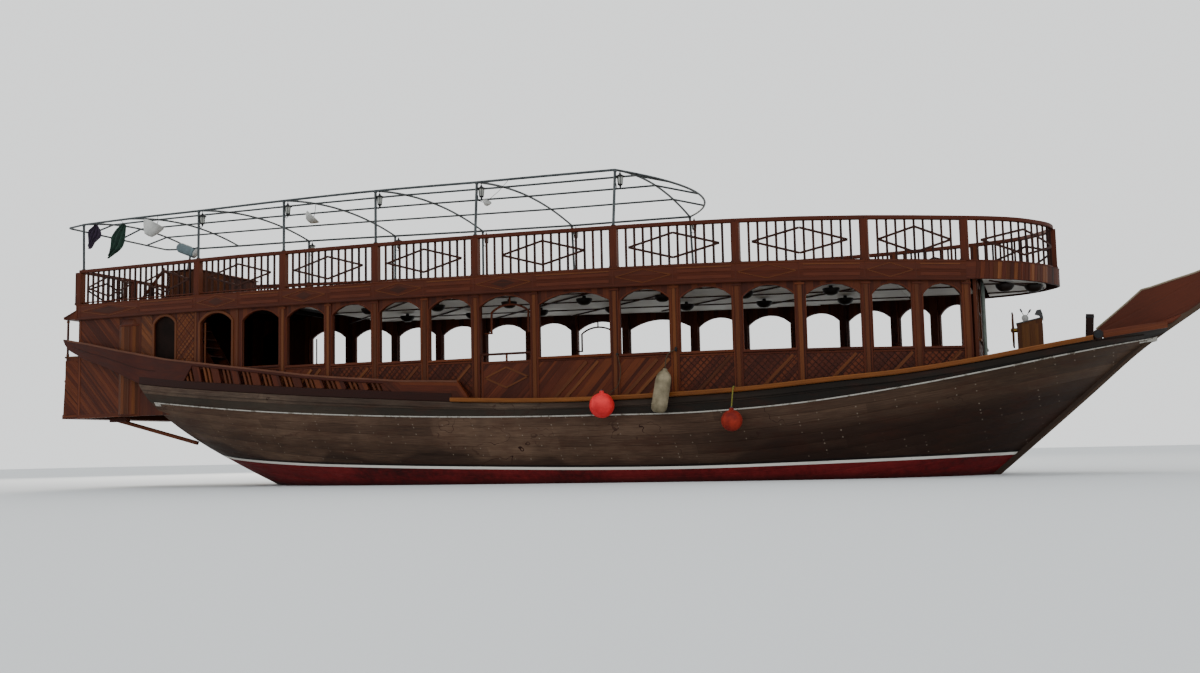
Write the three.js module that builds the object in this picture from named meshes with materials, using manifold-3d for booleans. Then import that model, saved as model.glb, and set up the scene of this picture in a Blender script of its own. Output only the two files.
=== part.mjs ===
// Motorised two-deck excursion dhow, afloat. Millimetres, +X to the bow, +Y to port, +Z up.
// The origin is amidships on the waterline.
import * as THREE from 'three';
import { mergeVertices } from 'three/addons/utils/BufferGeometryUtils.js';
import Module from 'manifold-3d';

const wasm = await Module();
wasm.setup();

// Driving dimensions
const GAP = 0.3;                   // two pieces that rest on each other keep this gap
const TINY = 0.02;                 // shortest edge that a cut may leave
const PLANK = 140;                 // hull side above the deck, with its frames
const DECK_DROP = 200;             // main deck below the sheer
const KEEL_HALF = 110;             // half the siding of keel, stem and deadwood
const RABBET_HALF = 115;           // half-breadth of the hull's bottom, just wider than the keel
const KEEL_FORE = { x: 5000, z: -1620 };
const KEEL_AFT = { x: -11250, z: -1750 };
const KEEL_DEPTH = 150;
const TRANSOM = { top: { x: -13930, z: 2800 }, low: { x: -11910, z: -200 } };
const SLAB = 60;                   // upper deck planking
const FASCIA = { height: 440, thick: 55, fall: 2 };
const WALL = { thick: 80, inset: 25 };
const PILLAR = { wide: 200, deep: 160, inset: 14 };
const ARCH_BELOW_DECK = 500;
const ARCH_RISE = 240;
const RAIL = { height: 1000, cap: 92, capWide: 110, foot: 26, footWide: 60, lift: 4, post: 150, corner: 190 };
const BALUSTER = { side: 34, pitch: 206 };
const TUBE = 25;                   // radius of the canopy tubes
const CANOPY = { post: 30, arch: 21, bow: 1000, rise: 260, kink: -3550, lift: 55 };
const GATE = { thick: 60, clear: 9, knuckle: 12, floor: 12 };
const WHEEL = { x: 8500, z: 3280, rim: 345, spoke: 455 };
const LOG = { x: 10250, z: 2975, reach: 1500, radius: 105 };
const PROP = { x: -9640, z: -1110, radius: 420 };
const RUDDER = { x: -10540, chord: 780, top: -420, foot: -1560, half: 45 };

// Hull stations, from the stern to the bow: half-breadth and height at the sheer, height of
// the rabbet, and the two exponents of the section curve
const HULL = [
  // x, half, sheer, rabbet, m, n
  [-14500, 2670, 2870, 1500, 2.2, 1.0],
  [-13000, 2860, 2690, 800, 2.3, 1.05],
  [-11500, 3030, 2535, 100, 2.4, 1.1],
  [-10000, 3170, 2400, -480, 2.6, 1.2],
  [-8000, 3330, 2235, -960, 2.8, 1.35],
  [-6000, 3450, 2090, -1200, 3.0, 1.5],
  [-4000, 3530, 1955, -1300, 3.1, 1.6],
  [-1500, 3572, 1860, -1300, 3.2, 1.7],
  [1000, 3582, 1875, -1300, 3.2, 1.7],
  [3000, 3550, 1945, -1300, 3.0, 1.6],
  [5000, 3360, 2100, -1270, 2.5, 1.35],
  [6300, 3060, 2210, -1090, 2.15, 1.15],
  [7250, 2760, 2338, -500, 1.95, 1.05],
  [8000, 2510, 2459, 110, 1.8, 1.0],
  [9000, 2080, 2647, 965, 1.6, 1.0],
  [10000, 1550, 2833, 1830, 1.4, 1.0],
  [11000, 900, 3010, 2700, 1.2, 1.0],
  [11700, 300, 3135, 3080, 1.1, 1.0],
].map(([x, half, sheer, rabbet, m, n]) => ({ x, half, sheer, rabbet, m, n }));
const SECTION_STEPS = [0, 0.07, 0.18, 0.33, 0.55, 0.8, 1];

// Upper deck plan, from the stern to the stem of its round front
const DECK = [
  [-16520, 2215], [-15400, 2330], [-14200, 2460], [-12100, 2690], [-10650, 2860], [-9220, 2950],
  [-7790, 3070], [-6380, 3160], [-4950, 3260], [-3550, 3330], [-2010, 3380], [0, 3415],
  [1420, 3418], [2840, 3335], [4200, 3132], [5580, 2793], [6620, 2430], [7630, 2028],
  [8200, 1760], [8700, 1420], [9080, 980], [9360, 500], [9520, 60],
].map(([x, half]) => ({ x, half }));

// Sheers of the deck edge, the window sills and the canopy edge
const deckTop = (x) => 4873 - 0.0233 * x - 2.8e-7 * x * x;
const sillTop = (x) => 2919 - 0.0156 * x + 3.9e-7 * x * x;
const canopyEdge = (x) => 7168 - 0.0327 * x - 9.5e-7 * x * x + CANOPY.lift * Math.max(0, 1 - x / CANOPY.kink);

// Value of a column at x, straight between the rows of a table
function at(rows, x, column) {
  let i = rows.findIndex((row) => row.x >= x);
  i = i < 0 ? rows.length - 1 : Math.max(i, 1);
  const [a, b] = [rows[i - 1], rows[i]];
  return a[column] + ((b[column] - a[column]) * (x - a.x)) / (b.x - a.x);
}

const sheerAt = (x) => at(HULL, x, 'sheer');
const hullHalf = (x) => at(HULL, x, 'half');
const deckHalf = (x) => at(DECK, x, 'half');
const V = (x, y, z) => new THREE.Vector3(x, y, z);

// Closed geometry from positions and faces, turned so that its faces point out
function closed(points, faces) {
  const g = new THREE.BufferGeometry();
  g.setAttribute('position', new THREE.Float32BufferAttribute(points.flatMap((p) => [p.x, p.y, p.z]), 3));
  let volume = 0;
  for (const [a, b, c] of faces) volume += points[a].dot(V(0, 0, 0).crossVectors(points[b], points[c]));
  g.setIndex((volume < 0 ? faces.map(([a, b, c]) => [a, c, b]) : faces).flat());
  return g;
}

// Skin over sections that have the same number of points, with both ends closed. The quads of
// the second half of each section are split the other way, so that port mirrors starboard.
function loft(sections) {
  const n = sections[0].length;
  const faces = [];
  for (let s = 0; s + 1 < sections.length; s++) {
    for (let i = 0; i < n; i++) {
      const [a, b] = [s * n + i, s * n + ((i + 1) % n)];
      if (i < n / 2 - 0.5) faces.push([a, b, b + n], [a, b + n, a + n]);
      else faces.push([a, b, a + n], [b, b + n, a + n]);
    }
  }
  const last = (sections.length - 1) * n;
  for (const [start, flip] of [[0, true], [last, false]]) {
    for (const [a, b, c] of endCap(sections[start / n])) {
      faces.push(flip ? [start + a, start + c, start + b] : [start + a, start + b, start + c]);
    }
  }
  return closed(sections.flat(), faces);
}

// Triangles over one section's outline, found in the plane that it fills most
function endCap(section) {
  const n = section.length;
  const normal = V(0, 0, 0);
  section.forEach((p, i) => normal.add(V(0, 0, 0).crossVectors(p, section[(i + 1) % n])));
  const drop = ['x', 'y', 'z'].reduce((a, b) => (Math.abs(normal[a]) > Math.abs(normal[b]) ? a : b));
  const [u, v] = { x: ['y', 'z'], y: ['z', 'x'], z: ['x', 'y'] }[drop];
  const flat = section.map((p) => new THREE.Vector2(p[u], p[v]));
  const faces = THREE.ShapeUtils.triangulateShape(flat, []);
  return normal[drop] < 0 ? faces.map(([a, b, c]) => [a, c, b]) : faces;
}

// Box between two corners
function box(x0, x1, y0, y1, z0, z1) {
  const g = new THREE.BoxGeometry(Math.abs(x1 - x0), Math.abs(y1 - y0), Math.abs(z1 - z0));
  return g.translate((x0 + x1) / 2, (y0 + y1) / 2, (z0 + z1) / 2);
}

// Bar of rectangular section from a to b, wide across and tall upwards
function bar(a, b, wide, tall, extend = 0) {
  const along = b.clone().sub(a);
  const length = along.length();
  along.normalize();
  const across = V(0, 0, 1).cross(along);
  if (across.length() < 0.01) across.set(0, 1, 0);
  across.normalize();
  const up = along.clone().cross(across);
  const g = new THREE.BoxGeometry(length + 2 * extend, wide, tall);
  g.applyMatrix4(new THREE.Matrix4().makeBasis(along, across, up));
  return g.translate((a.x + b.x) / 2, (a.y + b.y) / 2, (a.z + b.z) / 2);
}

// Round bar from a to b
function rod(a, b, radius, sides = 6, topRadius = radius) {
  const g = new THREE.CylinderGeometry(topRadius, radius, a.distanceTo(b), sides);
  const turn = new THREE.Quaternion().setFromUnitVectors(V(0, 1, 0), b.clone().sub(a).normalize());
  g.applyQuaternion(turn);
  return g.translate((a.x + b.x) / 2, (a.y + b.y) / 2, (a.z + b.z) / 2);
}

// Tube along a smooth curve through points
function tube(points, radius, steps, sides = 6) {
  const circle = new THREE.EllipseCurve(0, 0, radius, radius).getPoints(sides);
  const section = new THREE.Shape(circle.slice(0, sides));
  const path = new THREE.CatmullRomCurve3(points);
  return new THREE.ExtrudeGeometry(section, { steps, extrudePath: path, curveSegments: 1 });
}

// Plate in the X-Z plane from an outline of [x, z] points, between two Y planes
function plate(outline, y0, y1) {
  const shape = new THREE.Shape(outline.map(([x, z]) => new THREE.Vector2(x, z)));
  const g = new THREE.ExtrudeGeometry(shape, { depth: Math.abs(y1 - y0), bevelEnabled: false });
  g.rotateX(Math.PI / 2);
  return g.translate(0, Math.max(y0, y1), 0);
}

// Manifold solid from a closed geometry
function solid(geometry) {
  const g = geometry.clone();
  g.deleteAttribute('normal');
  g.deleteAttribute('uv');
  const merged = mergeVertices(g, 1e-3);
  return new wasm.Manifold(new wasm.Mesh({
    numProp: 3,
    vertProperties: new Float32Array(merged.attributes.position.array),
    triVerts: new Uint32Array(merged.index.array),
  }));
}

const join = (...pieces) => pieces.map((p) => (p.isBufferGeometry ? solid(p) : p)).reduce((a, b) => a.add(b));

// Geometry of a solid, without the tiny edges that a cut leaves
function geometryOf(manifold) {
  const mesh = manifold.simplify(TINY).getMesh();
  const g = new THREE.BufferGeometry();
  g.setAttribute('position', new THREE.Float32BufferAttribute(mesh.vertProperties, 3));
  g.setIndex(Array.from(mesh.triVerts));
  return g;
}

// The same piece on the other side of the centre line
function mirrored(geometry) {
  const g = geometry.clone();
  const p = g.attributes.position;
  for (let i = 0; i < p.count; i++) p.setY(i, -p.getY(i));
  if (!g.index) g.setIndex([...Array(p.count).keys()]);
  const index = Array.from(g.index.array);
  for (let i = 0; i < index.length; i += 3) [index[i + 1], index[i + 2]] = [index[i + 2], index[i + 1]];
  g.setIndex(index);
  return g;
}

const boat = new THREE.Group();
const FINISH = {
  hullPlanks: { color: 0x5d4c3c, roughness: 0.85 },
  teak: { color: 0x6e3420, roughness: 0.55 },
  darkTeak: { color: 0x4a2218, roughness: 0.6 },
  capRail: { color: 0x96501e, roughness: 0.5 },
  deckPlanks: { color: 0x8a6a48, roughness: 0.8 },
  tubeSteel: { color: 0x4e5458, roughness: 0.5, metalness: 0.7 },
  redFloat: { color: 0xe63c37, roughness: 0.45 },
  greyFloat: { color: 0x8c8269, roughness: 0.6 },
  bronze: { color: 0x9a7440, roughness: 0.35, metalness: 1 },
};
const materials = Object.fromEntries(
  Object.entries(FINISH).map(([name, values]) => [name, new THREE.MeshStandardMaterial({ name, ...values })]),
);

function addMesh(name, finish, piece) {
  const geometry = piece.isBufferGeometry ? piece : geometryOf(piece);
  geometry.computeVertexNormals();
  const mesh = new THREE.Mesh(geometry, materials[finish]);
  mesh.name = name;
  boat.add(mesh);
  return mesh;
}

function addPair(name, finish, piece) {
  const geometry = piece.isBufferGeometry ? piece : geometryOf(piece);
  addMesh(`${name}_stbd`, finish, geometry);
  addMesh(`${name}_port`, finish, mirrored(geometry));
}

// Hull: a section rises from the rabbet as half * (1 - (1 - s)^m)^(1/n)
function hullSection({ x, half, sheer, rabbet, m, n }) {
  const side = SECTION_STEPS.map((s) => {
    const y = RABBET_HALF + (half - RABBET_HALF) * (1 - (1 - s) ** m) ** (1 / n);
    return V(x, -y, rabbet + (sheer - rabbet) * s);
  });
  const inner = half - Math.min(PLANK, half / 2);
  const drop = Math.min(DECK_DROP, (sheer - rabbet) / 3);
  side.push(V(x, -inner, sheer), V(x, -inner, sheer - drop));
  return [...side, ...side.map((p) => V(p.x, -p.y, p.z)).reverse()];
}

const rake = (TRANSOM.top.x - TRANSOM.low.x) / (TRANSOM.top.z - TRANSOM.low.z);
const transomX = (z) => TRANSOM.low.x + rake * (z - TRANSOM.low.z);
const REACH = 6000;
const abaft = plate([
  [transomX(-REACH), -REACH], [transomX(REACH), REACH], [transomX(REACH) - 3 * REACH, REACH],
  [transomX(REACH) - 3 * REACH, -REACH],
], -REACH, REACH);
const logRod = (grow) => solid(rod(V(LOG.x, -LOG.reach - grow, LOG.z), V(LOG.x, LOG.reach + grow, LOG.z),
  LOG.radius + grow, 12));
const hull = solid(loft(HULL.map(hullSection))).subtract(solid(abaft)).subtract(logRod(GAP));
addMesh('hull', 'hullPlanks', hull);
const hullMoved = (x, z) => solid(geometryOf(hull).translate(x * GAP, 0, z * GAP));
const hullHigh = hullMoved(0, 1);

// Keel with its heel, deadwood, stem and prow
const keelTop = (x) => KEEL_FORE.z + KEEL_DEPTH
  + ((x - KEEL_FORE.x) * (KEEL_AFT.z - KEEL_FORE.z)) / (KEEL_AFT.x - KEEL_FORE.x);
addMesh('keel', 'hullPlanks', plate([
  [KEEL_FORE.x, KEEL_FORE.z], [KEEL_FORE.x, keelTop(KEEL_FORE.x)],
  [KEEL_AFT.x, keelTop(KEEL_AFT.x)], [KEEL_AFT.x, KEEL_AFT.z],
], -KEEL_HALF, KEEL_HALF));

const APERTURE = { fore: -9300, aft: -10200, post: -10400 };
const rabbetLine = HULL.filter(({ x }) => x > APERTURE.fore && x < 5500);
const deadwood = plate([
  [APERTURE.fore, keelTop(APERTURE.fore) + GAP], [KEEL_FORE.x, keelTop(KEEL_FORE.x) + GAP],
  ...[...rabbetLine].reverse().map(({ x, rabbet }) => [x, rabbet + 60]),
  [APERTURE.fore, at(HULL, APERTURE.fore, 'rabbet') + 60],
], -KEEL_HALF, KEEL_HALF);
const sternTube = rod(V(APERTURE.fore + 200, 0, PROP.z), V(APERTURE.fore - 120, 0, PROP.z), 90, 12);
addMesh('deadwood', 'hullPlanks', join(deadwood, sternTube).subtract(hullMoved(0, -1)));

const rudderGland = rod(V(RUDDER.x, 0, RUDDER.top + 60), V(RUDDER.x, 0, 200), 85, 12);
addMesh('rudder_post', 'hullPlanks', join(
  box(APERTURE.post, APERTURE.aft, -KEEL_HALF, KEEL_HALF, keelTop(APERTURE.aft) + GAP, 200),
  box(RUDDER.x, APERTURE.post + 10, -60, 60, RUDDER.top + 60, 200),
  rudderGland,
).subtract(hullMoved(-1, -1)));

// Stem: its outer edge runs from the keel's scarf up to the prow
const STEM_EDGE = [
  [KEEL_FORE.x + GAP, KEEL_FORE.z], [5900, -1500], [6900, -950], [7950, -90], [8950, 760], [10060, 1720],
  [11180, 2700], [12400, 3560], [14450, 4960],
];
const PROW_HALF = 70;
const stemInner = [
  [14380, 5010], [12150, 3500], [11760, 3330], [11700, 3110], [11000, 2760], [10000, 1890], [9000, 1025],
  [8000, 170],
  [7250, -440], [6300, -1030], [KEEL_FORE.x + GAP, at(HULL, KEEL_FORE.x, 'rabbet') + 60],
];
const stemPlate = solid(plate([...STEM_EDGE, ...stemInner], -KEEL_HALF, KEEL_HALF));
addMesh('stem', 'hullPlanks', stemPlate.subtract(hullMoved(1, -1)));

const PROW_TOP = [
  [10273, 3217], [10569, 3460], [10908, 3742], [11246, 4035], [11430, 4075], [11841, 4200], [12450, 4380],
  [13200, 4740], [13900, 5190], [14400, 5620],
];
addMesh('prow_fin', 'teak', solid(plate([
  [10300, 3170], ...PROW_TOP, [14640, 5560], [14380, 5010 + GAP], [12150, 3500 + GAP], [11760, 3330 + GAP],
], -PROW_HALF, PROW_HALF)));

// Cap rails on the sheer, from the gate forward
const CAP = { aft: -3694.7, fore: 11700, tall: 100, out: 100 };
const stationsFrom = (aft, fore) => [aft, ...HULL.map(({ x }) => x).filter((x) => x > aft && x < fore), fore];
const capLoft = (aft, fore, grow) => loft(stationsFrom(aft, fore).map((x) => {
  const outer = hullHalf(x) + CAP.out + grow;
  const inner = Math.max(hullHalf(x) - PLANK, PROW_HALF + 5) - grow;
  const z = sheerAt(x) + GAP;
  const top = z + CAP.tall + grow;
  return [V(x, -outer, z), V(x, -inner, z), V(x, -inner, top), V(x, -outer, top)];
}));
const logSide = LOG.radius + GAP;
addPair('cap_rail', 'capRail', capLoft(CAP.aft, LOG.x - logSide, 0));
addPair('bow_cap', 'darkTeak', capLoft(LOG.x + logSide, CAP.fore, 0));
const capClear = (aft) => capLoft(aft, CAP.fore, GAP);

// Quarter bulwarks: a top plank that runs past the stern, slats under it and a lower plank
const QUARTER = [
  // x, inner face from the centre line, top edge, depth of the solid plank
  [-16977, 2185, 4216, 50], [-16900, 2194, 4204, 171], [-16757, 2215, 4177, 282], [-16498, 2258, 4130, 358],
  [-15992, 2346, 4038, 479], [-15350, 2440, 3905, 526], [-14761, 2524, 3783, 629], [-14000, 2600, 3640, 800],
  [-13000, 2740, 3450, 720], [-12300, 2830, 3350, 560], [-12000, 2860, 3309, 110], [-11500, 2910, 3240, 110],
  [-10000, 3050, 3040, 110], [-8000, 3210, 2770, 110], [-6000, 3330, 2580, 110], [-5490, 3352, 2530, 500],
  [-4600, 3385, 2495, 500],
  [-3960, 3400, 2460, 500], [-3695, 3405, 2100, 500],
].map(([x, inner, top, depth]) => ({ x, inner, top, depth }));
const QUARTER_THICK = 110;
function quarterPlank(rows, low) {
  return loft(rows.map((row) => {
    const [y0, y1] = [-row.inner, -row.inner - QUARTER_THICK];
    return [V(row.x, y0, low(row)), V(row.x, y1, low(row)), V(row.x, y1, row.top), V(row.x, y0, row.top)];
  }));
}
const FOOT = { aft: -13930, fore: -4110, height: 210, lift: 10, blockLift: 2 };
const footRows = [...HULL, ...QUARTER].filter(({ x }) => x > FOOT.aft && x < FOOT.fore);
const footXs = [FOOT.aft, FOOT.fore, ...footRows.map(({ x }) => x)].sort((a, b) => a - b);
const footPlank = footXs.map((x) => ({ x, inner: at(QUARTER, x, 'inner'), top: sheerAt(x) + FOOT.height }));
const blockLow = (x) => sheerAt(x) + (x > FOOT.fore ? FOOT.blockLift : FOOT.lift);
const quarterParts = [
  quarterPlank(QUARTER, ({ x, top, depth }) => Math.max(top - depth, x > FOOT.aft ? blockLow(x) : 0)),
  quarterPlank(footPlank, ({ x }) => sheerAt(x) + GAP),
];
const SLATS = { first: -11870, pitch: 330, lean: 90, wide: 60, count: 19, inPlank: 60, inFoot: 30 };
for (let i = 0; i < SLATS.count; i++) {
  const x = SLATS.first + i * SLATS.pitch;
  const y = -at(QUARTER, x, 'inner') - QUARTER_THICK / 2;
  const head = V(x - SLATS.lean, y, at(QUARTER, x, 'top') - SLATS.inPlank);
  const heel = V(x + SLATS.lean, y, sheerAt(x) + FOOT.height - SLATS.inFoot);
  quarterParts.push(bar(head, heel, SLATS.wide, SLATS.wide));
}
addPair('quarter_bulwark', 'teak', join(...quarterParts));

// Upper deck slab with its beams
const slabSection = ({ x, half }, inset = GAP) => {
  const y = Math.max(half - inset, 20);
  const z = deckTop(x);
  return [V(x, -y, z), V(x, y, z), V(x, y, z - SLAB), V(x, -y, z - SLAB)];
};
const slab = loft(DECK.map((row) => slabSection(row)));
const underSlab = solid(slab.clone().translate(0, 0, -GAP));
const deckParts = [slab];
const BEAM = { wide: 90, tall: 110 };
const BEAMS = { first: -16000, last: 8400, count: 27 };
for (let i = 0; i < BEAMS.count; i++) {
  const x = BEAMS.first + (i * (BEAMS.last - BEAMS.first)) / (BEAMS.count - 1);
  const y = Math.min(deckHalf(x - 120), deckHalf(x + 120)) - PILLAR.inset - PILLAR.deep - 30;
  const z = deckTop(x) - SLAB;
  deckParts.push(box(x - BEAM.wide / 2, x + BEAM.wide / 2, -y, y, z - BEAM.tall, z + 20));
}
const HATCH = { x0: -13450, x1: -11700, y: -1340, half: 450 };
const hatchHole = box(HATCH.x0, HATCH.x1, HATCH.y - HATCH.half, HATCH.y + HATCH.half, 4000, 6000);
addMesh('upper_deck', 'deckPlanks', join(...deckParts).subtract(solid(hatchHole)));

// Fascia round the deck edge
const fasciaPath = [
  ...DECK.map(({ x, half }) => [x, -half]),
  ...DECK.map(({ x, half }) => [x, half]).reverse(),
];
function outward(path, i) {
  const [a, b] = [path[Math.max(i - 1, 0)], path[Math.min(i + 1, path.length - 1)]];
  const length = Math.hypot(b[0] - a[0], b[1] - a[1]);
  return [(b[1] - a[1]) / length, -(b[0] - a[0]) / length];
}
const fascia = loft(fasciaPath.map(([x, y], i) => {
  const [nx, ny] = outward(fasciaPath, i);
  const [x1, y1] = [x + nx * FASCIA.thick, y + ny * FASCIA.thick];
  const [z, z1] = [deckTop(x), deckTop(x1) - FASCIA.fall];
  return [V(x, y, z), V(x1, y1, z1), V(x1, y1, z - FASCIA.height), V(x, y, z - FASCIA.height)];
}));
const AFT = DECK[0];
const AFT_END = { x: AFT.x - FASCIA.thick, half: AFT.half + FASCIA.thick, top: deckTop(AFT.x) };
const aftFoot = AFT_END.top - FASCIA.height;
const aftFascia = box(AFT_END.x, AFT.x - GAP, -AFT_END.half, AFT_END.half, AFT_END.top, aftFoot);
const CORNER_LAP = 4;              // how far the aft corner blocks lap the side fascia
const aftCorners = [-1, 1].map((side) => loft([AFT.x - GAP, AFT.x + CORNER_LAP].map((x) => {
  const [inner, outer] = [side * (AFT.half + FASCIA.fall), side * AFT_END.half];
  return [V(x, inner, AFT_END.top), V(x, outer, AFT_END.top), V(x, outer, aftFoot), V(x, inner, aftFoot)];
})));
addMesh('fascia', 'teak', join(fascia, aftFascia, ...aftCorners));
const overDeck = solid(loft([{ x: AFT.x - 300, half: AFT.half }, ...DECK].map(({ x, half }) => {
  const [y, z] = [half + 300, deckTop(x)];
  return [V(x, -y, z + GAP), V(x, y, z + GAP), V(x, y, z - SLAB), V(x, -y, z - SLAB)];
})));

// Deckhouse walls: one flat panel for each bay, pillars between them
function bayFrame(a, b) {
  const [p, q] = [V(a.x, -(a.half - WALL.inset), 0), V(b.x, -(b.half - WALL.inset), 0)];
  const u = q.clone().sub(p).normalize();
  const out = V(u.y, -u.x, 0);
  const basis = new THREE.Matrix4().makeBasis(u, V(0, 0, 1), out);
  basis.setPosition(p.clone().addScaledVector(out, -WALL.thick));
  return { basis, length: p.distanceTo(q), p, u, out };
}

function archOutline(u0, u1, low, spring, crown) {
  const half = (u1 - u0) / 2;
  const rise = crown - spring;
  const radius = (half * half + rise * rise) / (2 * rise);
  const sweep = Math.asin(half / radius);
  const points = [[u0, low], [u1, low]];
  const STEPS = 6;
  for (let i = 0; i <= STEPS; i++) {
    const t = sweep - (2 * sweep * i) / STEPS;
    points.push([(u0 + u1) / 2 + radius * Math.sin(t), crown - radius + radius * Math.cos(t)]);
  }
  return points;
}

const vectors = (points) => points.map(([u, z]) => new THREE.Vector2(u, z));
function panel(a, b, opening) {
  const { basis, length } = bayFrame(a, b);
  const topA = deckTop(a.x) - SLAB + 20;
  const topB = deckTop(b.x) - SLAB + 20;
  const foot = (row) => sheerAt(row.x) - DECK_DROP - 40;
  let outline = [[0, foot(a)], [length, foot(b)], [length, topB], [0, topA]];
  const middle = (a.x + b.x) / 2;
  const crown = deckTop(middle) - ARCH_BELOW_DECK;
  const holes = [];
  if (opening) {
    const { side, sill } = opening;
    const hole = archOutline(side, length - side, sill, crown - ARCH_RISE, crown);
    if (opening.door) {
      outline = [
        [0, foot(a)], [side, foot(a)], ...hole.slice(2).reverse(), [length - side, foot(b)],
        [length, foot(b)], [length, topB], [0, topA],
      ];
    } else {
      holes.push(new THREE.Path(vectors(hole)));
    }
  }
  const shape = new THREE.Shape(vectors(outline));
  shape.holes = holes;
  return new THREE.ExtrudeGeometry(shape, { depth: WALL.thick, bevelEnabled: false }).applyMatrix4(basis);
}

function pillar(row, wide = PILLAR.wide) {
  const i = DECK.indexOf(row);
  const [nx, ny] = outward(DECK.map(({ x, half }) => [x, -half]), i);
  const [low, high] = [sheerAt(row.x) - DECK_DROP - 40, deckTop(row.x) - SLAB + 20];
  const g = new THREE.BoxGeometry(wide, PILLAR.deep, high - low);
  g.rotateZ(Math.atan2(nx, -ny));
  const reach = PILLAR.inset + PILLAR.deep / 2;
  return g.translate(row.x - nx * reach, -row.half - ny * reach, (low + high) / 2);
}

const rowAt = (x) => DECK.find((row) => row.x === x);
const bays = (xs) => xs.slice(1).map((x, i) => [rowAt(xs[i]), rowAt(x)]);

function arcade(xs, pillars, openings) {
  const parts = bays(xs).map(([a, b], i) => panel(a, b, openings[i]));
  return join(...parts, ...pillars.map((x) => pillar(rowAt(x)))).subtract(hullHigh).subtract(underSlab);
}
const windowFor = (xs) => bays(xs).map(([a, b]) => ({ side: 125, sill: sillTop((a.x + b.x) / 2) }));

const AFT_BAYS = [-10650, -9220, -7790, -6380, -4950, -3550];
const FORE_BAYS = [-2010, 0, 1420, 2840, 4200, 5580, 6620, 7630];
addPair('fore_arcade', 'teak', arcade(FORE_BAYS, FORE_BAYS, windowFor(FORE_BAYS)));

const SMALL_WINDOW = { from: 580, to: 1330, sill: 3420, drop: 200 };
const BIG_WINDOW = { from: 130, to: 1230, sill: 3150 };
const DOORWAY = { side: 100, door: true, sill: 0 };

// Closed quarter of the deckhouse: three bays, of which the two forward ones have a window
const boxFloor = 1960;
const BOX_AFT = -16500;
function quarterPanel(a, b, window) {
  const { basis, length } = bayFrame(a, b);
  const foot = (row) => Math.min(boxFloor, sheerAt(row.x) - DECK_DROP - 40);
  const shape = new THREE.Shape(vectors([
    [0, foot(a)], [length, foot(b)], [length, deckTop(b.x) - SLAB + 20], [0, deckTop(a.x) - SLAB + 20],
  ]));
  if (window) shape.holes = [new THREE.Path(vectors(archOutline(...window)))];
  return new THREE.ExtrudeGeometry(shape, { depth: WALL.thick, bevelEnabled: false }).applyMatrix4(basis);
}
const [q0, q1, q2, q3] = [{ x: BOX_AFT, half: 2217 }, rowAt(-14200), rowAt(-12100), rowAt(-10650)];
const crownAt = (x) => deckTop(x) - ARCH_BELOW_DECK;
const quarterWindow = ({ from, to, sill }, crown, rise) => [from, to, sill, crown - rise, crown];
const TURRET = {
  x0: -14900, x1: -14200, out: 105, facet: 170, lap: 40, low: 2000, shoulder: 4480, top: 4640,
};
const turret = loft([[TURRET.low, 1], [TURRET.shoulder, 1], [TURRET.top, 0.1]].map(([z, k]) => {
  const y = -(deckHalf(-14550) - WALL.inset);
  const out = TURRET.out * k;
  const { x0, x1, facet, lap } = TURRET;
  return [
    V(x0, y + lap, z), V(x0, y, z), V(x0 + facet, y - out, z), V(x1 - facet, y - out, z), V(x1, y - lap, z),
    V(x1, y + lap, z),
  ];
}));
const CORNER_POST = { half: 60, top: 3000, back: 15 };
const cornerPost = box(
  q1.x - CORNER_POST.half, q1.x + CORNER_POST.half,
  PILLAR.inset - q1.half, WALL.inset + WALL.thick - CORNER_POST.back - q1.half, boxFloor, CORNER_POST.top);
const quarterWall = join(
  quarterPanel(q0, q1),
  quarterPanel(q1, q2, quarterWindow(SMALL_WINDOW, crownAt(-13250), SMALL_WINDOW.drop)),
  quarterPanel(q2, q3, quarterWindow(BIG_WINDOW, crownAt(-11400), ARCH_RISE)),
  pillar(q1), cornerPost, pillar(q2, 160), turret,
);
const beyondQuarter = box(-10650, -10000, -3600, -2000, 0, 6000);
const hullClear = [hullHigh, hullMoved(-1, -1), hullMoved(-2, 1)];
addPair('quarter_wall', 'teak', hullClear.reduce((wall, cut) => wall.subtract(cut), quarterWall)
  .subtract(underSlab).subtract(solid(beyondQuarter)));

// Arcades
const aftXs = [...AFT_BAYS, -2010];
const aftOpenings = [...windowFor(AFT_BAYS), DOORWAY];
const aftRow = bays(aftXs).map(([a, b], i) => panel(a, b, aftOpenings[i]));
const cutForePillar = box(-2010 - PILLAR.wide / 2 - GAP, -1500, -3600, -3000, 0, 6000);
const cutQuarter = box(-11000, -10650 + GAP, -3600, -2000, 0, 6000);
addPair('aft_arcade', 'teak', join(...aftRow, ...AFT_BAYS.slice(1).map((x) => pillar(rowAt(x))))
  .subtract(solid(cutForePillar)).subtract(solid(cutQuarter)).subtract(hullHigh).subtract(underSlab));

// Boarding gates, each hung on the pillar abaft it
const gateRow = { aft: -3550 + PILLAR.wide / 2, fore: -2010 - PILLAR.wide / 2 };
const JAMB_TURN = 4.2;             // the pillar is turned a little, so its face stands this far forward
const gateHinge = { x: gateRow.aft + JAMB_TURN + GATE.knuckle + GAP, y: 3230 };
const gateTop = 2890;
const gateFoot = sheerAt(-3550) - DECK_DROP + GATE.floor;
const leaf = {
  x0: gateHinge.x + GATE.clear, x1: gateRow.fore - GATE.clear, y0: gateHinge.y, y1: gateHinge.y + GATE.thick,
};
const TOP_BAR = { low: 150, high: 195, inset: 10, stub: 40 };
const [barOuter, barInner] = [-leaf.y1 + TOP_BAR.inset, -leaf.y0 - TOP_BAR.inset];
const stubXs = [leaf.x0, (leaf.x0 + leaf.x1 - TOP_BAR.stub) / 2, leaf.x1 - TOP_BAR.stub];
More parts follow.
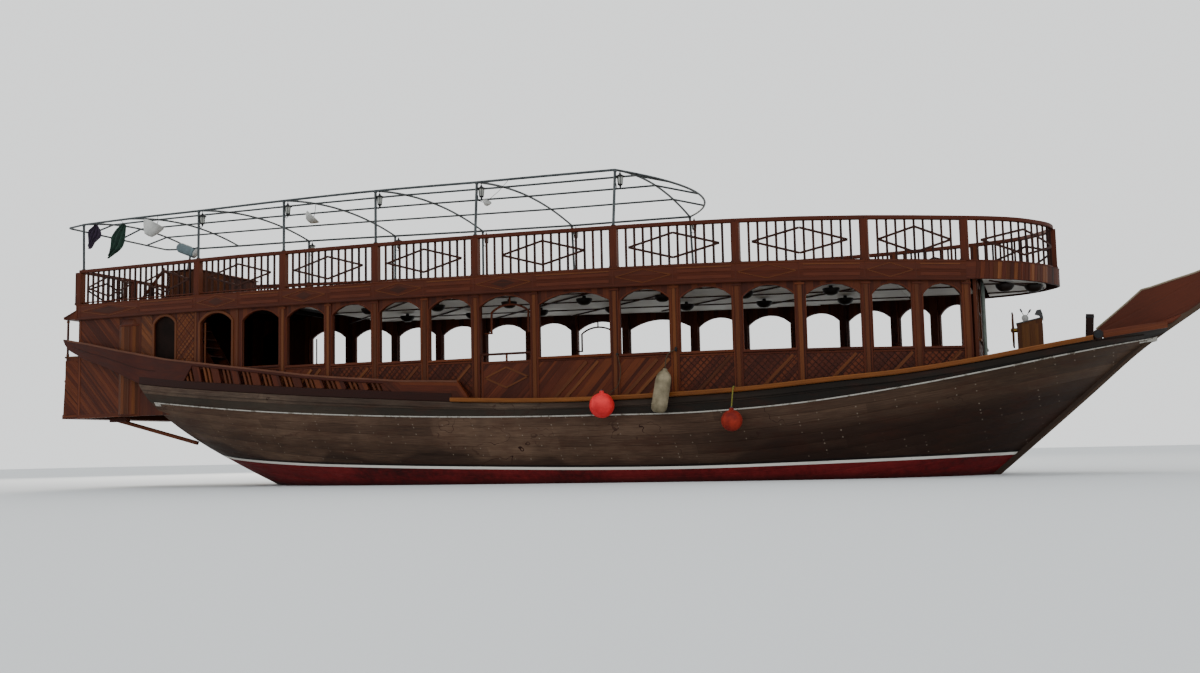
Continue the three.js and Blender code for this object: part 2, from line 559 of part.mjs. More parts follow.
const gate = join(
  box(leaf.x0, leaf.x1, -leaf.y1, -leaf.y0, gateFoot, gateTop),
  box(leaf.x0, leaf.x1, barOuter, barInner, gateTop + TOP_BAR.low, gateTop + TOP_BAR.high),
  ...stubXs.map((x) => box(
    x, x + TOP_BAR.stub, barOuter, barInner, gateTop - 10, gateTop + TOP_BAR.low + 10)),
  ...[gateFoot + 150, gateTop - 250].map((z) => join(
    rod(V(gateHinge.x, -gateHinge.y, z), V(gateHinge.x, -gateHinge.y, z + 90), GATE.knuckle, 10),
    box(gateHinge.x, leaf.x0 + 60, -gateHinge.y - 8, -gateHinge.y + 4, z, z + 90),
  )),
);
addPair('gate', 'teak', gate);

// Stern: wall of the box, with the little gallery and its roof behind it
const STERN = {
  x: -16420, thick: 75, gallery: -16954, lean: 79, half: 2111.7, side: 2190, rail: 3680, eave: 4770,
  ridge: 5010,
};
const sternTop = deckTop(STERN.x) - SLAB + 10;
const sternWall = box(STERN.x - STERN.thick, STERN.x - GAP, -STERN.half, STERN.half, boxFloor, sternTop);
const sternDoor = box(STERN.x - 200, STERN.x + 100, -400, 400, boxFloor + 60, 4100);
const sternOuter = AFT.x - FASCIA.thick - GAP;

const foot = STERN.gallery - STERN.lean;
const gallerySides = [-1, 1].map((side) => plate([
  [foot, boxFloor], [BOX_AFT - GAP, boxFloor], [BOX_AFT - GAP, STERN.rail], [STERN.gallery, STERN.rail],
], side * STERN.side, side * (STERN.side - 60)));
const galleryWall = plate([
  [foot, boxFloor], [foot + 60, boxFloor], [STERN.gallery + 60, STERN.rail], [STERN.gallery, STERN.rail],
], -STERN.side, STERN.side);
const galleryPosts = [-3, -2, -1, 0, 1, 2, 3].map((k) => {
  const y = (k * STERN.side) / 3;
  const inner = y - Math.sign(y) * 25;
  return box(STERN.gallery + 5, STERN.gallery + 50, inner - 22, inner + 22, STERN.rail - 20, STERN.eave + 20);
});
const galleryRoof = plate([
  [STERN.gallery - 15, STERN.eave], [sternOuter, STERN.eave], [sternOuter, STERN.ridge],
  [STERN.gallery - 15, STERN.eave + 70],
], -2230, 2230);
addMesh('stern_wall', 'teak', join(
  sternWall, galleryWall, ...gallerySides,
  box(foot + 20, BOX_AFT - GAP, 20 - STERN.side, STERN.side - 20, boxFloor, boxFloor + 60),
  box(foot + 20, STERN.x - 40, -STERN.half, STERN.half, boxFloor, boxFloor + 60),
  ...galleryPosts, galleryRoof,
).subtract(solid(sternDoor)).subtract(underSlab));
const FLOOR = { low: boxFloor + 10, high: boxFloor + 70 };
const floorHalf = (x) => deckHalf(x) - WALL.inset - WALL.thick - 3;
const floorSection = (xLow, xHigh) => {
  const [low, high] = [floorHalf(xLow), floorHalf(xHigh)];
  return [
    V(xLow, -low, FLOOR.low), V(xLow, low, FLOOR.low), V(xHigh, high, FLOOR.high),
    V(xHigh, -high, FLOOR.high),
  ];
};
addMesh('box_floor', 'deckPlanks', loft([
  floorSection(STERN.x + GAP, STERN.x + GAP),
  floorSection(-14200, -14200),
  floorSection(transomX(FLOOR.low) - 2 * GAP, transomX(FLOOR.high) - 2 * GAP),
]));

// Struts from the transom to the box
const strutStart = V(transomX(1200) - 20, -1650, 1200);
const strut = bar(strutStart, V(-15500, -1780, boxFloor - 60), 100, 100, 60);
const strutBase = box(-15680, -15100, -1860, -1700, boxFloor - 60, boxFloor + 10 - GAP);
addPair('box_strut', 'darkTeak', join(strut, strutBase).subtract(hullMoved(-1, -1)));

// Front wall of the deckhouse, with a doorway between two windows
const FRONT = { x: 7755, half: 1840, thick: 70 };
const frontTop = deckTop(FRONT.x) - SLAB - 5;
const frontFoot = sheerAt(FRONT.x) - DECK_DROP - 40;
const frontWall = solid(box(FRONT.x, FRONT.x + FRONT.thick, -FRONT.half, FRONT.half, frontFoot, frontTop));
const cutThrough = (y0, y1, z0, z1) => solid(box(FRONT.x - 50, FRONT.x + 150, y0, y1, z0, z1));
const frontCuts = [
  cutThrough(-420, 420, frontFoot - 50, 4380), cutThrough(620, 1640, 3000, 4200),
  cutThrough(-1640, -620, 3000, 4200), hullHigh, underSlab,
];
addMesh('front_wall', 'teak', frontCuts.reduce((wall, cut) => wall.subtract(cut), frontWall));

// Railings round the upper deck, in lengths between posts
const CORNER = -16525;
const RAIL_POSTS = [CORNER, -12100, -9220, -6380, -3550, 0, 2840, 5580, 7630];
const railLine = (x) => deckHalf(x) - 60;
const onDeck = ([x, y], z = 0) => V(x, y, deckTop(x) + z);

// One bay through its knots: the two rails, and balusters spaced evenly between its posts
function railBay(knots, postA = RAIL.post, postB = RAIL.post) {
  const base = knots.map((knot) => onDeck(knot));
  const runs = base.slice(1).map((p, i) => base[i].distanceTo(p));
  const clear = runs.reduce((a, b) => a + b) - (postA + postB) / 2;
  const count = Math.round(clear / BALUSTER.pitch);
  const parts = [];
  let [start, next] = [0, 1];
  runs.forEach((run, i) => {
    const [p, q] = [base[i], base[i + 1]];
    const lift = (z) => [p, q].map((point) => point.clone().add(V(0, 0, z)));
    parts.push(bar(...lift(RAIL.height - RAIL.cap / 2), RAIL.capWide, RAIL.cap));
    parts.push(bar(...lift(RAIL.lift + RAIL.foot / 2), RAIL.footWide, RAIL.foot));
    for (; next < count && postA / 2 + (next * clear) / count < start + run; next++) {
      const spot = p.clone().lerp(q, (postA / 2 + (next * clear) / count - start) / run);
      const ends = [RAIL.lift + RAIL.foot / 2, RAIL.height - RAIL.cap / 2];
      parts.push(bar(...ends.map((z) => spot.clone().add(V(0, 0, z))), BALUSTER.side, BALUSTER.side));
    }
    start += run;
  });
  return parts;
}
function post([x, y], side = RAIL.post) {
  const half = side / 2;
  return box(x - half, x + half, y - half, y + half, deckTop(x) - 10, deckTop(x) + RAIL.height + 15);
}

const withPosts = (parts, posts) => join(...parts, ...posts).subtract(overDeck);
const sidePoint = (x) => [x, -railLine(x)];
const sideRuns = { aft: RAIL_POSTS.slice(0, 4), mid: RAIL_POSTS.slice(3, 7), fore: RAIL_POSTS.slice(6) };
for (const [name, xs] of Object.entries(sideRuns)) {
  const own = name === 'aft' ? xs : xs.slice(1);
  const parts = xs.slice(1).flatMap((x, i) => {
    const knots = [xs[i], ...DECK.map((row) => row.x).filter((k) => k > xs[i] && k < x), x];
    return railBay(knots.map(sidePoint), xs[i] === CORNER ? RAIL.corner : RAIL.post);
  });
  const cut = box(xs[0] - 200, xs[0] + RAIL.post / 2 + GAP, -4000, -1500, 4000, 7000);
  const run = withPosts(parts, own.map((x) => post(sidePoint(x), x === CORNER ? RAIL.corner : RAIL.post)));
  addPair(`rail_${name}`, 'teak', name === 'aft' ? run : run.subtract(solid(cut)));
}

// Round bow railing, in two halves that meet at the centre post
const bowKnots = DECK.filter(({ x }) => x >= 7630 && x < 9400).map(({ x }) => sidePoint(x));
const BOW_POST = [9440, 0];
bowKnots.push([9430, -40]);
const bowParts = railBay(bowKnots);
const bowCut = join(
  box(7000, 7630 + RAIL.post / 2 + GAP, -4000, 4000, 4000, 7000), box(7000, 9900, -GAP / 2, 4000, 4000, 7000),
);
addPair('rail_bow', 'teak', withPosts(bowParts, [post(BOW_POST)]).subtract(bowCut));

// Stern railing between the aft corner posts
const sternLine = railLine(CORNER) - RAIL.corner / 2 - GAP;
const sternBays = [-1, 1].flatMap((side) => railBay([[CORNER, side * sternLine], [CORNER, 0]], 0));
addMesh('rail_stern', 'teak', withPosts(sternBays, [post([CORNER, 0])]));

// Canopy frame of bare tube: posts with the edge tubes, then arches, purlins and the two round ends
const CANOPY_POSTS = [-16280, -12100, -9220, -6380, -3550, 0];
const ARCHES = [-16280, -14600, -12100, -9220, -6380, -3550, 0];
const CANOPY_HALF = [
  [-16280, 2330], [-14600, 2490], [-12100, 2630], [-9220, 2890], [-6380, 3100], [-3550, 3150], [0, 3150],
].map(([x, half]) => ({ x, half }));
const edgeY = (x) => at(CANOPY_HALF, x, 'half');
const postFoot = (x) => (x === CANOPY_POSTS[0] ? -16400 : x);
const archPoint = (x, k) => V(x, k * edgeY(x), canopyEdge(x) + CANOPY.rise * (1 - k * k));
const canopySide = (grow) => {
  const ends = [CANOPY_POSTS[0], CANOPY_POSTS[CANOPY_POSTS.length - 1]];
  const reach = (x) => x + (x === ends[0] ? -grow : 0) + (x === ends[1] ? grow : 0);
  return join(
    tube(CANOPY_POSTS.map((x) => V(reach(x), -edgeY(x), canopyEdge(x))), TUBE + grow, 8),
    ...CANOPY_POSTS.map((x) => {
      const foot = postFoot(x);
      const low = V(foot, -railLine(foot), deckTop(foot) + RAIL.height - 30);
      return rod(low, V(x, -edgeY(x), canopyEdge(x) + grow), CANOPY.post + grow);
    }),
  );
};
const POST_CUT = 110;
const postTops = CANOPY_POSTS.map(postFoot).map((x) => {
  const y = -railLine(x);
  return box(x - POST_CUT, x + POST_CUT, y - POST_CUT, y + POST_CUT, deckTop(x) + RAIL.height / 2,
    deckTop(x) + RAIL.height + 15 + GAP);
});
addPair('canopy_side', 'tubeSteel', canopySide(0).subtract(join(...postTops)));

const arch = (x) => tube([-1, -0.6, 0, 0.6, 1].map((k) => archPoint(x, k)), CANOPY.arch, 6, 5);
const PURLINS = [-0.5, 0, 0.5];
const roundEnd = (x, reach) => tube([-1, -0.75, -0.35, 0, 0.35, 0.75, 1].map((k) => {
  const p = archPoint(x, k);
  return V(x + reach * Math.sqrt(Math.max(0, 1 - k ** 2)), p.y, canopyEdge(x) + 60 * (1 - k * k));
}), CANOPY.arch, 10, 5);
const LOOP = { x: -17050, half: 2130, corner: 150, z: 7450 };
const purlin = (k) => {
  const line = [...ARCHES].map((x) => archPoint(x, k));
  const stern = V(LOOP.x, line[0].y, LOOP.z);
  const last = line[line.length - 1];
  const bow = V(CANOPY.bow * Math.sqrt(1 - k ** 2), last.y, canopyEdge(0) + 60 * (1 - k * k));
  const all = [stern, ...line, bow];
  return all.slice(1).map((p, i) => rod(all[i], p, CANOPY.arch * 0.9, 5));
};
const sternLoop = [-1, 1].flatMap((side) => {
  const start = V(ARCHES[0], side * edgeY(ARCHES[0]), canopyEdge(ARCHES[0]));
  const bend = V(LOOP.x + LOOP.corner, side * LOOP.half, LOOP.z);
  const corner = V(LOOP.x, side * (LOOP.half - LOOP.corner), LOOP.z);
  const reach = corner.clone().sub(bend).setLength(8);
  const low = V(0, 0, -1.1);
  const turn = [bend.clone().sub(reach).add(low), corner.clone().add(reach).add(low)];
  return [rod(start, bend, CANOPY.arch), rod(...turn, CANOPY.arch)];
});
const loopBar = LOOP.half - LOOP.corner + 5;
sternLoop.push(rod(V(LOOP.x, -loopBar, LOOP.z + 1.3), V(LOOP.x, loopBar, LOOP.z + 1.3), CANOPY.arch));
const canopyTop = join(
  ...ARCHES.map(arch), roundEnd(0, CANOPY.bow), ...sternLoop, ...PURLINS.flatMap(purlin));
const sideClear = geometryOf(canopySide(GAP * 1.2));
const canopyPieces = canopyTop.subtract(join(sideClear, mirrored(sideClear))).decompose();
const largest = (a, b) => (a.volume() > b.volume() ? a : b);
addMesh('canopy_arches', 'tubeSteel', canopyPieces.reduce(largest));

// Stair: hood over the hatch, its handrail and the flight down to the main deck
const HOOD = { x0: -13650, x1: -11570, half: 560, wall: 45, high: 810, middle: 690, low: 560 };
const hoodBase = (x) => deckTop(x) + GAP;
const hoodOutline = (grow, lift) => [
  [HOOD.x0 - grow, hoodBase(HOOD.x0) - lift], [HOOD.x1 + grow, hoodBase(HOOD.x1) - lift],
  [HOOD.x1 + grow, deckTop(HOOD.x1) + HOOD.low + grow], [-12050, deckTop(-12050) + HOOD.middle + grow],
  [-12700, deckTop(-12700) + HOOD.high + grow], [HOOD.x0 - grow, deckTop(HOOD.x0) + HOOD.high + grow],
];
const inHood = HOOD.half - HOOD.wall;
const hoodShell = solid(plate(hoodOutline(0, 0), HATCH.y - HOOD.half, HATCH.y + HOOD.half))
  .subtract(solid(plate(hoodOutline(-HOOD.wall, 60), HATCH.y - inHood, HATCH.y + inHood)))
  .subtract(solid(box(HOOD.x0 - 10, HOOD.x0 + HOOD.wall + 10, HATCH.y - 400, HATCH.y + 400, 4000,
    deckTop(HOOD.x0) + HOOD.high - 80)));
addMesh('stair_hood', 'teak', hoodShell);

const STAIR = { x0: -13420, x1: -11900, half: 360, steps: 10 };
const stairFoot = sheerAt(STAIR.x1) - DECK_DROP - 30;
const stairHead = deckTop(STAIR.x0) - SLAB - 230;
const stairParts = [-1, 1].map((side) => {
  const y = HATCH.y + side * STAIR.half;
  return plate([
    [STAIR.x0, stairHead - 260], [STAIR.x1 - 60, stairFoot], [STAIR.x1 + 260, stairFoot],
    [STAIR.x0 + 160, stairHead], [STAIR.x0, stairHead],
  ], y - 20, y + 20);
});
for (let i = 1; i < STAIR.steps; i++) {
  const t = i / STAIR.steps;
  const x = STAIR.x0 + 120 + t * (STAIR.x1 - STAIR.x0 - 60);
  const z = stairHead + (stairFoot - stairHead) * t - 40;
  stairParts.push(box(x - 110, x + 110, HATCH.y - STAIR.half, HATCH.y + STAIR.half, z, z + 35));
}
addMesh('stair_flight', 'deckPlanks', join(...stairParts).subtract(hullHigh));

const HANDRAIL = { y: 480, foot: -14700, top: -13920, height: 900 };
const handrail = (side) => {
  const y = HATCH.y + side * HANDRAIL.y;
  const high = V(HANDRAIL.top, y, deckTop(HANDRAIL.top) + HANDRAIL.height);
  return [
    bar(V(HANDRAIL.foot, y, deckTop(HANDRAIL.foot) + 30), high, 60, 70, 20),
    bar(V(HANDRAIL.top, y, deckTop(HANDRAIL.top) + GAP), high.clone().add(V(0, 0, 60)), 70, 70),
    bar(high, V(HOOD.x0 - GAP, y, deckTop(HOOD.x0) + 720), 50, 60),
  ];
};
const hoodFace = solid(box(HOOD.x0 - GAP, HOOD.x0 + 100, HATCH.y - 600, HATCH.y + 600, 5000, 6500));
for (const [name, side] of [['outer', -1], ['inner', 1]]) {
  addMesh(`handrail_${name}`, 'teak', join(...handrail(side)).subtract(overDeck).subtract(hoodFace));
}

// Helm: console with its levers and instrument, and the wheel on its after side
const CONSOLE = { x0: 8590, x1: 9150, half: 330, low: 3410, high: 3520 };
const helmDeck = (x) => sheerAt(x) - DECK_DROP;
const consoleBody = plate([
  [CONSOLE.x0, helmDeck(CONSOLE.x0) - 40], [CONSOLE.x1, helmDeck(CONSOLE.x1) - 40],
  [CONSOLE.x1, CONSOLE.high], [CONSOLE.x0, CONSOLE.low],
], -CONSOLE.half, CONSOLE.half);
const LEVERS = { x: 8772, z: 3545, radius: 75, half: 70, spread: 35, thick: 13 };
const levers = [[-95, 215], [125, 195]].map(([dx, dz], i) => {
  const pivot = V(LEVERS.x, (2 * i - 1) * LEVERS.spread, LEVERS.z);
  return rod(pivot, pivot.clone().add(V(dx, 0, dz)), LEVERS.thick);
});
const drumEnds = [-1, 1].map((side) => V(LEVERS.x, side * LEVERS.half, LEVERS.z));
const leverDrum = rod(...drumEnds, LEVERS.radius, 10);
const leverFoot = box(LEVERS.x - 50, LEVERS.x + 50, -50, 50, CONSOLE.low - 40, LEVERS.z);
const instrument = box(9020, CONSOLE.x1, -280, -80, CONSOLE.high - 40, 3700);
const helm = join(consoleBody, leverDrum, leverFoot, ...levers, instrument);
addMesh('helm_console', 'teak', helm.subtract(hullHigh));

const wheelAt = (y, z) => V(WHEEL.x, y, WHEEL.z + z);
const RIM_HALF = 22;
const [rimIn, rimOut] = [WHEEL.rim - RIM_HALF, WHEEL.rim + RIM_HALF];
const rimSection = [
  [rimIn, -RIM_HALF], [rimOut, -RIM_HALF], [rimOut, RIM_HALF], [rimIn, RIM_HALF], [rimIn, -RIM_HALF],
];
const rim = new THREE.LatheGeometry(rimSection.map(([r, z]) => new THREE.Vector2(r, z)), 16);
rim.rotateZ(Math.PI / 2);
rim.translate(WHEEL.x, 0, WHEEL.z);
const spokes = [0, 1, 2].map((i) => {
  const a = (i * Math.PI) / 3;
  const tip = [Math.cos(a) * WHEEL.spoke, Math.sin(a) * WHEEL.spoke];
  return rod(wheelAt(-tip[0], -tip[1]), wheelAt(tip[0], tip[1]), 16);
});
const wheelHub = rod(V(WHEEL.x - 50, 0, WHEEL.z), V(CONSOLE.x0 - GAP, 0, WHEEL.z), 50, 12);
addMesh('ships_wheel', 'teak', join(rim, ...spokes, wheelHub));

const PIPE = { x: 7915, y: -820, radius: 38 };
const pipeEnds = [sheerAt(PIPE.x) - DECK_DROP - 30, deckTop(PIPE.x) - SLAB + 10];
const pipePost = rod(...pipeEnds.map((z) => V(PIPE.x, PIPE.y, z)), PIPE.radius, 10);
addMesh('pipe_post', 'tubeSteel', solid(pipePost).subtract(hullHigh).subtract(underSlab));

// Samson post with the cross log behind the prow
const samson = plate([[10003, 2600], [10173, 2600], [10240, 3560], [10070, 3560]], -85, 85);
addMesh('samson_post', 'darkTeak', join(solid(samson).subtract(hullHigh), logRod(0)));

// Propeller and rudder
const hubProfile = [[0, 0], [75, 0], [80, 60], [70, 240], [35, 330], [0, 345]];
const hub = new THREE.LatheGeometry(hubProfile.map(([r, z]) => new THREE.Vector2(r, z)), 12);
hub.rotateZ(Math.PI / 2);
hub.translate(APERTURE.fore - 120 - GAP, 0, PROP.z);
const blades = [0, 1, 2].map((i) => {
  const g = new THREE.SphereGeometry(1, 12, 8);
  g.scale(16, 150, 185);
  g.rotateZ(0.6);
  g.translate(PROP.x + 60, 0, PROP.radius - 185);
  g.translate(-PROP.x - 60, 0, 0);
  g.rotateX((i * 2 * Math.PI) / 3);
  return g.translate(PROP.x + 60, 0, PROP.z);
});
addMesh('propeller', 'bronze', join(hub, ...blades));

const stockTop = RUDDER.top + 60 - GAP;
const rudderBlade = plate([
  [RUDDER.x - 30, RUDDER.foot], [RUDDER.x - RUDDER.chord + 100, RUDDER.foot + 60],
  [RUDDER.x - RUDDER.chord, RUDDER.foot + 300],
  [RUDDER.x - RUDDER.chord + 60, RUDDER.top - 60], [RUDDER.x - 30, RUDDER.top],
], -RUDDER.half, RUDDER.half);
const stock = rod(V(RUDDER.x, 0, keelTop(RUDDER.x + 60) + GAP), V(RUDDER.x, 0, stockTop), 50, 12);
addMesh('rudder', 'darkTeak', join(rudderBlade, stock));

// Fenders on the starboard side, each with the rope that holds it
const ropeRadius = 14;
function ballFender(centre, radius, knot) {
  const ball = new THREE.SphereGeometry(radius, 12, 8).rotateX(Math.PI / 2);
  ball.translate(centre.x, centre.y, centre.z);
  const eye = V(centre.x, centre.y, centre.z + radius + 30);
  return join(ball, rod(V(centre.x, centre.y, centre.z + radius - 20), eye, 45, 10),
    ...knot.slice(1).map((p, i) => rod(knot[i], p, ropeRadius)), rod(eye, knot[0], ropeRadius));
}
const capOut = (x) => hullHalf(x) + CAP.out;
const ROPE_OVER_CAP = [[56.4, -60], [-8.6, 40], [-130, 14.8]];
const FENDERS = {
  fore: { x: 2780, z: 1310, radius: 230 },
  mid: { x: -150, z: 1730, radius: 280 },
  long: { x: 1200, low: 1530, high: 2400, radius: 200 },
};
for (const [name, { x, z, radius }] of [['fore', FENDERS.fore], ['mid', FENDERS.mid]]) {
  const y = -(capOut(x) + radius + 8);
  const top = sheerAt(x) + CAP.tall;
  const knot = ROPE_OVER_CAP.map(([out, up]) => V(x, -(capOut(x) + out), top + up));
  addMesh(`ball_fender_${name}`, 'redFloat', ballFender(V(x, y, z), radius, knot));
}

const long = FENDERS.long;
const longY = -(capOut(long.x) + long.radius + 8);
const longTop = V(long.x + 70, longY, long.high);
const longBody = new THREE.LatheGeometry([
  [0, 0], [0.55, 0], [0.95, 60], [1, 150], [1, 760], [0.8, 880], [0.4, 945], [0, 960],
].map(([r, z]) => new THREE.Vector2(r * long.radius, z)), 12);
longBody.applyQuaternion(new THREE.Quaternion().setFromUnitVectors(
  V(0, 1, 0), longTop.clone().sub(V(long.x - 130, longY, long.low)).normalize()));
longBody.translate(long.x - 130, longY, long.low);
const KNOT = { x: 1440, low: 2900, high: 2990, tie: 2930, radius: 30 };
const knotY = -(deckHalf(KNOT.x) - PILLAR.inset + KNOT.radius + 1);
const longParts = [
  longBody, rod(longTop.clone().add(V(0, 0, -60)), V(KNOT.x, knotY, KNOT.tie), ropeRadius),
  rod(V(KNOT.x, knotY, KNOT.low), V(KNOT.x, knotY, KNOT.high), KNOT.radius, 8),
];
addMesh('long_fender', 'greyFloat', join(...longParts).subtract(solid(capClear(CAP.aft))));

export default boat;
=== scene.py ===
# %% [markdown]
# # A two-deck wooden excursion dhow
# The imported CAD model is the fixed frame of this lesson. It is loaded first. Everything that is
# made later has to stay inside it.

import math

import bpy
import numpy as np
from mathutils import Matrix, Vector


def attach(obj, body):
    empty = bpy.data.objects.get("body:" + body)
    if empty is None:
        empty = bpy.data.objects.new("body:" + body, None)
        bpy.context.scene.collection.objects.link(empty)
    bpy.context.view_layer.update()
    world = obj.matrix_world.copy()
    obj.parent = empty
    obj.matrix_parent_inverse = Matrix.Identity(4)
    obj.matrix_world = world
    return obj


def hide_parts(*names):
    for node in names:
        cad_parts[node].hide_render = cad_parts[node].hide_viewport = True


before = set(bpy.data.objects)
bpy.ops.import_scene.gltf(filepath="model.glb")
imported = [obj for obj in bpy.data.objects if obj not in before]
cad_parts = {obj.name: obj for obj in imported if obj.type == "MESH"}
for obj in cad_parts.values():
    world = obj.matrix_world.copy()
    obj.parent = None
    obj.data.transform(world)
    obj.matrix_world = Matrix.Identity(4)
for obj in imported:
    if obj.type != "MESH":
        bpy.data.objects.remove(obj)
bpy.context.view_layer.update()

# %% [markdown]
# ## Camera
# The photograph was taken from a small boat, so the eye is only 0.65 m above the water and looks up
# a little. The place and the angles were fitted to the deck line, the pillars and the waterline.

# %% Camera
EYE = Vector((9.2132, -29.6788, 0.650))
AZIMUTH, ELEVATION, ROLL = (math.radians(a) for a in (20.0295, 5.4700, -1.2257))
LENS_MM, SENSOR_MM = 36.885, 36.0

ahead = Vector((-math.sin(AZIMUTH) * math.cos(ELEVATION), math.cos(AZIMUTH) * math.cos(ELEVATION),
    math.sin(ELEVATION)))
level = Vector((math.cos(AZIMUTH), math.sin(AZIMUTH), 0))
upright = level.cross(ahead)
right = level * math.cos(ROLL) + upright * math.sin(ROLL)
upward = upright * math.cos(ROLL) - level * math.sin(ROLL)

camera_data = bpy.data.cameras.new("photo_camera")
camera_data.lens, camera_data.sensor_width = LENS_MM, SENSOR_MM
camera_data.clip_start, camera_data.clip_end = 0.5, 2000
camera = bpy.data.objects.new("photo_camera", camera_data)
camera.matrix_world = Matrix(
    [(right[i], upward[i], -ahead[i], EYE[i]) for i in range(3)] + [(0, 0, 0, 1)]
)
bpy.context.scene.collection.objects.link(camera)
bpy.context.scene.camera = camera
print("camera at", tuple(round(c, 3) for c in camera.location))

# %% [markdown]
# ## Colours and nodes
# Colours are picked as sRGB hex values, as a paint chart gives them, but a renderer adds light, so
# it needs linear values. One function turns them. Another adds one node with its settings and
# links, so that a material reads as a list of steps.


# %% Colour and node helpers
SPECULAR = "Specular IOR Level"


def linear(colour):
    """Linear RGBA of an sRGB hex: c / 12.92 up to 0.04045, else ((c + 0.055) / 1.055) ** 2.4."""
    c = np.array([int(colour[i : i + 2], 16) for i in (1, 3, 5)]) / 255
    return (*np.where(c <= 0.04045, c / 12.92, ((c + 0.055) / 1.055) ** 2.4).tolist(), 1.0)


def add(tree, kind, *values, out=0, stops=(), **settings):
    """One node with its settings and links; gives its output out.

    Values go to the inputs in order, or one dict gives them by name or number, and a value may be
    another node's output. stops are a colour ramp's (place, sRGB hex).
    """
    node = tree.nodes.new("ShaderNode" + kind)
    for key, value in settings.items():
        setattr(node, key, value)
    by_input = values[0] if values and isinstance(values[0], dict) else dict(enumerate(values))
    for key, value in by_input.items():
        if isinstance(value, bpy.types.NodeSocket):
            tree.links.new(value, node.inputs[key])
        else:
            node.inputs[key].default_value = value
    for place, _ in stops[2:]:
        node.color_ramp.elements.new(place)
    for element, (place, colour) in zip(node.color_ramp.elements if stops else (), stops):
        element.position, element.color = place, linear(colour)
    return node.outputs[out]


def new_material(name, roughness, metallic=0.0, shader=None):
    """A material with its surface shader; the keys in shader are sockets of that shader."""
    material = bpy.data.materials.new(name)
    material.use_nodes = True
    tree = material.node_tree
    surface = tree.nodes["Principled BSDF"]
    for key, value in {"Roughness": roughness, "Metallic": metallic, **(shader or {})}.items():
        surface.inputs[key].default_value = value
    return material, tree, surface


FACTOR, COLOUR_A, COLOUR_B, COLOUR_OUT = 0, 6, 7, 2  # sockets of a colour Mix node

# %% [markdown]
# ## Floor and light
# The water is left out: a plain pale floor lies at the waterline, and the hull goes down through
# it. An overcast sky lights a boat from all sides and most from above, so the world is a soft
# near-white and one broad lamp stands for the brighter cloud behind the stern.

# %% Floor, world and lamps
FLOOR_HALF = 260.0
floor_mesh = bpy.data.meshes.new("studio_floor")
corners = [(x, y, 0) for x, y in ((-1, -1), (1, -1), (1, 1), (-1, 1))]
floor_mesh.from_pydata(np.array(corners) * FLOOR_HALF, [], [(0, 1, 2, 3)])
floor = bpy.data.objects.new("studio_floor", floor_mesh)
bpy.context.scene.collection.objects.link(floor)
floor_paint, _, floor_surface = new_material("matte_studio_paper", 0.9, shader={SPECULAR: 0.15})
floor_surface.inputs["Base Color"].default_value = linear("#c9ccce")
floor_mesh.materials.append(floor_paint)

world = bpy.data.worlds.new("overcast")
world.use_nodes = True
background = world.node_tree.nodes["Background"]
background.inputs["Color"].default_value = linear("#eceeee")
background.inputs["Strength"].default_value = 1.6
bpy.context.scene.world = world


def lamp(name, place, aim, size, power, colour):
    """A square area lamp that looks from place to aim."""
    data = bpy.data.lights.new(name, "AREA")
    data.size, data.energy, data.color = size, power, linear(colour)[:3]
    made = bpy.data.objects.new(name, data)
    made.location = place
    made.rotation_mode = "QUATERNION"
    made.rotation_quaternion = (Vector(aim) - Vector(place)).to_track_quat("-Z", "Y")
    bpy.context.scene.collection.objects.link(made)


lamp("cloud_astern", (-30, 30, 22), (-2, 0, 3), 22, 14000, "#fff6ea")
lamp("cloud_ahead", (22, -34, 20), (0, 0, 2), 20, 1800, "#f3f6ff")

# %% [markdown]
# ## Lines of the boat
# A boat is drawn as tables of half-breadths and heights, and a batten bent through the points gives
# the fair curve between them. The same is done here: the CAD's tables, and a cubic through them.

# %% Tables and fair curves
STATIONS = np.array(
    [
        # x, half-breadth, sheer, rabbet, and the two exponents of the section
        [-14.5, 2.670, 2.870, 1.500, 2.20, 1.00],
        [-13.0, 2.860, 2.690, 0.800, 2.30, 1.05],
        [-11.5, 3.030, 2.535, 0.100, 2.40, 1.10],
        [-10.0, 3.170, 2.400, -0.480, 2.60, 1.20],
        [-8.0, 3.330, 2.235, -0.960, 2.80, 1.35],
        [-6.0, 3.450, 2.090, -1.200, 3.00, 1.50],
        [-4.0, 3.530, 1.955, -1.300, 3.10, 1.60],
        [-1.5, 3.572, 1.860, -1.300, 3.20, 1.70],
        [1.0, 3.582, 1.875, -1.300, 3.20, 1.70],
        [3.0, 3.550, 1.945, -1.300, 3.00, 1.60],
        [5.0, 3.360, 2.100, -1.270, 2.50, 1.35],
        [6.3, 3.060, 2.210, -1.090, 2.15, 1.15],
        [7.25, 2.760, 2.338, -0.500, 1.95, 1.05],
        [8.0, 2.510, 2.459, 0.110, 1.80, 1.00],
        [9.0, 2.080, 2.647, 0.965, 1.60, 1.00],
        [10.0, 1.550, 2.833, 1.830, 1.40, 1.00],
        [11.0, 0.900, 3.010, 2.700, 1.20, 1.00],
        [11.7, 0.300, 3.135, 3.080, 1.10, 1.00],
    ]
)
DECK = np.array(
    [
        # x and half-breadth of the upper deck
        [-16.52, 2.215], [-15.4, 2.33], [-14.2, 2.46], [-12.1, 2.69], [-10.65, 2.86], [-9.22, 2.95],
        [-7.79, 3.07], [-6.38, 3.16], [-4.95, 3.26], [-3.55, 3.33], [-2.01, 3.38], [0.0, 3.415],
        [1.42, 3.418], [2.84, 3.335], [4.2, 3.132], [5.58, 2.793], [6.62, 2.43], [7.63, 2.028],
        [8.2, 1.76], [8.7, 1.42], [9.08, 0.98], [9.36, 0.5], [9.52, 0.06],
    ]
)


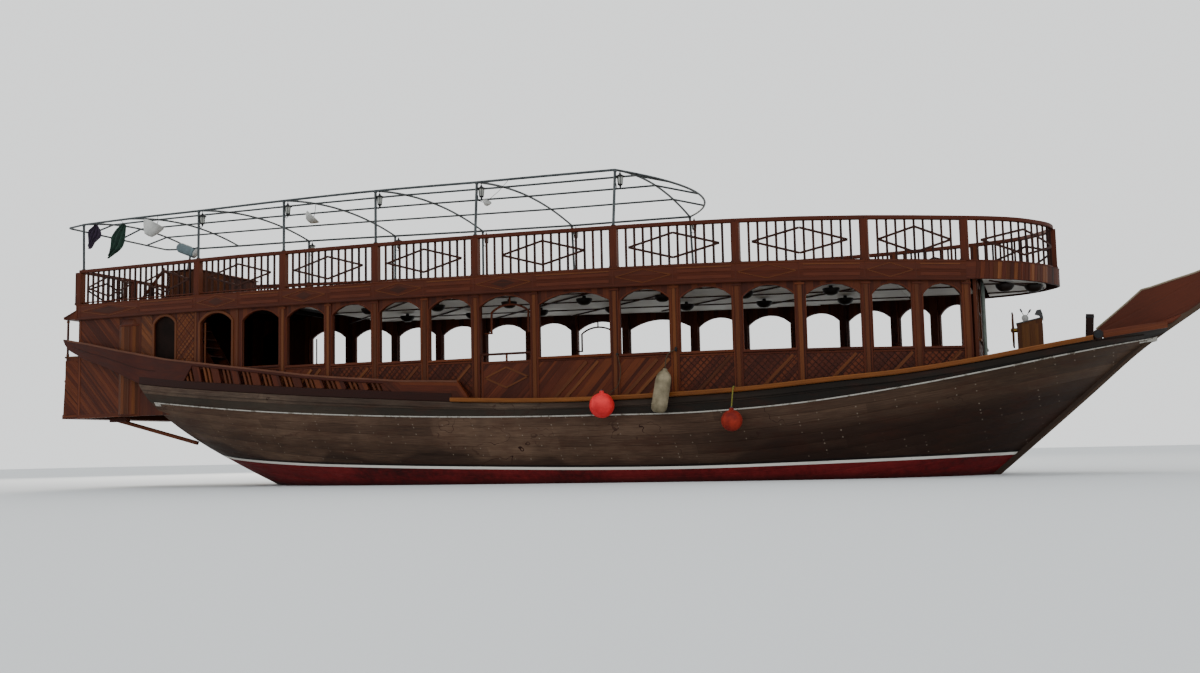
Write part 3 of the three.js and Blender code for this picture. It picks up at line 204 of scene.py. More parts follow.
def fair(x, knots, values):
    """Cubic through the knots: Hermite form, with each knot's slope from its neighbours."""
    slope = np.gradient(values, knots)
    i = np.clip(np.searchsorted(knots, x) - 1, 0, len(knots) - 2)
    step = knots[i + 1] - knots[i]
    t = np.clip((x - knots[i]) / step, 0, 1)
    rise = (1 + 2 * t) * (1 - t) ** 2 * values[i] + t**2 * (3 - 2 * t) * values[i + 1]
    return rise + step * (t * (1 - t) ** 2 * slope[i] - t**2 * (1 - t) * slope[i + 1])


def station(x, column):
    """A column of the hull's table at x."""
    return fair(np.asarray(x, float), STATIONS[:, 0], STATIONS[:, column])


HALF, SHEER, RABBET = 1, 2, 3


def deck_top(x):
    """Height of the upper deck's planking."""
    return 4.873 - 0.0233 * x - 2.8e-4 * x * x


def sill_top(x):
    """Height of the window sills."""
    return 2.919 - 0.0156 * x + 3.9e-4 * x * x


def canopy_edge(x):
    """Height of the awning frame's edge tubes."""
    return 7.168 - 0.0327 * x - 9.5e-4 * x * x + 0.055 * np.maximum(0, 1 + np.asarray(x) / 3.55)


def deck_half(x):
    """Half-breadth of the upper deck, straight between the rows as its frames are sawn."""
    return np.interp(x, DECK[:, 0], DECK[:, 1])


print("beam at the sheer", round(2 * station(1.0, HALF), 3), "m")

# %% [markdown]
# ## From arrays to a mesh
# Every new shape is a grid of points worked out at once. A part holds its points, its faces in rows
# of equal length, and a UV for each corner of each face. Parts are put together into one piece,
# which then rides on a body of the frame.


# %% Mesh helpers
def grid(points, across=None, along=None, caps=True, finish=0):
    """Faces over points[i, j]. The last j joins the first; caps close the first and last i.

    UV is (along[i], across[j]); both default to the distances between the points.
    """
    n, k = points.shape[:2]
    if along is None:
        steps = np.linalg.norm(np.diff(points.mean(1), axis=0), axis=1)
        along = np.concatenate([[0], np.cumsum(steps)])
    if across is None:
        ring = np.concatenate([points[n // 2], points[n // 2, :1]])
        across = np.concatenate([[0], np.cumsum(np.linalg.norm(np.diff(ring, axis=0), axis=1))])
    i, j = (a.ravel() for a in np.meshgrid(np.arange(n - 1), np.arange(k), indexing="ij"))
    rows = [i, i + 1, i + 1, i]
    cols = [j, j, j + 1, j + 1]
    quads = np.stack([r * k + c % k for r, c in zip(rows, cols)], 1)
    uvs = np.stack([np.stack([along[r], across[c]], -1) for r, c in zip(rows, cols)], 1)
    faces, corner_uvs = [quads], [uvs]
    if caps:
        low, high = np.arange(k)[None, :], (n - 1) * k + np.arange(k)[None, ::-1]
        faces += [low, high]
        spread = points - points.mean(1, keepdims=True)
        for ring, order in ((0, slice(None)), (n - 1, slice(None, None, -1))):
            flat = spread[ring][order]
            corner_uvs.append(np.stack([flat[:, 2], np.hypot(flat[:, 0], flat[:, 1])], -1)[None])
    return {"co": points.reshape(-1, 3), "faces": faces, "uv": corner_uvs, "finish": finish}


def outward(part):
    """Turns a closed part's faces out: the sum of its signed volumes has to be above 0."""
    co = part["co"]
    volume = 0.0
    for f in part["faces"]:
        for a in range(1, f.shape[1] - 1):
            volume += np.einsum("ij,ij->", co[f[:, 0]], np.cross(co[f[:, a]], co[f[:, a + 1]]))
    if volume < 0:
        part["faces"] = [f[:, ::-1] for f in part["faces"]]
        part["uv"] = [u[:, ::-1] for u in part["uv"]]
    return part


def mirrored(part):
    """The same part on the other side of the centre line."""
    return {
        "co": part["co"] * (1, -1, 1),
        "faces": [f[:, ::-1] for f in part["faces"]],
        "uv": [u[:, ::-1] for u in part["uv"]],
        "finish": part["finish"],
    }


def piece(name, parts, finishes, body="boat", replaces=(), sharp=40.0):
    """One mesh object from parts, smooth where its faces meet at less than sharp degrees."""
    co = np.concatenate([p["co"] for p in parts])
    faces, uvs, finish, start = [], [], [], 0
    for part in parts:
        for f, u in zip(part["faces"], part["uv"]):
            faces += (f + start).tolist()
            uvs.append(u.reshape(-1, 2))
            same = np.isscalar(part["finish"])
            finish += [part["finish"]] * len(f) if same else list(part["finish"][: len(f)])
        start += len(part["co"])
    mesh = bpy.data.meshes.new(name)
    mesh.from_pydata(co.astype(float).tolist(), [], faces)
    mesh.uv_layers.new(name="plank").data.foreach_set("uv",
        np.concatenate(uvs).astype(np.float32).ravel())
    for one in finishes if isinstance(finishes, (list, tuple)) else [finishes]:
        mesh.materials.append(one)
    mesh.polygons.foreach_set("material_index", np.array(finish, np.int32))
    mesh.shade_smooth()
    mesh.set_sharp_from_angle(angle=math.radians(sharp))
    made = bpy.data.objects.new(name, mesh)
    bpy.context.scene.collection.objects.link(made)
    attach(made, body)
    if replaces:
        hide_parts(*replaces)
    print(f"{name}: {len(co)} points, {len(faces)} faces")
    return made


def pair(name, parts, finishes, replaces=(), body="boat"):
    """A piece to starboard and its mirror image to port; {} in a name stands for the side."""
    made = []
    for side, turn in (("stbd", lambda part: part), ("port", mirrored)):
        nodes = [node.format(side) for node in replaces]
        turned_parts = [turn(part) for part in parts]
        made.append(piece(name.format(side), turned_parts, finishes, body.format(side),
            nodes))
    return made


UP = np.array([0.0, 0.0, 1.0])


def unit(v):
    """Vectors of length 1."""
    return v / np.maximum(np.linalg.norm(v, axis=-1, keepdims=True), 1e-9)


def sweep(path, profile, side=None, up=UP, finish=0, across=None, along=None):
    """A profile of (out, up) carried along a path: point = path + out * side + up * up."""
    path, profile = np.asarray(path, float), np.asarray(profile, float)
    if side is None:
        side = unit(np.cross(unit(np.gradient(path, axis=0)), up))
    side, up = np.broadcast_to(side, path.shape), np.broadcast_to(up, path.shape)
    sideways = profile[None, :, :1] * side[:, None]
    points = path[:, None] + sideways + profile[None, :, 1:] * up[:, None]
    return outward(grid(points, across=across, along=along, finish=finish))


def tube(path, radius, sides=10, finish=0):
    """A round tube: a circle of the radius carried along the path without twist."""
    path = np.asarray(path, float)
    ahead = unit(np.gradient(path, axis=0))
    first = np.cross(ahead[0], UP if abs(ahead[0, 2]) < 0.9 else (1.0, 0, 0))
    across = [unit(first)]
    for t in ahead[1:]:
        across.append(unit(across[-1] - t * (across[-1] @ t)))
    across = np.array(across)
    over = np.cross(ahead, across)
    angle = np.arange(sides) * 2 * np.pi / sides
    reach = np.broadcast_to(np.asarray(radius, float), (len(path),))[:, None, None]
    c, s = np.cos(angle)[None, :, None], np.sin(angle)[None, :, None]
    ring = c * across[:, None] + s * over[:, None]
    return outward(grid(path[:, None] + reach * ring, finish=finish))


def rounded(wide, tall, corner):
    """Outline of a rectangle with cut corners, centred on 0."""
    w, t, c = wide / 2, tall / 2, corner
    return np.array([(w, t - c), (w - c, t), (c - w, t), (-w, t - c), (-w, c - t), (c - w, -t),
        (w - c, -t), (w, c - t)])


def bars(a, b, wide, tall, corner=0.004, up=UP, finish=0, seed=3):
    """Many straight bars at once, each with cut corners: the outline is carried from a[i] to b[i].

    Each bar takes another stretch of the wood's grain, by an offset of its UV.
    """
    a, b = np.atleast_2d(np.asarray(a, float)), np.atleast_2d(np.asarray(b, float))
    along = unit(b - a)
    side = np.cross(along, np.broadcast_to(up, a.shape))
    side = unit(np.where(np.linalg.norm(side, axis=1, keepdims=True) < 1e-3, (0, 1.0, 0), side))
    over = np.cross(side, along)
    outline = rounded(wide, tall, corner)
    ends = np.stack([a, b], 1)[:, :, None]
    points = ends + outline[:, :1] * side[:, None, None] + outline[:, 1:] * over[:, None, None]
    n, k = len(a), len(outline)
    j = np.arange(k)
    quad = np.stack([j, k + j, k + (j + 1) % k, (j + 1) % k], 1)
    faces = (quad[None] + (np.arange(n) * 2 * k)[:, None, None]).reshape(-1, 4)
    low = j[None] + (np.arange(n) * 2 * k)[:, None]
    high = low[:, ::-1] + k
    closed = np.concatenate([outline, outline[:1]])
    run = np.concatenate([[0], np.cumsum(np.linalg.norm(np.diff(closed, axis=0), axis=1))])
    length = np.linalg.norm(b - a, axis=1)
    shift = np.random.default_rng(seed).uniform(0, 40, (n, 2))
    u = np.stack([np.zeros((n, k)), np.repeat(length[:, None], k, 1),
        np.repeat(length[:, None], k, 1), np.zeros((n, k))], -1)
    v = np.stack([run[j], run[j], run[j + 1], run[j + 1]], -1)[None].repeat(n, 0)
    uv = np.stack([u, v], -1) + shift[:, None, None]
    cap = np.broadcast_to(outline[None] + shift[:, None], (n, k, 2))
    part = {"co": points.reshape(-1, 3), "faces": [faces, low, high],
        "uv": [uv.reshape(-1, 4, 2), cap, cap[:, ::-1]], "finish": finish}
    return outward(part)


def turned(profile, centre, axis=(0, 0, 1), sides=20, finish=0):
    """A turned shape: rings of radius r at height h along the axis, closed at both ends."""
    profile = np.asarray(profile, float)
    axis = unit(np.asarray(axis, float))
    first = unit(np.cross(axis, (1.0, 0, 0) if abs(axis[0]) < 0.9 else (0, 1.0, 0)))
    second = np.cross(axis, first)
    angle = np.arange(sides) * 2 * np.pi / sides
    ring = np.cos(angle)[:, None] * first + np.sin(angle)[:, None] * second
    radius, height = profile[:, 0][:, None, None], profile[:, 1][:, None, None]
    points = np.asarray(centre, float) + height * axis + radius * ring[None]
    return outward(grid(points, finish=finish))


# %% [markdown]
# ## Timber
# Nearly all of this boat is oiled or varnished teak. Real planks show three things: fine grain that
# runs along the plank, a change of tone from plank to plank, and broad patches of weather. One
# recipe gives all three from the piece's UV, with u along the plank and v across it, in metres.


# %% Timber finishes
WEATHER_BROWN = "#1e0f08"


def timber(name, dark, mid, light, roughness=0.55, board=0.14, weathered=0.35, source="plank",
    turn=(0, 0, 0)):
    """Planks: grain is noise stretched along u, and floor(v / board) gives a board its tone."""
    material, tree, surface = new_material(name, roughness, shader={SPECULAR: 0.12})
    if source == "Object":
        place = add(tree, "TexCoord", out="Object")
    else:
        place = add(tree, "UVMap", uv_map=source)
    if any(turn):
        place = add(tree, "Mapping", {"Vector": place, "Rotation": turn})
    across = add(tree, "VectorMath", place, (0, 1 / board, 1 / board), operation="MULTIPLY")
    floor_of = add(tree, "VectorMath", across, operation="FLOOR")
    tone = add(tree, "TexWhiteNoise", {"Vector": floor_of}, out="Value", noise_dimensions="3D")
    fine = add(tree, "TexNoise", {"Vector": add(tree, "VectorMath", place, (2.2, 60, 60),
        operation="MULTIPLY"), "Scale": 1.0, "Detail": 4.0, "Roughness": 0.6})
    broad = add(tree, "TexNoise", {"Vector": add(tree, "VectorMath", place, (0.5, 1.3, 1.3),
        operation="MULTIPLY"), "Scale": 1.0, "Detail": 4.0, "Roughness": 0.65})
    mixed = add(tree, "Math", tone, 0.45, add(tree, "Math", fine, 0.62, operation="MULTIPLY"),
        operation="MULTIPLY_ADD")
    colour = add(tree, "ValToRGB", mixed, stops=[(0.18, dark), (0.5, mid), (0.85, light)])
    stain = add(tree, "Math", add(tree, "ValToRGB", broad,
        stops=[(0.45, "#000000"), (0.72, "#ffffff")]), weathered, operation="MULTIPLY")
    colour = add(tree, "Mix", {FACTOR: stain, COLOUR_A: colour, COLOUR_B: linear(WEATHER_BROWN)},
        out=COLOUR_OUT, data_type="RGBA")
    tree.links.new(colour, surface.inputs["Base Color"])
    seam = add(tree, "Math", add(tree, "SeparateXYZ", across, out="Y"), operation="FRACT")
    edge = add(tree, "Math", seam, add(tree, "Math", 1.0, seam, operation="SUBTRACT"), 0.02,
        operation="SMOOTH_MIN")
    groove = add(tree, "Math", edge, 12.0, operation="MULTIPLY", use_clamp=True)
    height = add(tree, "Math", fine, 0.25, add(tree, "Math", groove, 0.75, operation="MULTIPLY"),
        operation="MULTIPLY_ADD")
    tree.links.new(add(tree, "Bump", {"Height": height, "Distance": 0.004}),
        surface.inputs["Normal"])
    dulled = add(tree, "Math", fine, 0.25, roughness - 0.12, operation="MULTIPLY_ADD")
    tree.links.new(dulled, surface.inputs["Roughness"])
    return material


teak = timber("varnished_teak", "#240c06", "#461c0d", "#5f2e14")
teak_upright = timber("varnished_teak_upright", "#230b05", "#411a0d", "#582a11", source="Object",
    turn=(0, math.radians(90), 0))
teak_level = timber("varnished_teak_level", "#240c06", "#461c0d", "#5f2e14", source="Object")
dark_teak = timber("dark_teak", "#110604", "#260f08", "#3a1b0d", roughness=0.6)
dark_level = timber("dark_teak_level", "#0c0503", "#1b0b06", "#2a140a", roughness=0.8,
    source="Object")
dark_level.node_tree.nodes["Principled BSDF"].inputs[SPECULAR].default_value = 0.0
oiled_teak = timber("oiled_teak_rail", "#48220b", "#673914", "#7f5020", roughness=0.42, board=0.24)
deck_teak = timber("scrubbed_deck_teak", "#493922", "#5e4c2f", "#71603d", roughness=0.75,
    board=0.12, source="Object")

# %% [markdown]
# ## Hull planking
# A dhow's hull is carvel planked: boards edge to edge, with a caulked seam between them. The
# strakes run along the white line under the sheer. Each row of points is one line along the hull:
# three rows for a strake's face, with a low crown, and one in the seam, set in by a few
# millimetres.

# %% Hull surface
TRANSOM_TOP, TRANSOM_LOW = (-13.93, 2.8), (-11.91, -0.2)
RAKE = (TRANSOM_TOP[0] - TRANSOM_LOW[0]) / (TRANSOM_TOP[1] - TRANSOM_LOW[1])
STEM_HEAD = 11.7
RABBET_HALF = 0.115
BULWARK, DECK_DROP = 0.14, 0.2
WHITE_LINE = np.array([[-14.5, 2.40], [-13.37, 2.28], [-10.09, 1.95], [-7.56, 1.77], [-3.36, 1.58],
    [-0.34, 1.53], [1.99, 1.53], [4.18, 1.66], [6.24, 1.93], [8.25, 2.29], [9.46, 2.54],
    [11.31, 2.92], [11.7, 3.0]])
BOOT_TOP = np.array([[-14.5, 1.05], [-11.33, 0.75], [-8.8, 0.59], [-5.79, 0.48], [-3.06, 0.41],
    [-0.54, 0.36], [1.83, 0.35], [4.05, 0.39], [5.31, 0.42], [11.7, 0.6]])
STRAKE, STRAKES_BELOW = 0.235, 12
SEAM_IN, CROWN = 0.006, 0.003
FACE_STEPS = np.array([0.0, 0.03, 0.5, 0.97])
FACE_OFFSETS = np.array([-SEAM_IN, 0.0, CROWN, 0.0])


def white_line(x):
    """Height of the painted line under the sheer."""
    return fair(x, WHITE_LINE[:, 0], WHITE_LINE[:, 1])


def boot_top(x):
    """Height of the top of the boot stripe."""
    return fair(x, BOOT_TOP[:, 0], BOOT_TOP[:, 1])


def line_depth(x, strake):
    """Depth below the sheer of a line at strake, counted down.

    Two strakes lie above the white line. Below it all have one width, narrower to the ends.
    """
    white = station(x, SHEER) - white_line(x)
    width = STRAKE * (1 - 0.25 * np.clip(np.abs(x + 1) / 12, 0, 1) ** 2)
    return np.where(strake <= 2, white * strake / 2, white + (strake - 2) * width)


def hull_side(x, z):
    """Half-breadth at height z, with s = (z - rabbet) / (sheer - rabbet).

    It is the rabbet's half-breadth plus the rest times (1 - (1 - s) ** m) ** (1 / n).
    """
    low, high = station(x, RABBET), station(x, SHEER)
    s = np.clip((z - low) / (high - low), 0, 1)
    bulge = (1 - (1 - s) ** station(x, 4)) ** (1 / station(x, 5))
    return RABBET_HALF + (station(x, HALF) - RABBET_HALF) * bulge


def from_transom(height, columns):
    """x of each row's points, from the transom to the stem head.

    The transom is x = low x + rake * (z - low z), so the start of a row is found by putting its
    height back into that, a few times.
    """
    x = np.full(columns.shape[0], -12.5)
    for _ in range(30):
        x = TRANSOM_LOW[0] + RAKE * (height(x) - TRANSOM_LOW[1])
    return x[:, None] + columns * (STEM_HEAD - x[:, None])


COLUMNS = 140
strakes = np.concatenate([k + FACE_STEPS for k in range(2 + STRAKES_BELOW)] + [[2 + STRAKES_BELOW]])
offsets = np.tile(FACE_OFFSETS, 2 + STRAKES_BELOW)
offsets = np.append(offsets, 0.0)
offsets[0] = 0.0
u_columns = np.tile(np.linspace(0, 1, COLUMNS), (len(strakes), 1))


def row_height(x, k=strakes):
    """Height of the hull's rows, never below the rabbet."""
    return np.maximum(station(x, SHEER) - line_depth(x, k), station(x, RABBET))


hull_x = from_transom(row_height, u_columns)
hull_z = row_height(hull_x, strakes[:, None])
hull_y = hull_side(hull_x, hull_z) + np.where(hull_z > station(hull_x, RABBET) + 0.01,
    offsets[:, None], 0)
side_rows = np.stack([hull_x, -hull_y, hull_z], -1)[::-1]


def inner_row(inset, drop):
    """One row inboard of the sheer: inset from it and drop below it, or a third of the height."""
    level = lambda a: station(a, SHEER) - np.minimum(drop,
        (station(a, SHEER) - station(a, RABBET)) / 3)
    x = from_transom(level, u_columns[:1])
    half = hull_side(x, level(x))
    return np.stack([x, -(half - np.minimum(inset, half / 2)), level(x)], -1)


deck_row = inner_row(BULWARK, DECK_DROP)
middle = deck_row * (1, 0, 1)
half_rows = np.concatenate([side_rows, inner_row(BULWARK, 0.0), deck_row])
loop = np.concatenate([half_rows, middle, half_rows[::-1] * (1, -1, 1)])
rows_in_side = len(side_rows)
strake_uv = np.concatenate([strakes[::-1], [-0.6, -1.4]])
strake_uv = np.concatenate([strake_uv, [-14.0], strake_uv[::-1], [2 + STRAKES_BELOW]])
hull_part = grid(np.swapaxes(loop, 0, 1), across=strake_uv, along=np.linspace(6.1, 31.7, COLUMNS))
face_row = np.tile(np.arange(len(loop)), COLUMNS - 1)
on_deck = (face_row >= rows_in_side) & (face_row <= len(loop) - rows_in_side - 2)
hull_part["finish"] = np.concatenate([on_deck.astype(int), [0]])
hull_part = outward(hull_part)

# %% Hull finish
PLANK_RUN, NAIL_PITCH, NAIL_PLUG = 5.2, 0.41, 0.015


def hull_finish():
    """Planks of their own tone with streaks, greyer over the white line, red under the boot stripe.

    UV is (x + 20, strake); above_boot and above_white are heights over the two painted lines.
    On the forward hull, painted shade darkens the planks further below the white line.
    """
    material, tree, surface = new_material("weathered_hull_planks", 0.75, shader={SPECULAR: 0.12})
    place = add(tree, "UVMap", uv_map="plank")
    solid = add(tree, "TexCoord", out="Object")
    run, strake = (add(tree, "SeparateXYZ", place, out=axis) for axis in "XY")
    row = add(tree, "Math", strake, operation="FLOOR")
    butt = add(tree, "Math", run, 1 / PLANK_RUN, add(tree, "Math", row, 0.37, operation="MULTIPLY"),
        operation="MULTIPLY_ADD")
    own = add(tree, "CombineXYZ", {0: add(tree, "Math", butt, operation="FLOOR"), 1: row})
    tone = add(tree, "TexWhiteNoise", {"Vector": own}, out="Value", noise_dimensions="3D")
    fine = add(tree, "TexNoise", {"Vector": add(tree, "VectorMath", place, (2.0, 13.0, 0),
        operation="MULTIPLY"), "Scale": 1.0, "Detail": 5.0, "Roughness": 0.62})
    broad = add(tree, "TexNoise", {"Vector": add(tree, "VectorMath", solid, (0.5, 0.5, 1.3),
        operation="MULTIPLY"), "Scale": 1.0, "Detail": 5.0, "Roughness": 0.6})
    runs = add(tree, "TexNoise", {"Vector": add(tree, "VectorMath", solid, (1.8, 1.8, 0.6),
        operation="MULTIPLY"), "Scale": 1.0, "Detail": 4.0, "Roughness": 0.6})
    mixed = add(tree, "Math", tone, 0.12, add(tree, "Math", fine, 0.46, operation="MULTIPLY"),
        operation="MULTIPLY_ADD")
    mixed = add(tree, "Math", broad, 0.46, mixed, operation="MULTIPLY_ADD")
    brown = add(tree, "ValToRGB", mixed, stops=[(0.3, "#21150f"), (0.5, "#402e23"),
        (0.7, "#5e493a")])
    bare = add(tree, "ValToRGB", mixed, stops=[(0.3, "#231a14"), (0.5, "#40332a"),
        (0.7, "#625143")])
    above_white = add(tree, "Attribute", out="Fac", attribute_name="above_white")
    above_boot = add(tree, "Attribute", out="Fac", attribute_name="above_boot")

    def rising(start, over):
        """0 up to start along the hull, 1 from start + over."""
        return add(tree, "Math", run, 1 / over, -start / over, operation="MULTIPLY_ADD",
            use_clamp=True)

    def stain(colour, mask, strength, overlay_tone):
        """The overlay tone on the colour where the mask is up: dyes, and painted shade too."""
        return add(tree, "Mix", {FACTOR: add(tree, "Math", mask, strength, operation="MULTIPLY"),
            COLOUR_A: colour, COLOUR_B: linear(overlay_tone)}, out=COLOUR_OUT, data_type="RGBA")

    forward = rising(22.5, 9.0)
    # Painted shade and real dark patches: the forward hull darkens further below the white line.
    below = add(tree, "Math", broad, 1.6, add(tree, "Math", above_white, -1.8,
        add(tree, "Math", forward, -0.7, -0.9, operation="MULTIPLY_ADD"), operation="MULTIPLY_ADD"),
        operation="MULTIPLY_ADD", use_clamp=True)
    forward_shade_and_stain = add(tree, "Math", rising(19.5, 4.0), below, operation="MULTIPLY")
    colour = stain(stain(brown, forward, 0.3, "#2b2417"), forward_shade_and_stain, 0.8, "#1a0b06")
    second = add(tree, "Math", strake, 1.0, operation="GREATER_THAN")
    bare = stain(stain(bare, second, 0.75, "#1a1813"), rising(17.0, 7.0), 0.85, "#0c0a08")
    colour = add(tree, "Mix", {FACTOR: add(tree, "Math", above_white, 0.0,
        operation="GREATER_THAN"), COLOUR_A: colour, COLOUR_B: bare}, out=COLOUR_OUT,
        data_type="RGBA")
    splash = add(tree, "TexNoise", {"Vector": add(tree, "VectorMath", place, (0.24, 0, 0),
        operation="MULTIPLY"), "Scale": 1.0, "Detail": 3.0, "Roughness": 0.55})
    edge = add(tree, "Math", splash, 2.4, -0.95, operation="MULTIPLY_ADD")
    wet = add(tree, "Math", add(tree, "Math", edge, above_boot, operation="SUBTRACT"), 9.0,
        operation="MULTIPLY", use_clamp=True)
    colour = stain(colour, wet, 0.62, "#1b0f0a")
    dark_runs = add(tree, "ValToRGB", runs, stops=[(0.52, "#000000"), (0.72, "#707070")])
    colour = add(tree, "Mix", {FACTOR: dark_runs, COLOUR_A: colour, COLOUR_B: linear("#180e09")},
        out=COLOUR_OUT, data_type="RGBA")
    rust = add(tree, "ValToRGB", add(tree, "TexNoise",
        {"Vector": add(tree, "VectorMath", solid, (0.9, 0.9, 3.4), operation="MULTIPLY"),
        "Scale": 1.0, "Detail": 6.0, "Roughness": 0.7}),
        stops=[(0.5, "#000000"), (0.64, "#a0a0a0")])
    colour = add(tree, "Mix", {FACTOR: rust, COLOUR_A: colour, COLOUR_B: linear("#33170d")},
        out=COLOUR_OUT, data_type="RGBA")
    vein = add(tree, "Math", add(tree, "TexNoise", {"Vector": add(tree, "VectorMath", solid,
        (0.8, 0.8, 1.3), operation="MULTIPLY"), "Scale": 1.0, "Detail": 3.0, "Roughness": 0.6}),
        0.5, operation="SUBTRACT")
    crack = add(tree, "Math", add(tree, "Math", vein, operation="ABSOLUTE"), 0.005,
        operation="LESS_THAN")
    crack = add(tree, "Math", crack, add(tree, "Math", broad, 6.0, -3.0, operation="MULTIPLY_ADD",
        use_clamp=True), operation="MULTIPLY")
    colour = add(tree, "Mix", {FACTOR: crack, COLOUR_A: colour, COLOUR_B: linear("#230f09")},
        out=COLOUR_OUT, data_type="RGBA")
    worn = add(tree, "TexNoise", {"Vector": solid, "Scale": 7.0, "Detail": 6.0, "Roughness": 0.7})
    red = add(tree, "ValToRGB", add(tree, "Math", broad, 0.6,
        add(tree, "Math", worn, 0.4, operation="MULTIPLY"), operation="MULTIPLY_ADD"),
        stops=[(0.35, "#2e090a"), (0.5, "#571012"), (0.68, "#6f1c1d")])
    under = add(tree, "Math", add(tree, "Math", worn, 0.02, above_boot, operation="MULTIPLY_ADD"),
        -0.05, operation="LESS_THAN")
    colour = add(tree, "Mix", {FACTOR: under, COLOUR_A: colour, COLOUR_B: red}, out=COLOUR_OUT,
        data_type="RGBA")
    height = add(tree, "SeparateXYZ", solid, out="Z")
    slime = add(tree, "Math", height, -9.0, 1.3, operation="MULTIPLY_ADD", use_clamp=True)
    colour = stain(colour, slime, 0.7, "#1e0d0a")
    tar = add(tree, "Math", add(tree, "Math", add(tree, "Math", above_boot, 0.025,
        operation="SUBTRACT"), operation="ABSOLUTE"), 0.025, operation="LESS_THAN")
    colour = stain(colour, tar, 0.8, "#0b0706")
    band = add(tree, "Math", add(tree, "Math", add(tree, "Math", above_boot, 0.03, operation="ADD"),
        operation="ABSOLUTE"), 0.03, operation="LESS_THAN")
    kept = add(tree, "Math", worn, 0.7, operation="LESS_THAN")
    colour = add(tree, "Mix", {FACTOR: add(tree, "Math", band, kept, operation="MULTIPLY"),
        COLOUR_A: colour, COLOUR_B: linear("#cfccc4")}, out=COLOUR_OUT, data_type="RGBA")
    along = add(tree, "Math", add(tree, "Math", add(tree, "Math", run, NAIL_PITCH,
        operation="DIVIDE"), operation="FRACT"), 0.5, operation="SUBTRACT")
    rise = add(tree, "Math", add(tree, "Math", add(tree, "Math",
        add(tree, "Math", strake, operation="FRACT"), 0.5, operation="SUBTRACT"),
        operation="ABSOLUTE"), 0.34, operation="SUBTRACT")
    spot = add(tree, "CombineXYZ", {0: add(tree, "Math", along, NAIL_PITCH, operation="MULTIPLY"),
        1: add(tree, "Math", rise, STRAKE, operation="MULTIPLY")})
    far = add(tree, "VectorMath", spot, out="Value", operation="LENGTH")
    cell = add(tree, "CombineXYZ", {0: add(tree, "Math",
        add(tree, "Math", run, NAIL_PITCH, operation="DIVIDE"), operation="FLOOR"), 1: row})
    chance = add(tree, "TexWhiteNoise", {"Vector": cell}, out="Value", noise_dimensions="3D")
    shown = add(tree, "Math", add(tree, "Math", chance, 1.4, -0.75, operation="MULTIPLY_ADD",
        use_clamp=True), add(tree, "Math", above_boot, 0.06, operation="GREATER_THAN"),
        operation="MULTIPLY")
    nail = add(tree, "Math", add(tree, "Math", far, NAIL_PLUG, operation="LESS_THAN"), shown,
        operation="MULTIPLY")
    plug = add(tree, "Mix", {FACTOR: add(tree, "Math", above_white, 0.0, operation="GREATER_THAN"),
        COLOUR_A: linear("#85786a"), COLOUR_B: linear("#0e0806")}, out=COLOUR_OUT, data_type="RGBA")
    colour = add(tree, "Mix", {FACTOR: nail, COLOUR_A: colour, COLOUR_B: plug}, out=COLOUR_OUT,
        data_type="RGBA")
    tree.links.new(colour, surface.inputs["Base Color"])
    rough = add(tree, "Math", fine, 0.3, 0.5, operation="MULTIPLY_ADD")
    tree.links.new(rough, surface.inputs["Roughness"])
    tree.links.new(add(tree, "Bump", {"Height": add(tree, "Math", worn, 0.4,
        add(tree, "Math", fine, 0.6, operation="MULTIPLY"), operation="MULTIPLY_ADD"),
        "Distance": 0.006}), surface.inputs["Normal"])
    return material


def mark_heights(made):
    """Heights of each point over the boot stripe's top and over the white line, for the paint."""
    co = np.empty(len(made.data.vertices) * 3, np.float32)
    made.data.vertices.foreach_get("co", co)
    x, z = co.reshape(-1, 3)[:, 0], co.reshape(-1, 3)[:, 2]
    for name, line in (("above_boot", boot_top), ("above_white", white_line)):
        layer = made.data.attributes.new(name, "FLOAT", "POINT")
        layer.data.foreach_set("value", (z - line(x)).astype(np.float32))


hull_planks = hull_finish()
hull = piece("hull_planking", [hull_part], [hull_planks, deck_teak],
    replaces=["hull"], sharp=35)
mark_heights(hull)

# %% [markdown]
# ## Cap rails
# The cap rail is one long timber on the sheer, which covers the heads of the frames. Its section is
# a rectangle with eased corners, carried along the sheer.

# %% Cap rails
CAP = {"aft": -4.1, "tall": 0.1, "out": 0.1}
LOG = {"x": 10.25, "z": 2.975, "reach": 1.5, "radius": 0.105}


def cap_rail(aft, fore, tall=CAP["tall"]):
    """The cap between two values of x: it reaches out past the sheer and in past the frames."""
    x = np.linspace(aft, fore, max(8, int((fore - aft) * 6)))
    half = station(x, HALF)
    inner = np.maximum(half - BULWARK, 0.075)
    outer = half + CAP["out"]
    wide = (outer - inner)[:, None]
    outline = rounded(1.0, tall, tall / 5)
    eased = np.sign(outline[:, 0]) * np.where(np.abs(outline[:, 0]) > 0.49, 0.5, 0.5 - 0.02 / wide)
    y = -((outer + inner) / 2)[:, None] - eased * wide
    z = (station(x, SHEER) + tall / 2)[:, None] + outline[None, :, 1]
    points = np.stack([np.broadcast_to(x[:, None], y.shape), y, np.broadcast_to(z, y.shape)], -1)
    return outward(grid(points, along=x))


stbd_cap = cap_rail(CAP["aft"], LOG["x"] - LOG["radius"] - 0.0003)
bow_cap = cap_rail(LOG["x"] + LOG["radius"] + 0.0003, STEM_HEAD, 0.155)
pair("sheer_cap_{}", [stbd_cap], oiled_teak, ["cap_rail_{}"])
pair("bow_sheer_cap_{}", [bow_cap], teak, ["bow_cap_{}"])

# %% [markdown]
# ## Railings of the upper deck
# Each bay has a flat cap, a foot rail, square balusters set evenly between its posts, and a lozenge
# of thin battens laid on the balusters.

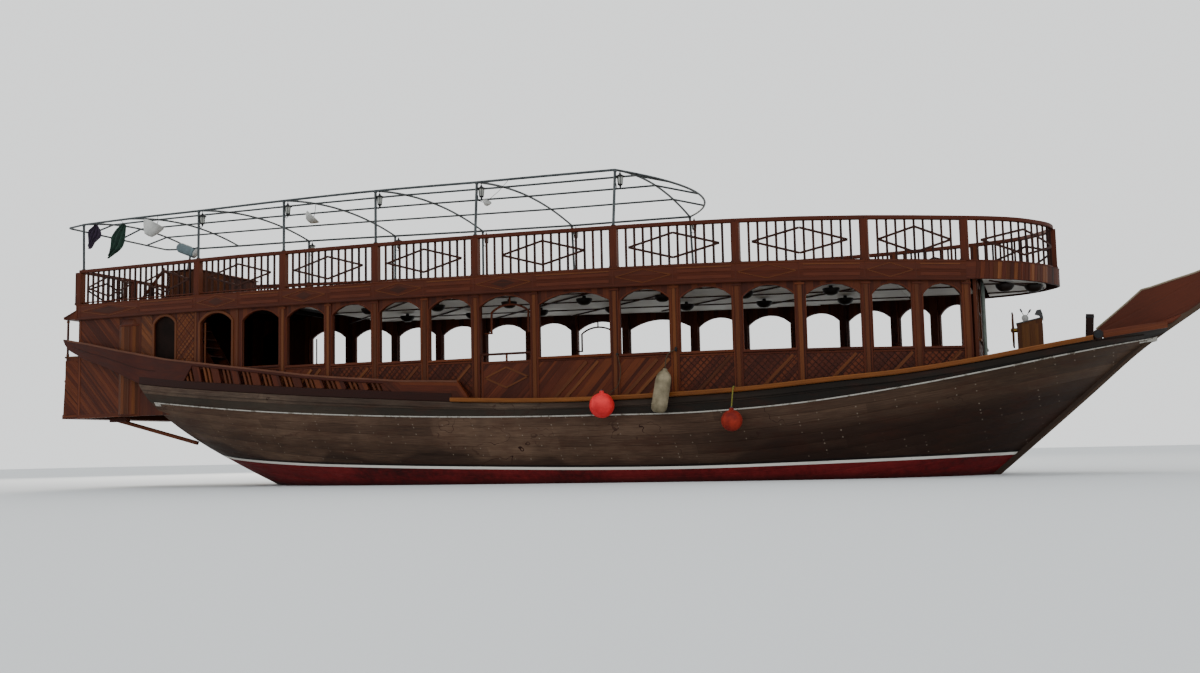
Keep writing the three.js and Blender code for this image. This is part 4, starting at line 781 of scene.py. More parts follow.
# %% Railings
RAIL = {"height": 1.0, "cap": 0.092, "cap_wide": 0.11, "foot": 0.03, "foot_wide": 0.06,
    "lift": 0.004, "lift_aft": 0.045, "post": 0.182, "corner": 0.2}
BALUSTER, PITCH = 0.048, 0.206
LOZENGE = {"half": 0.398, "most": 1.06, "high": 0.283, "middle": 0.467, "batten": 0.052}
CORNER_X = -16.525


def rail_line(x):
    """Half-breadth of the railing's centre line."""
    return deck_half(x) - 0.06


def measured(path):
    """Distance along a path at each of its points."""
    return np.concatenate([[0], np.cumsum(np.linalg.norm(np.diff(path, axis=0), axis=1))])


def on_path(path, distance):
    """Points at distances along a path."""
    run = measured(path)
    return np.stack([np.interp(distance, run, path[:, i]) for i in range(3)], -1)


def railing_bay(path, first=RAIL["post"], last=RAIL["post"], lozenges=1):
    """One bay along the deck edge, from post centre to post centre."""
    run = measured(path)[-1]
    clear = run - (first + last) / 2
    count = round(clear / PITCH)
    feet = on_path(path, first / 2 + np.arange(1, count) * clear / count)
    cap = path + UP * (RAIL["height"] - RAIL["cap"] / 2)
    lift = RAIL["lift_aft"] if path[:, 0].mean() < -6.4 else RAIL["lift"]
    foot = path + UP * (lift + RAIL["foot"] / 2)
    # Finish 1, dark teak on the balusters and lozenge battens, is painted shade against the sky.
    parts = [sweep(cap, rounded(RAIL["cap_wide"], RAIL["cap"], 0.012)),
        sweep(foot, rounded(RAIL["foot_wide"], RAIL["foot"], 0.005)),
        bars(feet + UP * 0.002, feet + UP * (RAIL["height"] - RAIL["cap"] / 2), BALUSTER, BALUSTER,
        up=(1.0, 0, 0), finish=1)]
    share = clear / lozenges
    flat = np.linalg.norm(path[-1] - path[0]) > 0.995 * run
    for k in range(lozenges):
        centre = first / 2 + share * (k + 0.5)
        reach = min(LOZENGE["half"] * share, LOZENGE["most"])
        for a in (-1, 1):
            for rise in (-1, 1):
                steps = np.linspace(centre + a * reach, centre, 2 if flat else 9)
                fall = 1 - np.abs(steps - centre) / reach
                high = LOZENGE["middle"] + rise * LOZENGE["high"] * fall
                batten = on_path(path, steps) + UP * high[:, None]
                tangent = unit(np.gradient(batten, axis=0))
                out = unit(np.cross(tangent, UP)) * -a
                front = batten + out * (BALUSTER / 2 + 0.009)
                parts.append(sweep(front, rounded(0.018, LOZENGE["batten"], 0.004), side=out,
                    up=np.cross(out, tangent), finish=1))
    return parts


def side_path(a, b):
    """The starboard deck edge between two posts, with the knots of the deck's frames."""
    x = np.concatenate([[a], DECK[(DECK[:, 0] > a + 0.01) & (DECK[:, 0] < b - 0.01), 0], [b]])
    x = np.unique(np.concatenate([x, np.linspace(a, b, 6)]))
    return np.stack([x, -rail_line(x), deck_top(x)], -1)


def newel(x, y, side=RAIL["post"]):
    """A square post with a low cap."""
    foot, head = deck_top(x) - 0.01, deck_top(x) + RAIL["height"] - RAIL["cap"] + 0.01
    return [bars([(x, y, foot)], [(x, y, head)], side, side, 0.008, up=(1.0, 0, 0)),
        bars([(x, y, foot + 0.011)], [(x, y, foot + 0.06)], side + 0.02, side + 0.02, 0.01,
        up=(1.0, 0, 0))]


POSTS = [CORNER_X, -12.1, -9.22, -6.38, -3.55, 0.0, 2.84, 5.58, 7.63]
side_parts = []
for a, b in zip(POSTS, POSTS[1:]):
    aft = a == CORNER_X
    side_parts += railing_bay(side_path(a, b), RAIL["corner"] if aft else RAIL["post"],
        lozenges=2 if aft else 1)
for x in POSTS:
    side_parts += newel(x, -rail_line(x), RAIL["corner"] if x == CORNER_X else RAIL["post"])
bow_x = np.array([x for x in DECK[:, 0] if x >= 7.63 and x < 9.4])
bow_knots = np.concatenate([np.stack([bow_x, -rail_line(bow_x)], -1), [[9.432, 0.0]]])
bow_mirror = bow_knots[-2::-1] * (1, -1)
bow_all = np.concatenate([bow_knots, bow_mirror])
bow_run = measured(bow_all)
bow_steps = np.linspace(0, bow_run[-1], 61)
bow_plan = np.stack([fair(bow_steps, bow_run, bow_all[:, i]) for i in range(2)], -1)
bow_path = np.concatenate([bow_plan, deck_top(bow_plan[:, :1])], 1)
half_way = len(bow_path) // 2 + 1
bow_parts = railing_bay(bow_path[:half_way], lozenges=1) + railing_bay(bow_path[half_way - 1 :],
    lozenges=1)
bow_parts += newel(9.44, 0.0)
# Dark teak, the second finish, is painted shade on the balusters and lozenge battens.
pair("railing_{}", side_parts, [teak, dark_teak],
    ["rail_aft_{}", "rail_mid_{}", "rail_fore_{}"])
piece("railing_bow", bow_parts, [teak, dark_teak],
    replaces=["rail_bow_stbd", "rail_bow_port"])
stern_end = rail_line(CORNER_X) - RAIL["corner"] / 2
stern_parts = newel(CORNER_X, 0.0)
for y0, y1 in ((-stern_end, 0.0), (0.0, stern_end)):
    path = np.array([(CORNER_X, y, deck_top(CORNER_X)) for y in np.linspace(y0, y1, 5)])[::-1]
    stern_parts += railing_bay(path, 0.0 if y1 else RAIL["post"], RAIL["post"] if y1 else 0.0)
piece("railing_stern", stern_parts, [teak, dark_teak], replaces=["rail_stern"])

# %% [markdown]
# ## Rubbing strake, painted lines and boot stripe
# A thicker plank protects the sheer, and a painted line runs under it. The line is a low batten,
# bent along the hull, because a painted edge that is drawn in geometry stays sharp at any size.

# %% Strake and line
def along_hull(x, height, out):
    """Points on the starboard side at the given heights, moved out from the planking."""
    return np.stack([x, -(hull_side(x, height) + out), height], -1)


def hull_batten(x0, x1, height_of, tall, proud):
    """A batten on the planking, with its outline turned to the slope of the hull's side."""
    x = np.linspace(x0, x1, int((x1 - x0) * 8) + 2)
    z = height_of(x)
    low, high = along_hull(x, z - tall / 2, 0.0), along_hull(x, z + tall / 2, 0.0)
    up = unit(high - low)
    side = unit(np.cross(up, unit(np.gradient(low, axis=0))))
    side = side * np.sign(-side[:, 1:2])
    profile = rounded(proud * 2, tall, proud * 0.4)
    band = 0.5 - 0.4 * profile[:, 1] / tall
    return sweep((low + high) / 2, profile, side=side, up=up, along=x + 20,
        across=np.append(band, band[0]))


STRAKE_AFT, STRAKE_FORE, LINE_AFT, LINE_FORE = -13.80, 11.2, -13.43, 11.5
strake_stbd = hull_batten(STRAKE_AFT, STRAKE_FORE, lambda x: station(x, SHEER) - 0.075, 0.14, 0.03)
line_stbd = [hull_batten(LINE_AFT, LINE_FORE, white_line, 0.03, 0.017)]
line_stbd.append(hull_batten(LINE_AFT, -13.22, lambda x: white_line(x) - 0.05, 0.08, 0.012))
line_stbd.append(hull_batten(11.12, LINE_FORE, lambda x: white_line(x) - 0.04, 0.07, 0.012))
white_paint, paint_tree, paint_surface = new_material("worn_white_enamel", 0.5)
chips = add(paint_tree, "TexNoise", {"Vector": add(paint_tree, "TexCoord", out="Object"),
    "Scale": 6.0, "Detail": 6.0, "Roughness": 0.7})
paint_colour = add(paint_tree, "ValToRGB", chips, stops=[(0.0, "#a9a69c"), (0.52, "#96928a"),
    (0.6, "#655e53"), (0.68, "#3a332b")])
paint_tree.links.new(paint_colour, paint_surface.inputs["Base Color"])
paint_tree.links.new(add(paint_tree, "Bump", {"Height": chips, "Distance": 0.001}),
    paint_surface.inputs["Normal"])
for made in pair("rubbing_strake_{}", [strake_stbd], hull_planks):
    mark_heights(made)
pair("sheer_line_{}", line_stbd, white_paint)

# %% [markdown]
# ## Boards on a wall
# Much of the deckhouse is covered with strips: planks laid slanting, a lattice of thin battens,
# sill mouldings and inlays. All of them are strips of a flat wall, clipped to a rectangle, so one
# function makes them: a wall is an origin with a direction along it, one up and one out.


# %% Boards, frames and arches
WALL_INSET, LET_IN = 0.025, 0.004
NARROW_BOARD, THIN_BOARD = (0.105, 0.101, 0.01), (0.105, 0.101, 0.008)  # pitch, width, thickness


def face(at, along, out, up=UP):
    """A flat face to lay boards on: a point of it, and its directions along, up and out."""
    at, along, out, up = (np.asarray(v, float) for v in (at, along, out, up))
    return {"at": at, "u": along, "w": up, "n": out}


def wall(a, b):
    """The starboard wall between two values of x on the deck's plan, with its length."""
    p, q = (np.array([x, -(deck_half(x) - WALL_INSET), 0.0]) for x in (a, b))
    along = unit(q - p)
    return {**face(p, along, (along[1], -along[0], 0.0)), "long": float(np.linalg.norm(q - p))}


def clipped(rect, normal, low, high):
    """The part of a rectangle (u0, u1, w0, w1) where low <= normal . point <= high."""
    u0, u1, w0, w1 = rect
    shape = np.array([(u0, w0), (u1, w0), (u1, w1), (u0, w1)])
    for sign, limit in ((1.0, low), (-1.0, -high)):
        depth = sign * (shape @ normal) - limit
        kept = []
        for p, q, a, b in zip(shape, np.roll(shape, -1, 0), depth, np.roll(depth, -1)):
            if a > 1e-6:
                kept.append(p)
            if a * b < 0 and min(abs(a), abs(b)) > 1e-6:
                kept.append(p + (q - p) * a / (a - b))
        shape = np.array(kept)
        if len(shape) < 3:
            return None
    return shape


def slab_part(shape, on, thick, uv, lift=0.0, finish=0):
    """A flat outline of (u, w) points made thick: it stands on the wall from lift up."""
    k = len(shape)
    flat = on["at"] + shape[:, :1] * on["u"] + shape[:, 1:] * on["w"]
    co = np.concatenate([flat + on["n"] * lift, flat + on["n"] * (lift + thick)])
    j = np.arange(k)
    sides = np.stack([j, (j + 1) % k, k + (j + 1) % k, k + j], 1)
    uv_side = np.stack([uv, np.roll(uv, -1, 0), np.roll(uv, -1, 0) + (0, thick), uv + (0, thick)],
        1)
    faces = [sides, j[None, ::-1], j[None] + k]
    return outward({"co": co, "faces": faces, "uv": [uv_side, uv[None, ::-1], uv[None]],
        "finish": finish})


def boards(rect, on, degrees, pitch, wide, thick, lift=0.0, finish=0, seed=1):
    """Strips laid at an angle on a wall, clipped to a rectangle; u runs along the strip."""
    angle = math.radians(degrees)
    along = np.array([math.cos(angle), math.sin(angle)])
    across = np.array([-math.sin(angle), math.cos(angle)])
    u0, u1, w0, w1 = rect
    spread = np.array([(u0, w0), (u1, w0), (u1, w1), (u0, w1)]) @ across
    random = np.random.default_rng(seed)
    parts = []
    for k in range(math.floor(spread.min() / pitch), math.ceil(spread.max() / pitch) + 1):
        shape = clipped(rect, across, k * pitch, k * pitch + wide)
        if shape is not None:
            shift = random.uniform(0, 30, 2).round(2)
            uv = np.stack([shape @ along, shape @ across - k * pitch], -1) + shift
            parts.append(slab_part(shape, on, thick, uv, lift, finish))
    return parts


def lattice(rect, on, pitch=0.085, wide=0.02, finish=0):
    """Two layers of thin battens crossing at right angles, each at 45 degrees."""
    return boards(rect, on, 45, pitch, wide, 0.006, 0.006, finish) + boards(rect, on, -45, pitch,
        wide, 0.006, 0.011, finish)


def level_bar(on, u0, u1, w, tall, proud, finish=0):
    """A moulding along a wall, centred on height w and let into it by LET_IN."""
    a, b = (on["at"] + on["u"] * u + UP * w + on["n"] * (proud / 2 - LET_IN) for u in (u0, u1))
    seed = int(abs(u0 + w) * 997) % 9973
    return bars([a], [b], proud + 2 * LET_IN, tall, min(proud, tall) * 0.25, finish=finish,
        seed=seed)


def upright_bar(on, u, w0, w1, wide, proud, finish=0):
    """A board standing on a wall, let into it by LET_IN."""
    a, b = (on["at"] + on["u"] * u + UP * h + on["n"] * (proud / 2 - LET_IN) for h in (w0, w1))
    seed, corner = int(abs(u + w0) * 991) % 9967, min(proud, wide) * 0.2
    return bars([a], [b], wide, proud + 2 * LET_IN, corner, up=on["n"], finish=finish, seed=seed)


def strip(on, a, b, wide, proud, finish=0):
    """A flat inlay strip on a wall from (u, w) point a to b."""
    p, q = (on["at"] + on["u"] * e[0] + UP * e[1] + on["n"] * (proud / 2 - 0.003) for e in (a, b))
    side = np.cross(unit(q - p), on["n"])
    return bars([p], [q], wide, proud + 0.006, 0.002, up=on["n"], finish=finish,
        seed=int(abs(a[0] * 7 + b[1]) * 983) % 9929)


def arch_line(u0, u1, low, crown, rise):
    """The outline of an opening, up one side, round its segment arch and down the other.

    The arch is a circle of radius (half ** 2 + rise ** 2) / (2 * rise).
    """
    half = (u1 - u0) / 2
    radius = (half**2 + rise**2) / (2 * rise)
    sweep_angle = math.asin(min(1.0, half / radius))
    t = np.linspace(-sweep_angle, sweep_angle, 17)
    arc = np.stack([(u0 + u1) / 2 + radius * np.sin(t), crown - radius + radius * np.cos(t)], -1)
    half_way = (low + crown - rise) / 2
    return np.concatenate([[(u0, low), (u0, half_way)], arc, [(u1, half_way), (u1, low)]])


def arch_frame(on, line, wide, proud, finish=0):
    """A moulding round an opening: its outline is carried along the arch, outside the edge."""
    path = on["at"] + line[:, :1] * on["u"] + line[:, 1:] * on["w"]
    tangent = unit(np.gradient(path, axis=0))
    side = unit(np.cross(on["n"], tangent))
    centre = path + side * (wide / 2 - 0.004) + on["n"] * (proud / 2 - 0.004)
    return sweep(centre, rounded(wide, proud + 0.008, min(proud, wide) * 0.25), side=side,
        up=on["n"], finish=finish)


# %% [markdown]
# ## Saloon sides
# Each bay of the saloon has an arched opening between two pillars. The pillars are cased with a
# board, a sill moulding runs under the opening, and the panel below it is covered with a lattice
# over slanting planks. One paler strip crosses each panel.

# %% Saloon sides
ARCH_BELOW_DECK, ARCH_RISE, REVEAL, BESIDE_PILLAR = 0.5, 0.24, 0.125, 0.1
PILLAR_XS = [-9.22, -7.79, -6.38, -4.95, -3.55, -2.01, 0.0, 1.42, 2.84, 4.2, 5.58, 6.62, 7.63]
BAY_XS = [-10.65] + PILLAR_XS
GATE_BAY = (-3.55, -2.01)
PLANKED_BAYS = (-2.01, 0.0, -9.22)


def saloon_bay(a, b):
    """Trim of one bay: its arch moulding, sill, lattice and strips, in the finishes of TRIM."""
    on = wall(a, b)
    middle = (a + b) / 2
    crown = deck_top(middle) - ARCH_BELOW_DECK
    sill = sill_top(middle)
    parts = []
    if (a, b) == GATE_BAY:
        line = arch_line(BESIDE_PILLAR, on["long"] - BESIDE_PILLAR, sill - 0.9, crown, ARCH_RISE)
        inner = {**on, "at": on["at"] - on["n"] * 0.3}
        held = arch_line(0.3, on["long"] - 0.3, crown - 0.87, crown - 0.2, 0.16)
        screen = [arch_frame(inner, held, 0.045, 0.04, 1),
            upright_bar(inner, on["long"] / 2, crown - 0.2, crown - 0.01, 0.035, 0.03, 1)]
        screen += [level_bar(inner, a, b, crown - 0.85, 0.035, 0.03, 1)
            for a, b in ((0.1, 0.3), (on["long"] - 0.3, on["long"] - 0.1))]
        return [arch_frame(on, line, 0.03, 0.012, 1)] + screen
    line = arch_line(REVEAL, on["long"] - REVEAL, sill, crown, ARCH_RISE)
    parts.append(arch_frame(on, line, 0.03, 0.01, 1))
    foot = float(min(station(a, SHEER), station(b, SHEER))) - DECK_DROP + 0.01
    parts.append(level_bar(on, BESIDE_PILLAR, on["long"] - BESIDE_PILLAR, sill - 0.03, 0.06, 0.035,
        1))
    parts.append(level_bar(on, BESIDE_PILLAR, on["long"] - BESIDE_PILLAR, sill - 0.095, 0.03, 0.016,
        1))
    rect = (BESIDE_PILLAR, on["long"] - BESIDE_PILLAR, foot, sill - 0.115)
    plain = a in PLANKED_BAYS
    parts += boards(rect, on, 48, 0.19 if plain else 0.1, 0.186 if plain else 0.096, 0.005, 0.0,
        1 if plain else 0, seed=int(abs(a) * 10))
    if not plain:
        parts += lattice(rect, on, pitch=0.1, wide=0.015, finish=3)
    centre, reach = (BESIDE_PILLAR + on["long"] - BESIDE_PILLAR) / 2, (sill - 0.13 - foot) / 2
    for shift in (-0.16, 0.12) if plain else (0.1,):
        low_end = (centre + shift - reach, foot + 0.08)
        parts.append(strip(on, low_end, (low_end[0] + 2 * reach * 0.9,
            foot + 0.08 + 2 * reach * 0.9), 0.07, 0.019, 2 if plain else 4))
    return parts


def pillar_casing(x):
    """Boards on a pillar's outer face: the pillar stands square to the mean of its two bays."""
    i = int(np.argmin(np.abs(DECK[:, 0] - x)))
    run = np.array([DECK[i + 1, 0] - DECK[i - 1, 0], -(DECK[i + 1, 1] - DECK[i - 1, 1]), 0.0])
    along = unit(run)
    out = np.array([along[1], -along[0], 0.0])
    on = face(np.array([x, -deck_half(x), 0.0]) - out * 0.014, along, out)
    low = station(x, SHEER) - DECK_DROP + 0.01
    high = deck_top(x) - 0.44
    edge = [upright_bar(on, u, low, high, 0.03, 0.008, 1) for u in (-0.083, 0.083)]
    return edge + [upright_bar(on, 0.0, low, high, 0.085, 0.012, 4),
        level_bar(on, -0.105, 0.105, high - 0.05, 0.05, 0.025, 1)]


dado_dark = timber("varnished_teak_dado", "#28100a", "#431c10", "#5e2c16", board=0.2,
    weathered=0.25)
lattice_teak = timber("shaded_teak_battens", "#1a0a06", "#2d130b", "#3e1d11", board=0.2,
    weathered=0.15)
inlay_teak = timber("pale_teak_inlay", "#42200e", "#5a3116", "#744524", roughness=0.45, board=0.2,
    weathered=0.1)
pillar_teak = timber("varnished_teak_pillar", "#2f1407", "#4d250e", "#643718", roughness=0.45,
    board=0.2, weathered=0.25)
TRIM = [dado_dark, teak, inlay_teak, lattice_teak, pillar_teak]
saloon_parts = [part for a, b in zip(BAY_XS, BAY_XS[1:]) for part in saloon_bay(a, b)]
casing_parts = [part for x in PILLAR_XS for part in pillar_casing(x)]
pair("saloon_trim_{}", saloon_parts + casing_parts, TRIM)

# %% [markdown]
# ## Closed quarters
# The walls abaft the saloon are planked with slanting boards, and forward of the small window they
# carry the same lattice. The arched windows have a broad frame; the small one has dark glass, the
# large one a mullion set in behind it.

# %% Quarter walls
BOX_LOW = 1.96
quarter_parts, glass_parts = [], []
aft_wall, mid_wall, fore_wall = wall(-16.5, -14.2), wall(-14.2, -12.1), wall(-12.1, -10.65)
top_of = lambda x: deck_top(x) - 0.44
quarter_parts += boards((0.06, 1.58, BOX_LOW + 0.1, top_of(-15.4)), aft_wall, -45, *NARROW_BOARD,
    0.0, 1, seed=21)
quarter_parts.append(level_bar(aft_wall, 0.0, 2.28, BOX_LOW + 0.05, 0.1, 0.02, 1))
quarter_parts.append(upright_bar(aft_wall, 0.04, BOX_LOW, top_of(-16.4), 0.09, 0.018, 1))
small, big = (0.58, 1.33, 3.42), (0.13, 1.23, 3.15)
small_crown, big_crown = deck_top(-13.25) - 0.5, deck_top(-11.4) - 0.5
quarter_parts += boards((0.1, 0.5, 2.75, top_of(-13.9)), mid_wall, -45, *NARROW_BOARD, 0.0, 4,
    seed=22)
quarter_parts += boards((0.5, 1.41, 2.75, 3.39), mid_wall, -45, *NARROW_BOARD, 0.0, 1, seed=23)
quarter_parts += boards((1.41, 2.02, 2.5, top_of(-12.5)), mid_wall, 45, 0.2, 0.196, 0.005, 0.0, 4,
    seed=24)
quarter_parts += lattice((1.41, 2.02, 2.5, top_of(-12.5)), mid_wall, pitch=0.1, wide=0.022,
    finish=0)
quarter_parts += boards((0.08, 1.36, 2.4, 3.1), fore_wall, -45, *NARROW_BOARD, 0.0, 1, seed=25)
for on, (u0, u1, low), crown, rise in ((mid_wall, small, small_crown, 0.2),
    (fore_wall, big, big_crown, ARCH_RISE)):
    line = arch_line(u0, u1, low, crown, rise)
    quarter_parts.append(arch_frame(on, line, 0.075, 0.022, 4))
    quarter_parts.append(level_bar(on, u0 - 0.08, u1 + 0.08, low - 0.03, 0.06, 0.045, 4))
    pane = np.concatenate([line[:1], line[2:-2], line[-1:]])
    if on is mid_wall:
        glass_parts.append(slab_part(pane, on, 0.008, pane, lift=-0.055))
    else:
        inside = {**on, "at": on["at"] - on["n"] * 0.05}
        glass_parts.append(upright_bar(inside, u0 + 0.12 * (u1 - u0), low, crown - rise, 0.035,
            0.02, 1))
for on in (mid_wall, fore_wall):
    quarter_parts.append(upright_bar(on, on["long"] - 0.04, 2.4, top_of(-12.1), 0.07, 0.018, 4))


def turret_boards():
    """Vertical boards on the three facets of the turret, and battens on their edges."""
    x0, x1, facet, reach = -14.9, -14.2, 0.17, 0.105
    y = -(deck_half(-14.55) - 0.025)
    plan = np.array([(x0, y), (x0 + facet, y - reach), (x1 - facet, y - reach), (x1, y - 0.04)])
    parts = []
    for p, q in zip(plan, plan[1:]):
        along = unit(np.append(q - p, 0.0))
        on = face([*p, 0.0], along, [along[1], -along[0], 0.0])
        long = float(np.linalg.norm(q - p))
        parts += boards((0.0, long, 2.02, 4.47), on, 90, 0.09, 0.086, 0.006, 0.0, 4,
            seed=int(long * 100))
        parts.append(level_bar(on, 0.0, long, 4.46, 0.05, 0.018, 1))
    return parts


quarter_parts += turret_boards()
window_glass, glass_tree, glass_surface = new_material("smoked_window_film", 0.6,
    shader={SPECULAR: 0.04})
smears = add(glass_tree, "TexNoise", {"Vector": add(glass_tree, "TexCoord", out="Object"),
    "Scale": 3.0, "Detail": 4.0, "Roughness": 0.6})
glass_tree.links.new(add(glass_tree, "ValToRGB", smears,
    stops=[(0.3, "#0d0705"), (0.7, "#1a0f0b")]), glass_surface.inputs["Base Color"])
pair("quarter_planking_{}", quarter_parts, TRIM)
pair("quarter_windows_{}", glass_parts, [window_glass, pillar_teak])

# %% [markdown]
# ## Fascia round the upper deck
# Two planks stand on edge round the deck, with a nosing above, a ledge between them and two beads
# below. That is one profile, carried along the deck's plan. Every other panel has a long lozenge of
# pale strips let into it.

# %% Fascia
plan = np.concatenate([DECK * (1, -1), (DECK * (1, 1))[::-1]])
plan_run = measured(np.concatenate([plan, np.zeros((len(plan), 1))], 1))
fine_run = np.unique(np.concatenate([plan_run, np.linspace(plan_run[8], plan_run[-9], 260)]))
plan_fine = np.stack([fair(fine_run, plan_run, plan[:, i]) for i in range(2)], -1)
FASCIA_PROFILE = np.array([(0.0, 0.0), (0.052, 0.0), (0.06, -0.006), (0.06, -0.022),
    (0.046, -0.028), (0.046, -0.19), (0.049, -0.196), (0.046, -0.202), (0.046, -0.385),
    (0.056, -0.392), (0.06, -0.402), (0.06, -0.43), (0.052, -0.44), (0.0, -0.44)])
ROUND_PROFILE = np.array([(0.0, 0.0), (0.045, 0.0), (0.05, -0.006), (0.036, -0.012),
    (0.034, -0.392), (0.04, -0.398), (0.0, -0.398)])
fascia_path = np.concatenate([plan_fine, deck_top(plan_fine[:, :1]) - 0.001], 1)
fascia_side = unit(np.cross(unit(np.gradient(fascia_path * (1, 1, 0), axis=0)), UP))
at_front = np.where(fascia_path[:, 0] > 7.6)[0]
fascia_parts = [sweep(fascia_path[: at_front[0] + 1], FASCIA_PROFILE,
    side=fascia_side[: at_front[0] + 1], finish=1),
    sweep(fascia_path[at_front], ROUND_PROFILE, side=fascia_side[at_front], finish=0),
    sweep(fascia_path[at_front[-1] :], FASCIA_PROFILE, side=fascia_side[at_front[-1] :], finish=1)]
aft_y = DECK[0, 1] + 0.055
aft_path = np.stack([np.full(9, -16.52), np.linspace(aft_y, -aft_y, 9),
    np.full(9, deck_top(-16.52) - 0.001)], -1)
fascia_parts.append(sweep(aft_path, FASCIA_PROFILE, side=(-1.0, 0, 0), finish=1))
LOZENGE_DROP, LOZENGE_RISE = 0.21, 0.155
PANEL_XS = [-16.4, -14.2, -12.1] + BAY_XS


def on_fascia(x, drop, out=0.05):
    """A point on the starboard face of the fascia, at a depth below the deck."""
    half = len(fascia_path) // 2
    y = np.interp(x, fascia_path[:half, 0], fascia_path[:half, 1])
    return np.stack(np.broadcast_arrays(x, y - out, deck_top(x) - drop), -1)


def inlay(x0, x1, drop0, drop1, wide=0.024, finish=2):
    """A thin strip let into the fascia, from one depth to another."""
    x = np.linspace(x0, x1, 8)
    path = on_fascia(x, np.linspace(drop0, drop1, 8))
    return sweep(path, rounded(0.01, wide, 0.002), finish=finish, side=(0, -1.0, 0))


for k, (a, b) in enumerate(zip(PANEL_XS, PANEL_XS[1:])):
    middle = (a + b) / 2
    made = [bars([on_fascia(a, 0.385, 0.046)], [on_fascia(a, 0.03, 0.046)], 0.03, 0.012, 0.003,
        up=(0, 1.0, 0), finish=0)]
    if k % 2 == 0:
        for rise in (-LOZENGE_RISE, LOZENGE_RISE):
            made.append(inlay(a + 0.05, middle, LOZENGE_DROP, LOZENGE_DROP - rise, 0.02, 4))
            made.append(inlay(middle, b - 0.05, LOZENGE_DROP - rise, LOZENGE_DROP, 0.02, 4))
        tips = (a + 0.45, LOZENGE_DROP), (middle, 0.11), (b - 0.45, LOZENGE_DROP), (middle, 0.31)
        shape = np.array([on_fascia(x, drop, 0.0)[[0, 2]] for x, drop in tips]) - (a, 0)
        along = unit(on_fascia(b, 0.0) - on_fascia(a, 0.0)) * (1, 1, 0)
        on = face(on_fascia(a, 0.0, 0.05) * (1, 1, 0), along, [0, -1.0, 0])
        made.append(slab_part(shape, on, 0.004, shape, lift=-0.004, finish=3))
    else:
        made += [inlay(a + 0.1, b - 0.1, drop, drop, wide, one)
            for drop, wide, one in ((0.075, 0.018, 2), (0.15, 0.06, 0), (0.3, 0.07, 0))]
    fascia_parts += made + [mirrored(p) for p in made]
round_run = np.linspace(plan_run[17] + 0.25, plan_run[-18] - 0.25, 55)
round_xy = np.stack([np.interp(round_run, fine_run, plan_fine[:, i]) for i in range(2)], -1)
round_side = np.stack([np.interp(round_run, fine_run, fascia_side[:, i]) for i in range(2)], -1)
ROUND_TONES = (1, 1, 1, 0, 4, 2, 0, 4, 0, 4, 1, 0, 1, 1, 2, 0, 4, 0, 2, 4, 0, 1, 3, 0, 1, 1, 1)
for i, (q, n, q2) in enumerate(zip(round_xy, round_side, round_xy[1:])):
    face_low, face_high = q + n * 0.036, q + (q2 - q) * 0.4 + n * 0.036
    along = unit(np.append(q2 - q, 0.0))
    ends = [np.array([*xy, deck_top(xy[0]) - drop])
        for xy, drop in ((face_low, 0.39), (face_high, 0.012))]
    fascia_parts.append(bars([ends[0]], [ends[1]], float(np.linalg.norm(q2 - q)) * 0.93, 0.01,
        0.002, up=np.append(n, 0.0), finish=ROUND_TONES[min(i, 53 - i)], seed=int(abs(q[0] * 100))))
piece("fascia_planks", fascia_parts, TRIM, replaces=["fascia"])

# %% [markdown]
# ## Ceiling under the upper deck
# Between the deck beams the ceiling is lined with pale painted panels, held by dark battens. Seen
# from the water it is the brightest thing behind the arches.

# %% Ceiling
CEILING_DROP, PANEL_THICK, PANEL_PITCH = 0.31, 0.012, 1.2
panel_parts, batten_parts = [], []
panel_x = np.concatenate([np.arange(-9.6, 7.0, PANEL_PITCH), [7.6]])
for a, b in zip(panel_x, panel_x[1:]):
    x = np.linspace(a + 0.006, b - 0.006, 4)
    half = min(deck_half(x[0]), deck_half(x[-1])) - 0.24
    y = np.linspace(-half, half, 3)
    low = np.stack(np.broadcast_arrays(x[:, None], y[None], deck_top(x)[:, None] - CEILING_DROP),
        -1)
    panel_parts.append(outward(grid(np.concatenate([low, low[:, ::-1] + (0, 0, PANEL_THICK)], 1))))
    for y_batten in (-1.7, 0.0, 1.7):
        if abs(y_batten) < half - 0.05:
            ends = [(xx, y_batten, deck_top(xx) - CEILING_DROP - PANEL_THICK) for xx in (a, b)]
            batten_parts.append(bars([ends[0]], [ends[1]], 0.045, 0.03, 0.004))
for x in np.arange(-8.0, 7.0, 2.5):
    reach = min(deck_half(x), float(deck_half(min(x + 2.0, 7.6)))) - 0.4
    cross = np.array([(xx, y, deck_top(xx) - CEILING_DROP - 0.018)
        for xx, y in ((x - reach, reach), (x + reach, -reach)) if xx < 7.6])
    if len(cross) == 2:
        batten_parts.append(bars(cross[:1], cross[1:], 0.05, 0.03, 0.004))
ceiling_paint, ceiling_tree, ceiling_surface = new_material("pale_ceiling_enamel", 0.6)
ceiling_dirt = add(ceiling_tree, "TexNoise", {"Vector": add(ceiling_tree, "TexCoord", out="Object"),
    "Scale": 1.6, "Detail": 5.0, "Roughness": 0.6})
ceiling_colour = add(ceiling_tree, "ValToRGB", ceiling_dirt,
    stops=[(0.3, "#c4c2bb"), (0.6, "#d3d2cc"), (0.8, "#b4b1a8")])
ceiling_tree.links.new(ceiling_colour, ceiling_surface.inputs["Base Color"])
ceiling_tree.links.new(add(ceiling_tree, "Bump", {"Height": ceiling_dirt, "Distance": 0.001}),
    ceiling_surface.inputs["Normal"])
bow_on = face([0, 0, deck_top(0.0) - 0.36], [1.0, 0, -0.028], UP, [0, 1.0, 0])
bow_rim = [(x, -(deck_half(x) - 0.2)) for x in (7.95, 8.2, 8.45, 8.7, 8.9, 9.08, 9.2)]
bow_panel = np.array(bow_rim + [(9.26, -0.3), (9.26, 0.3)] + [(x, -y) for x, y in bow_rim[::-1]])
panel_parts.append(slab_part(bow_panel, bow_on, PANEL_THICK, bow_panel))
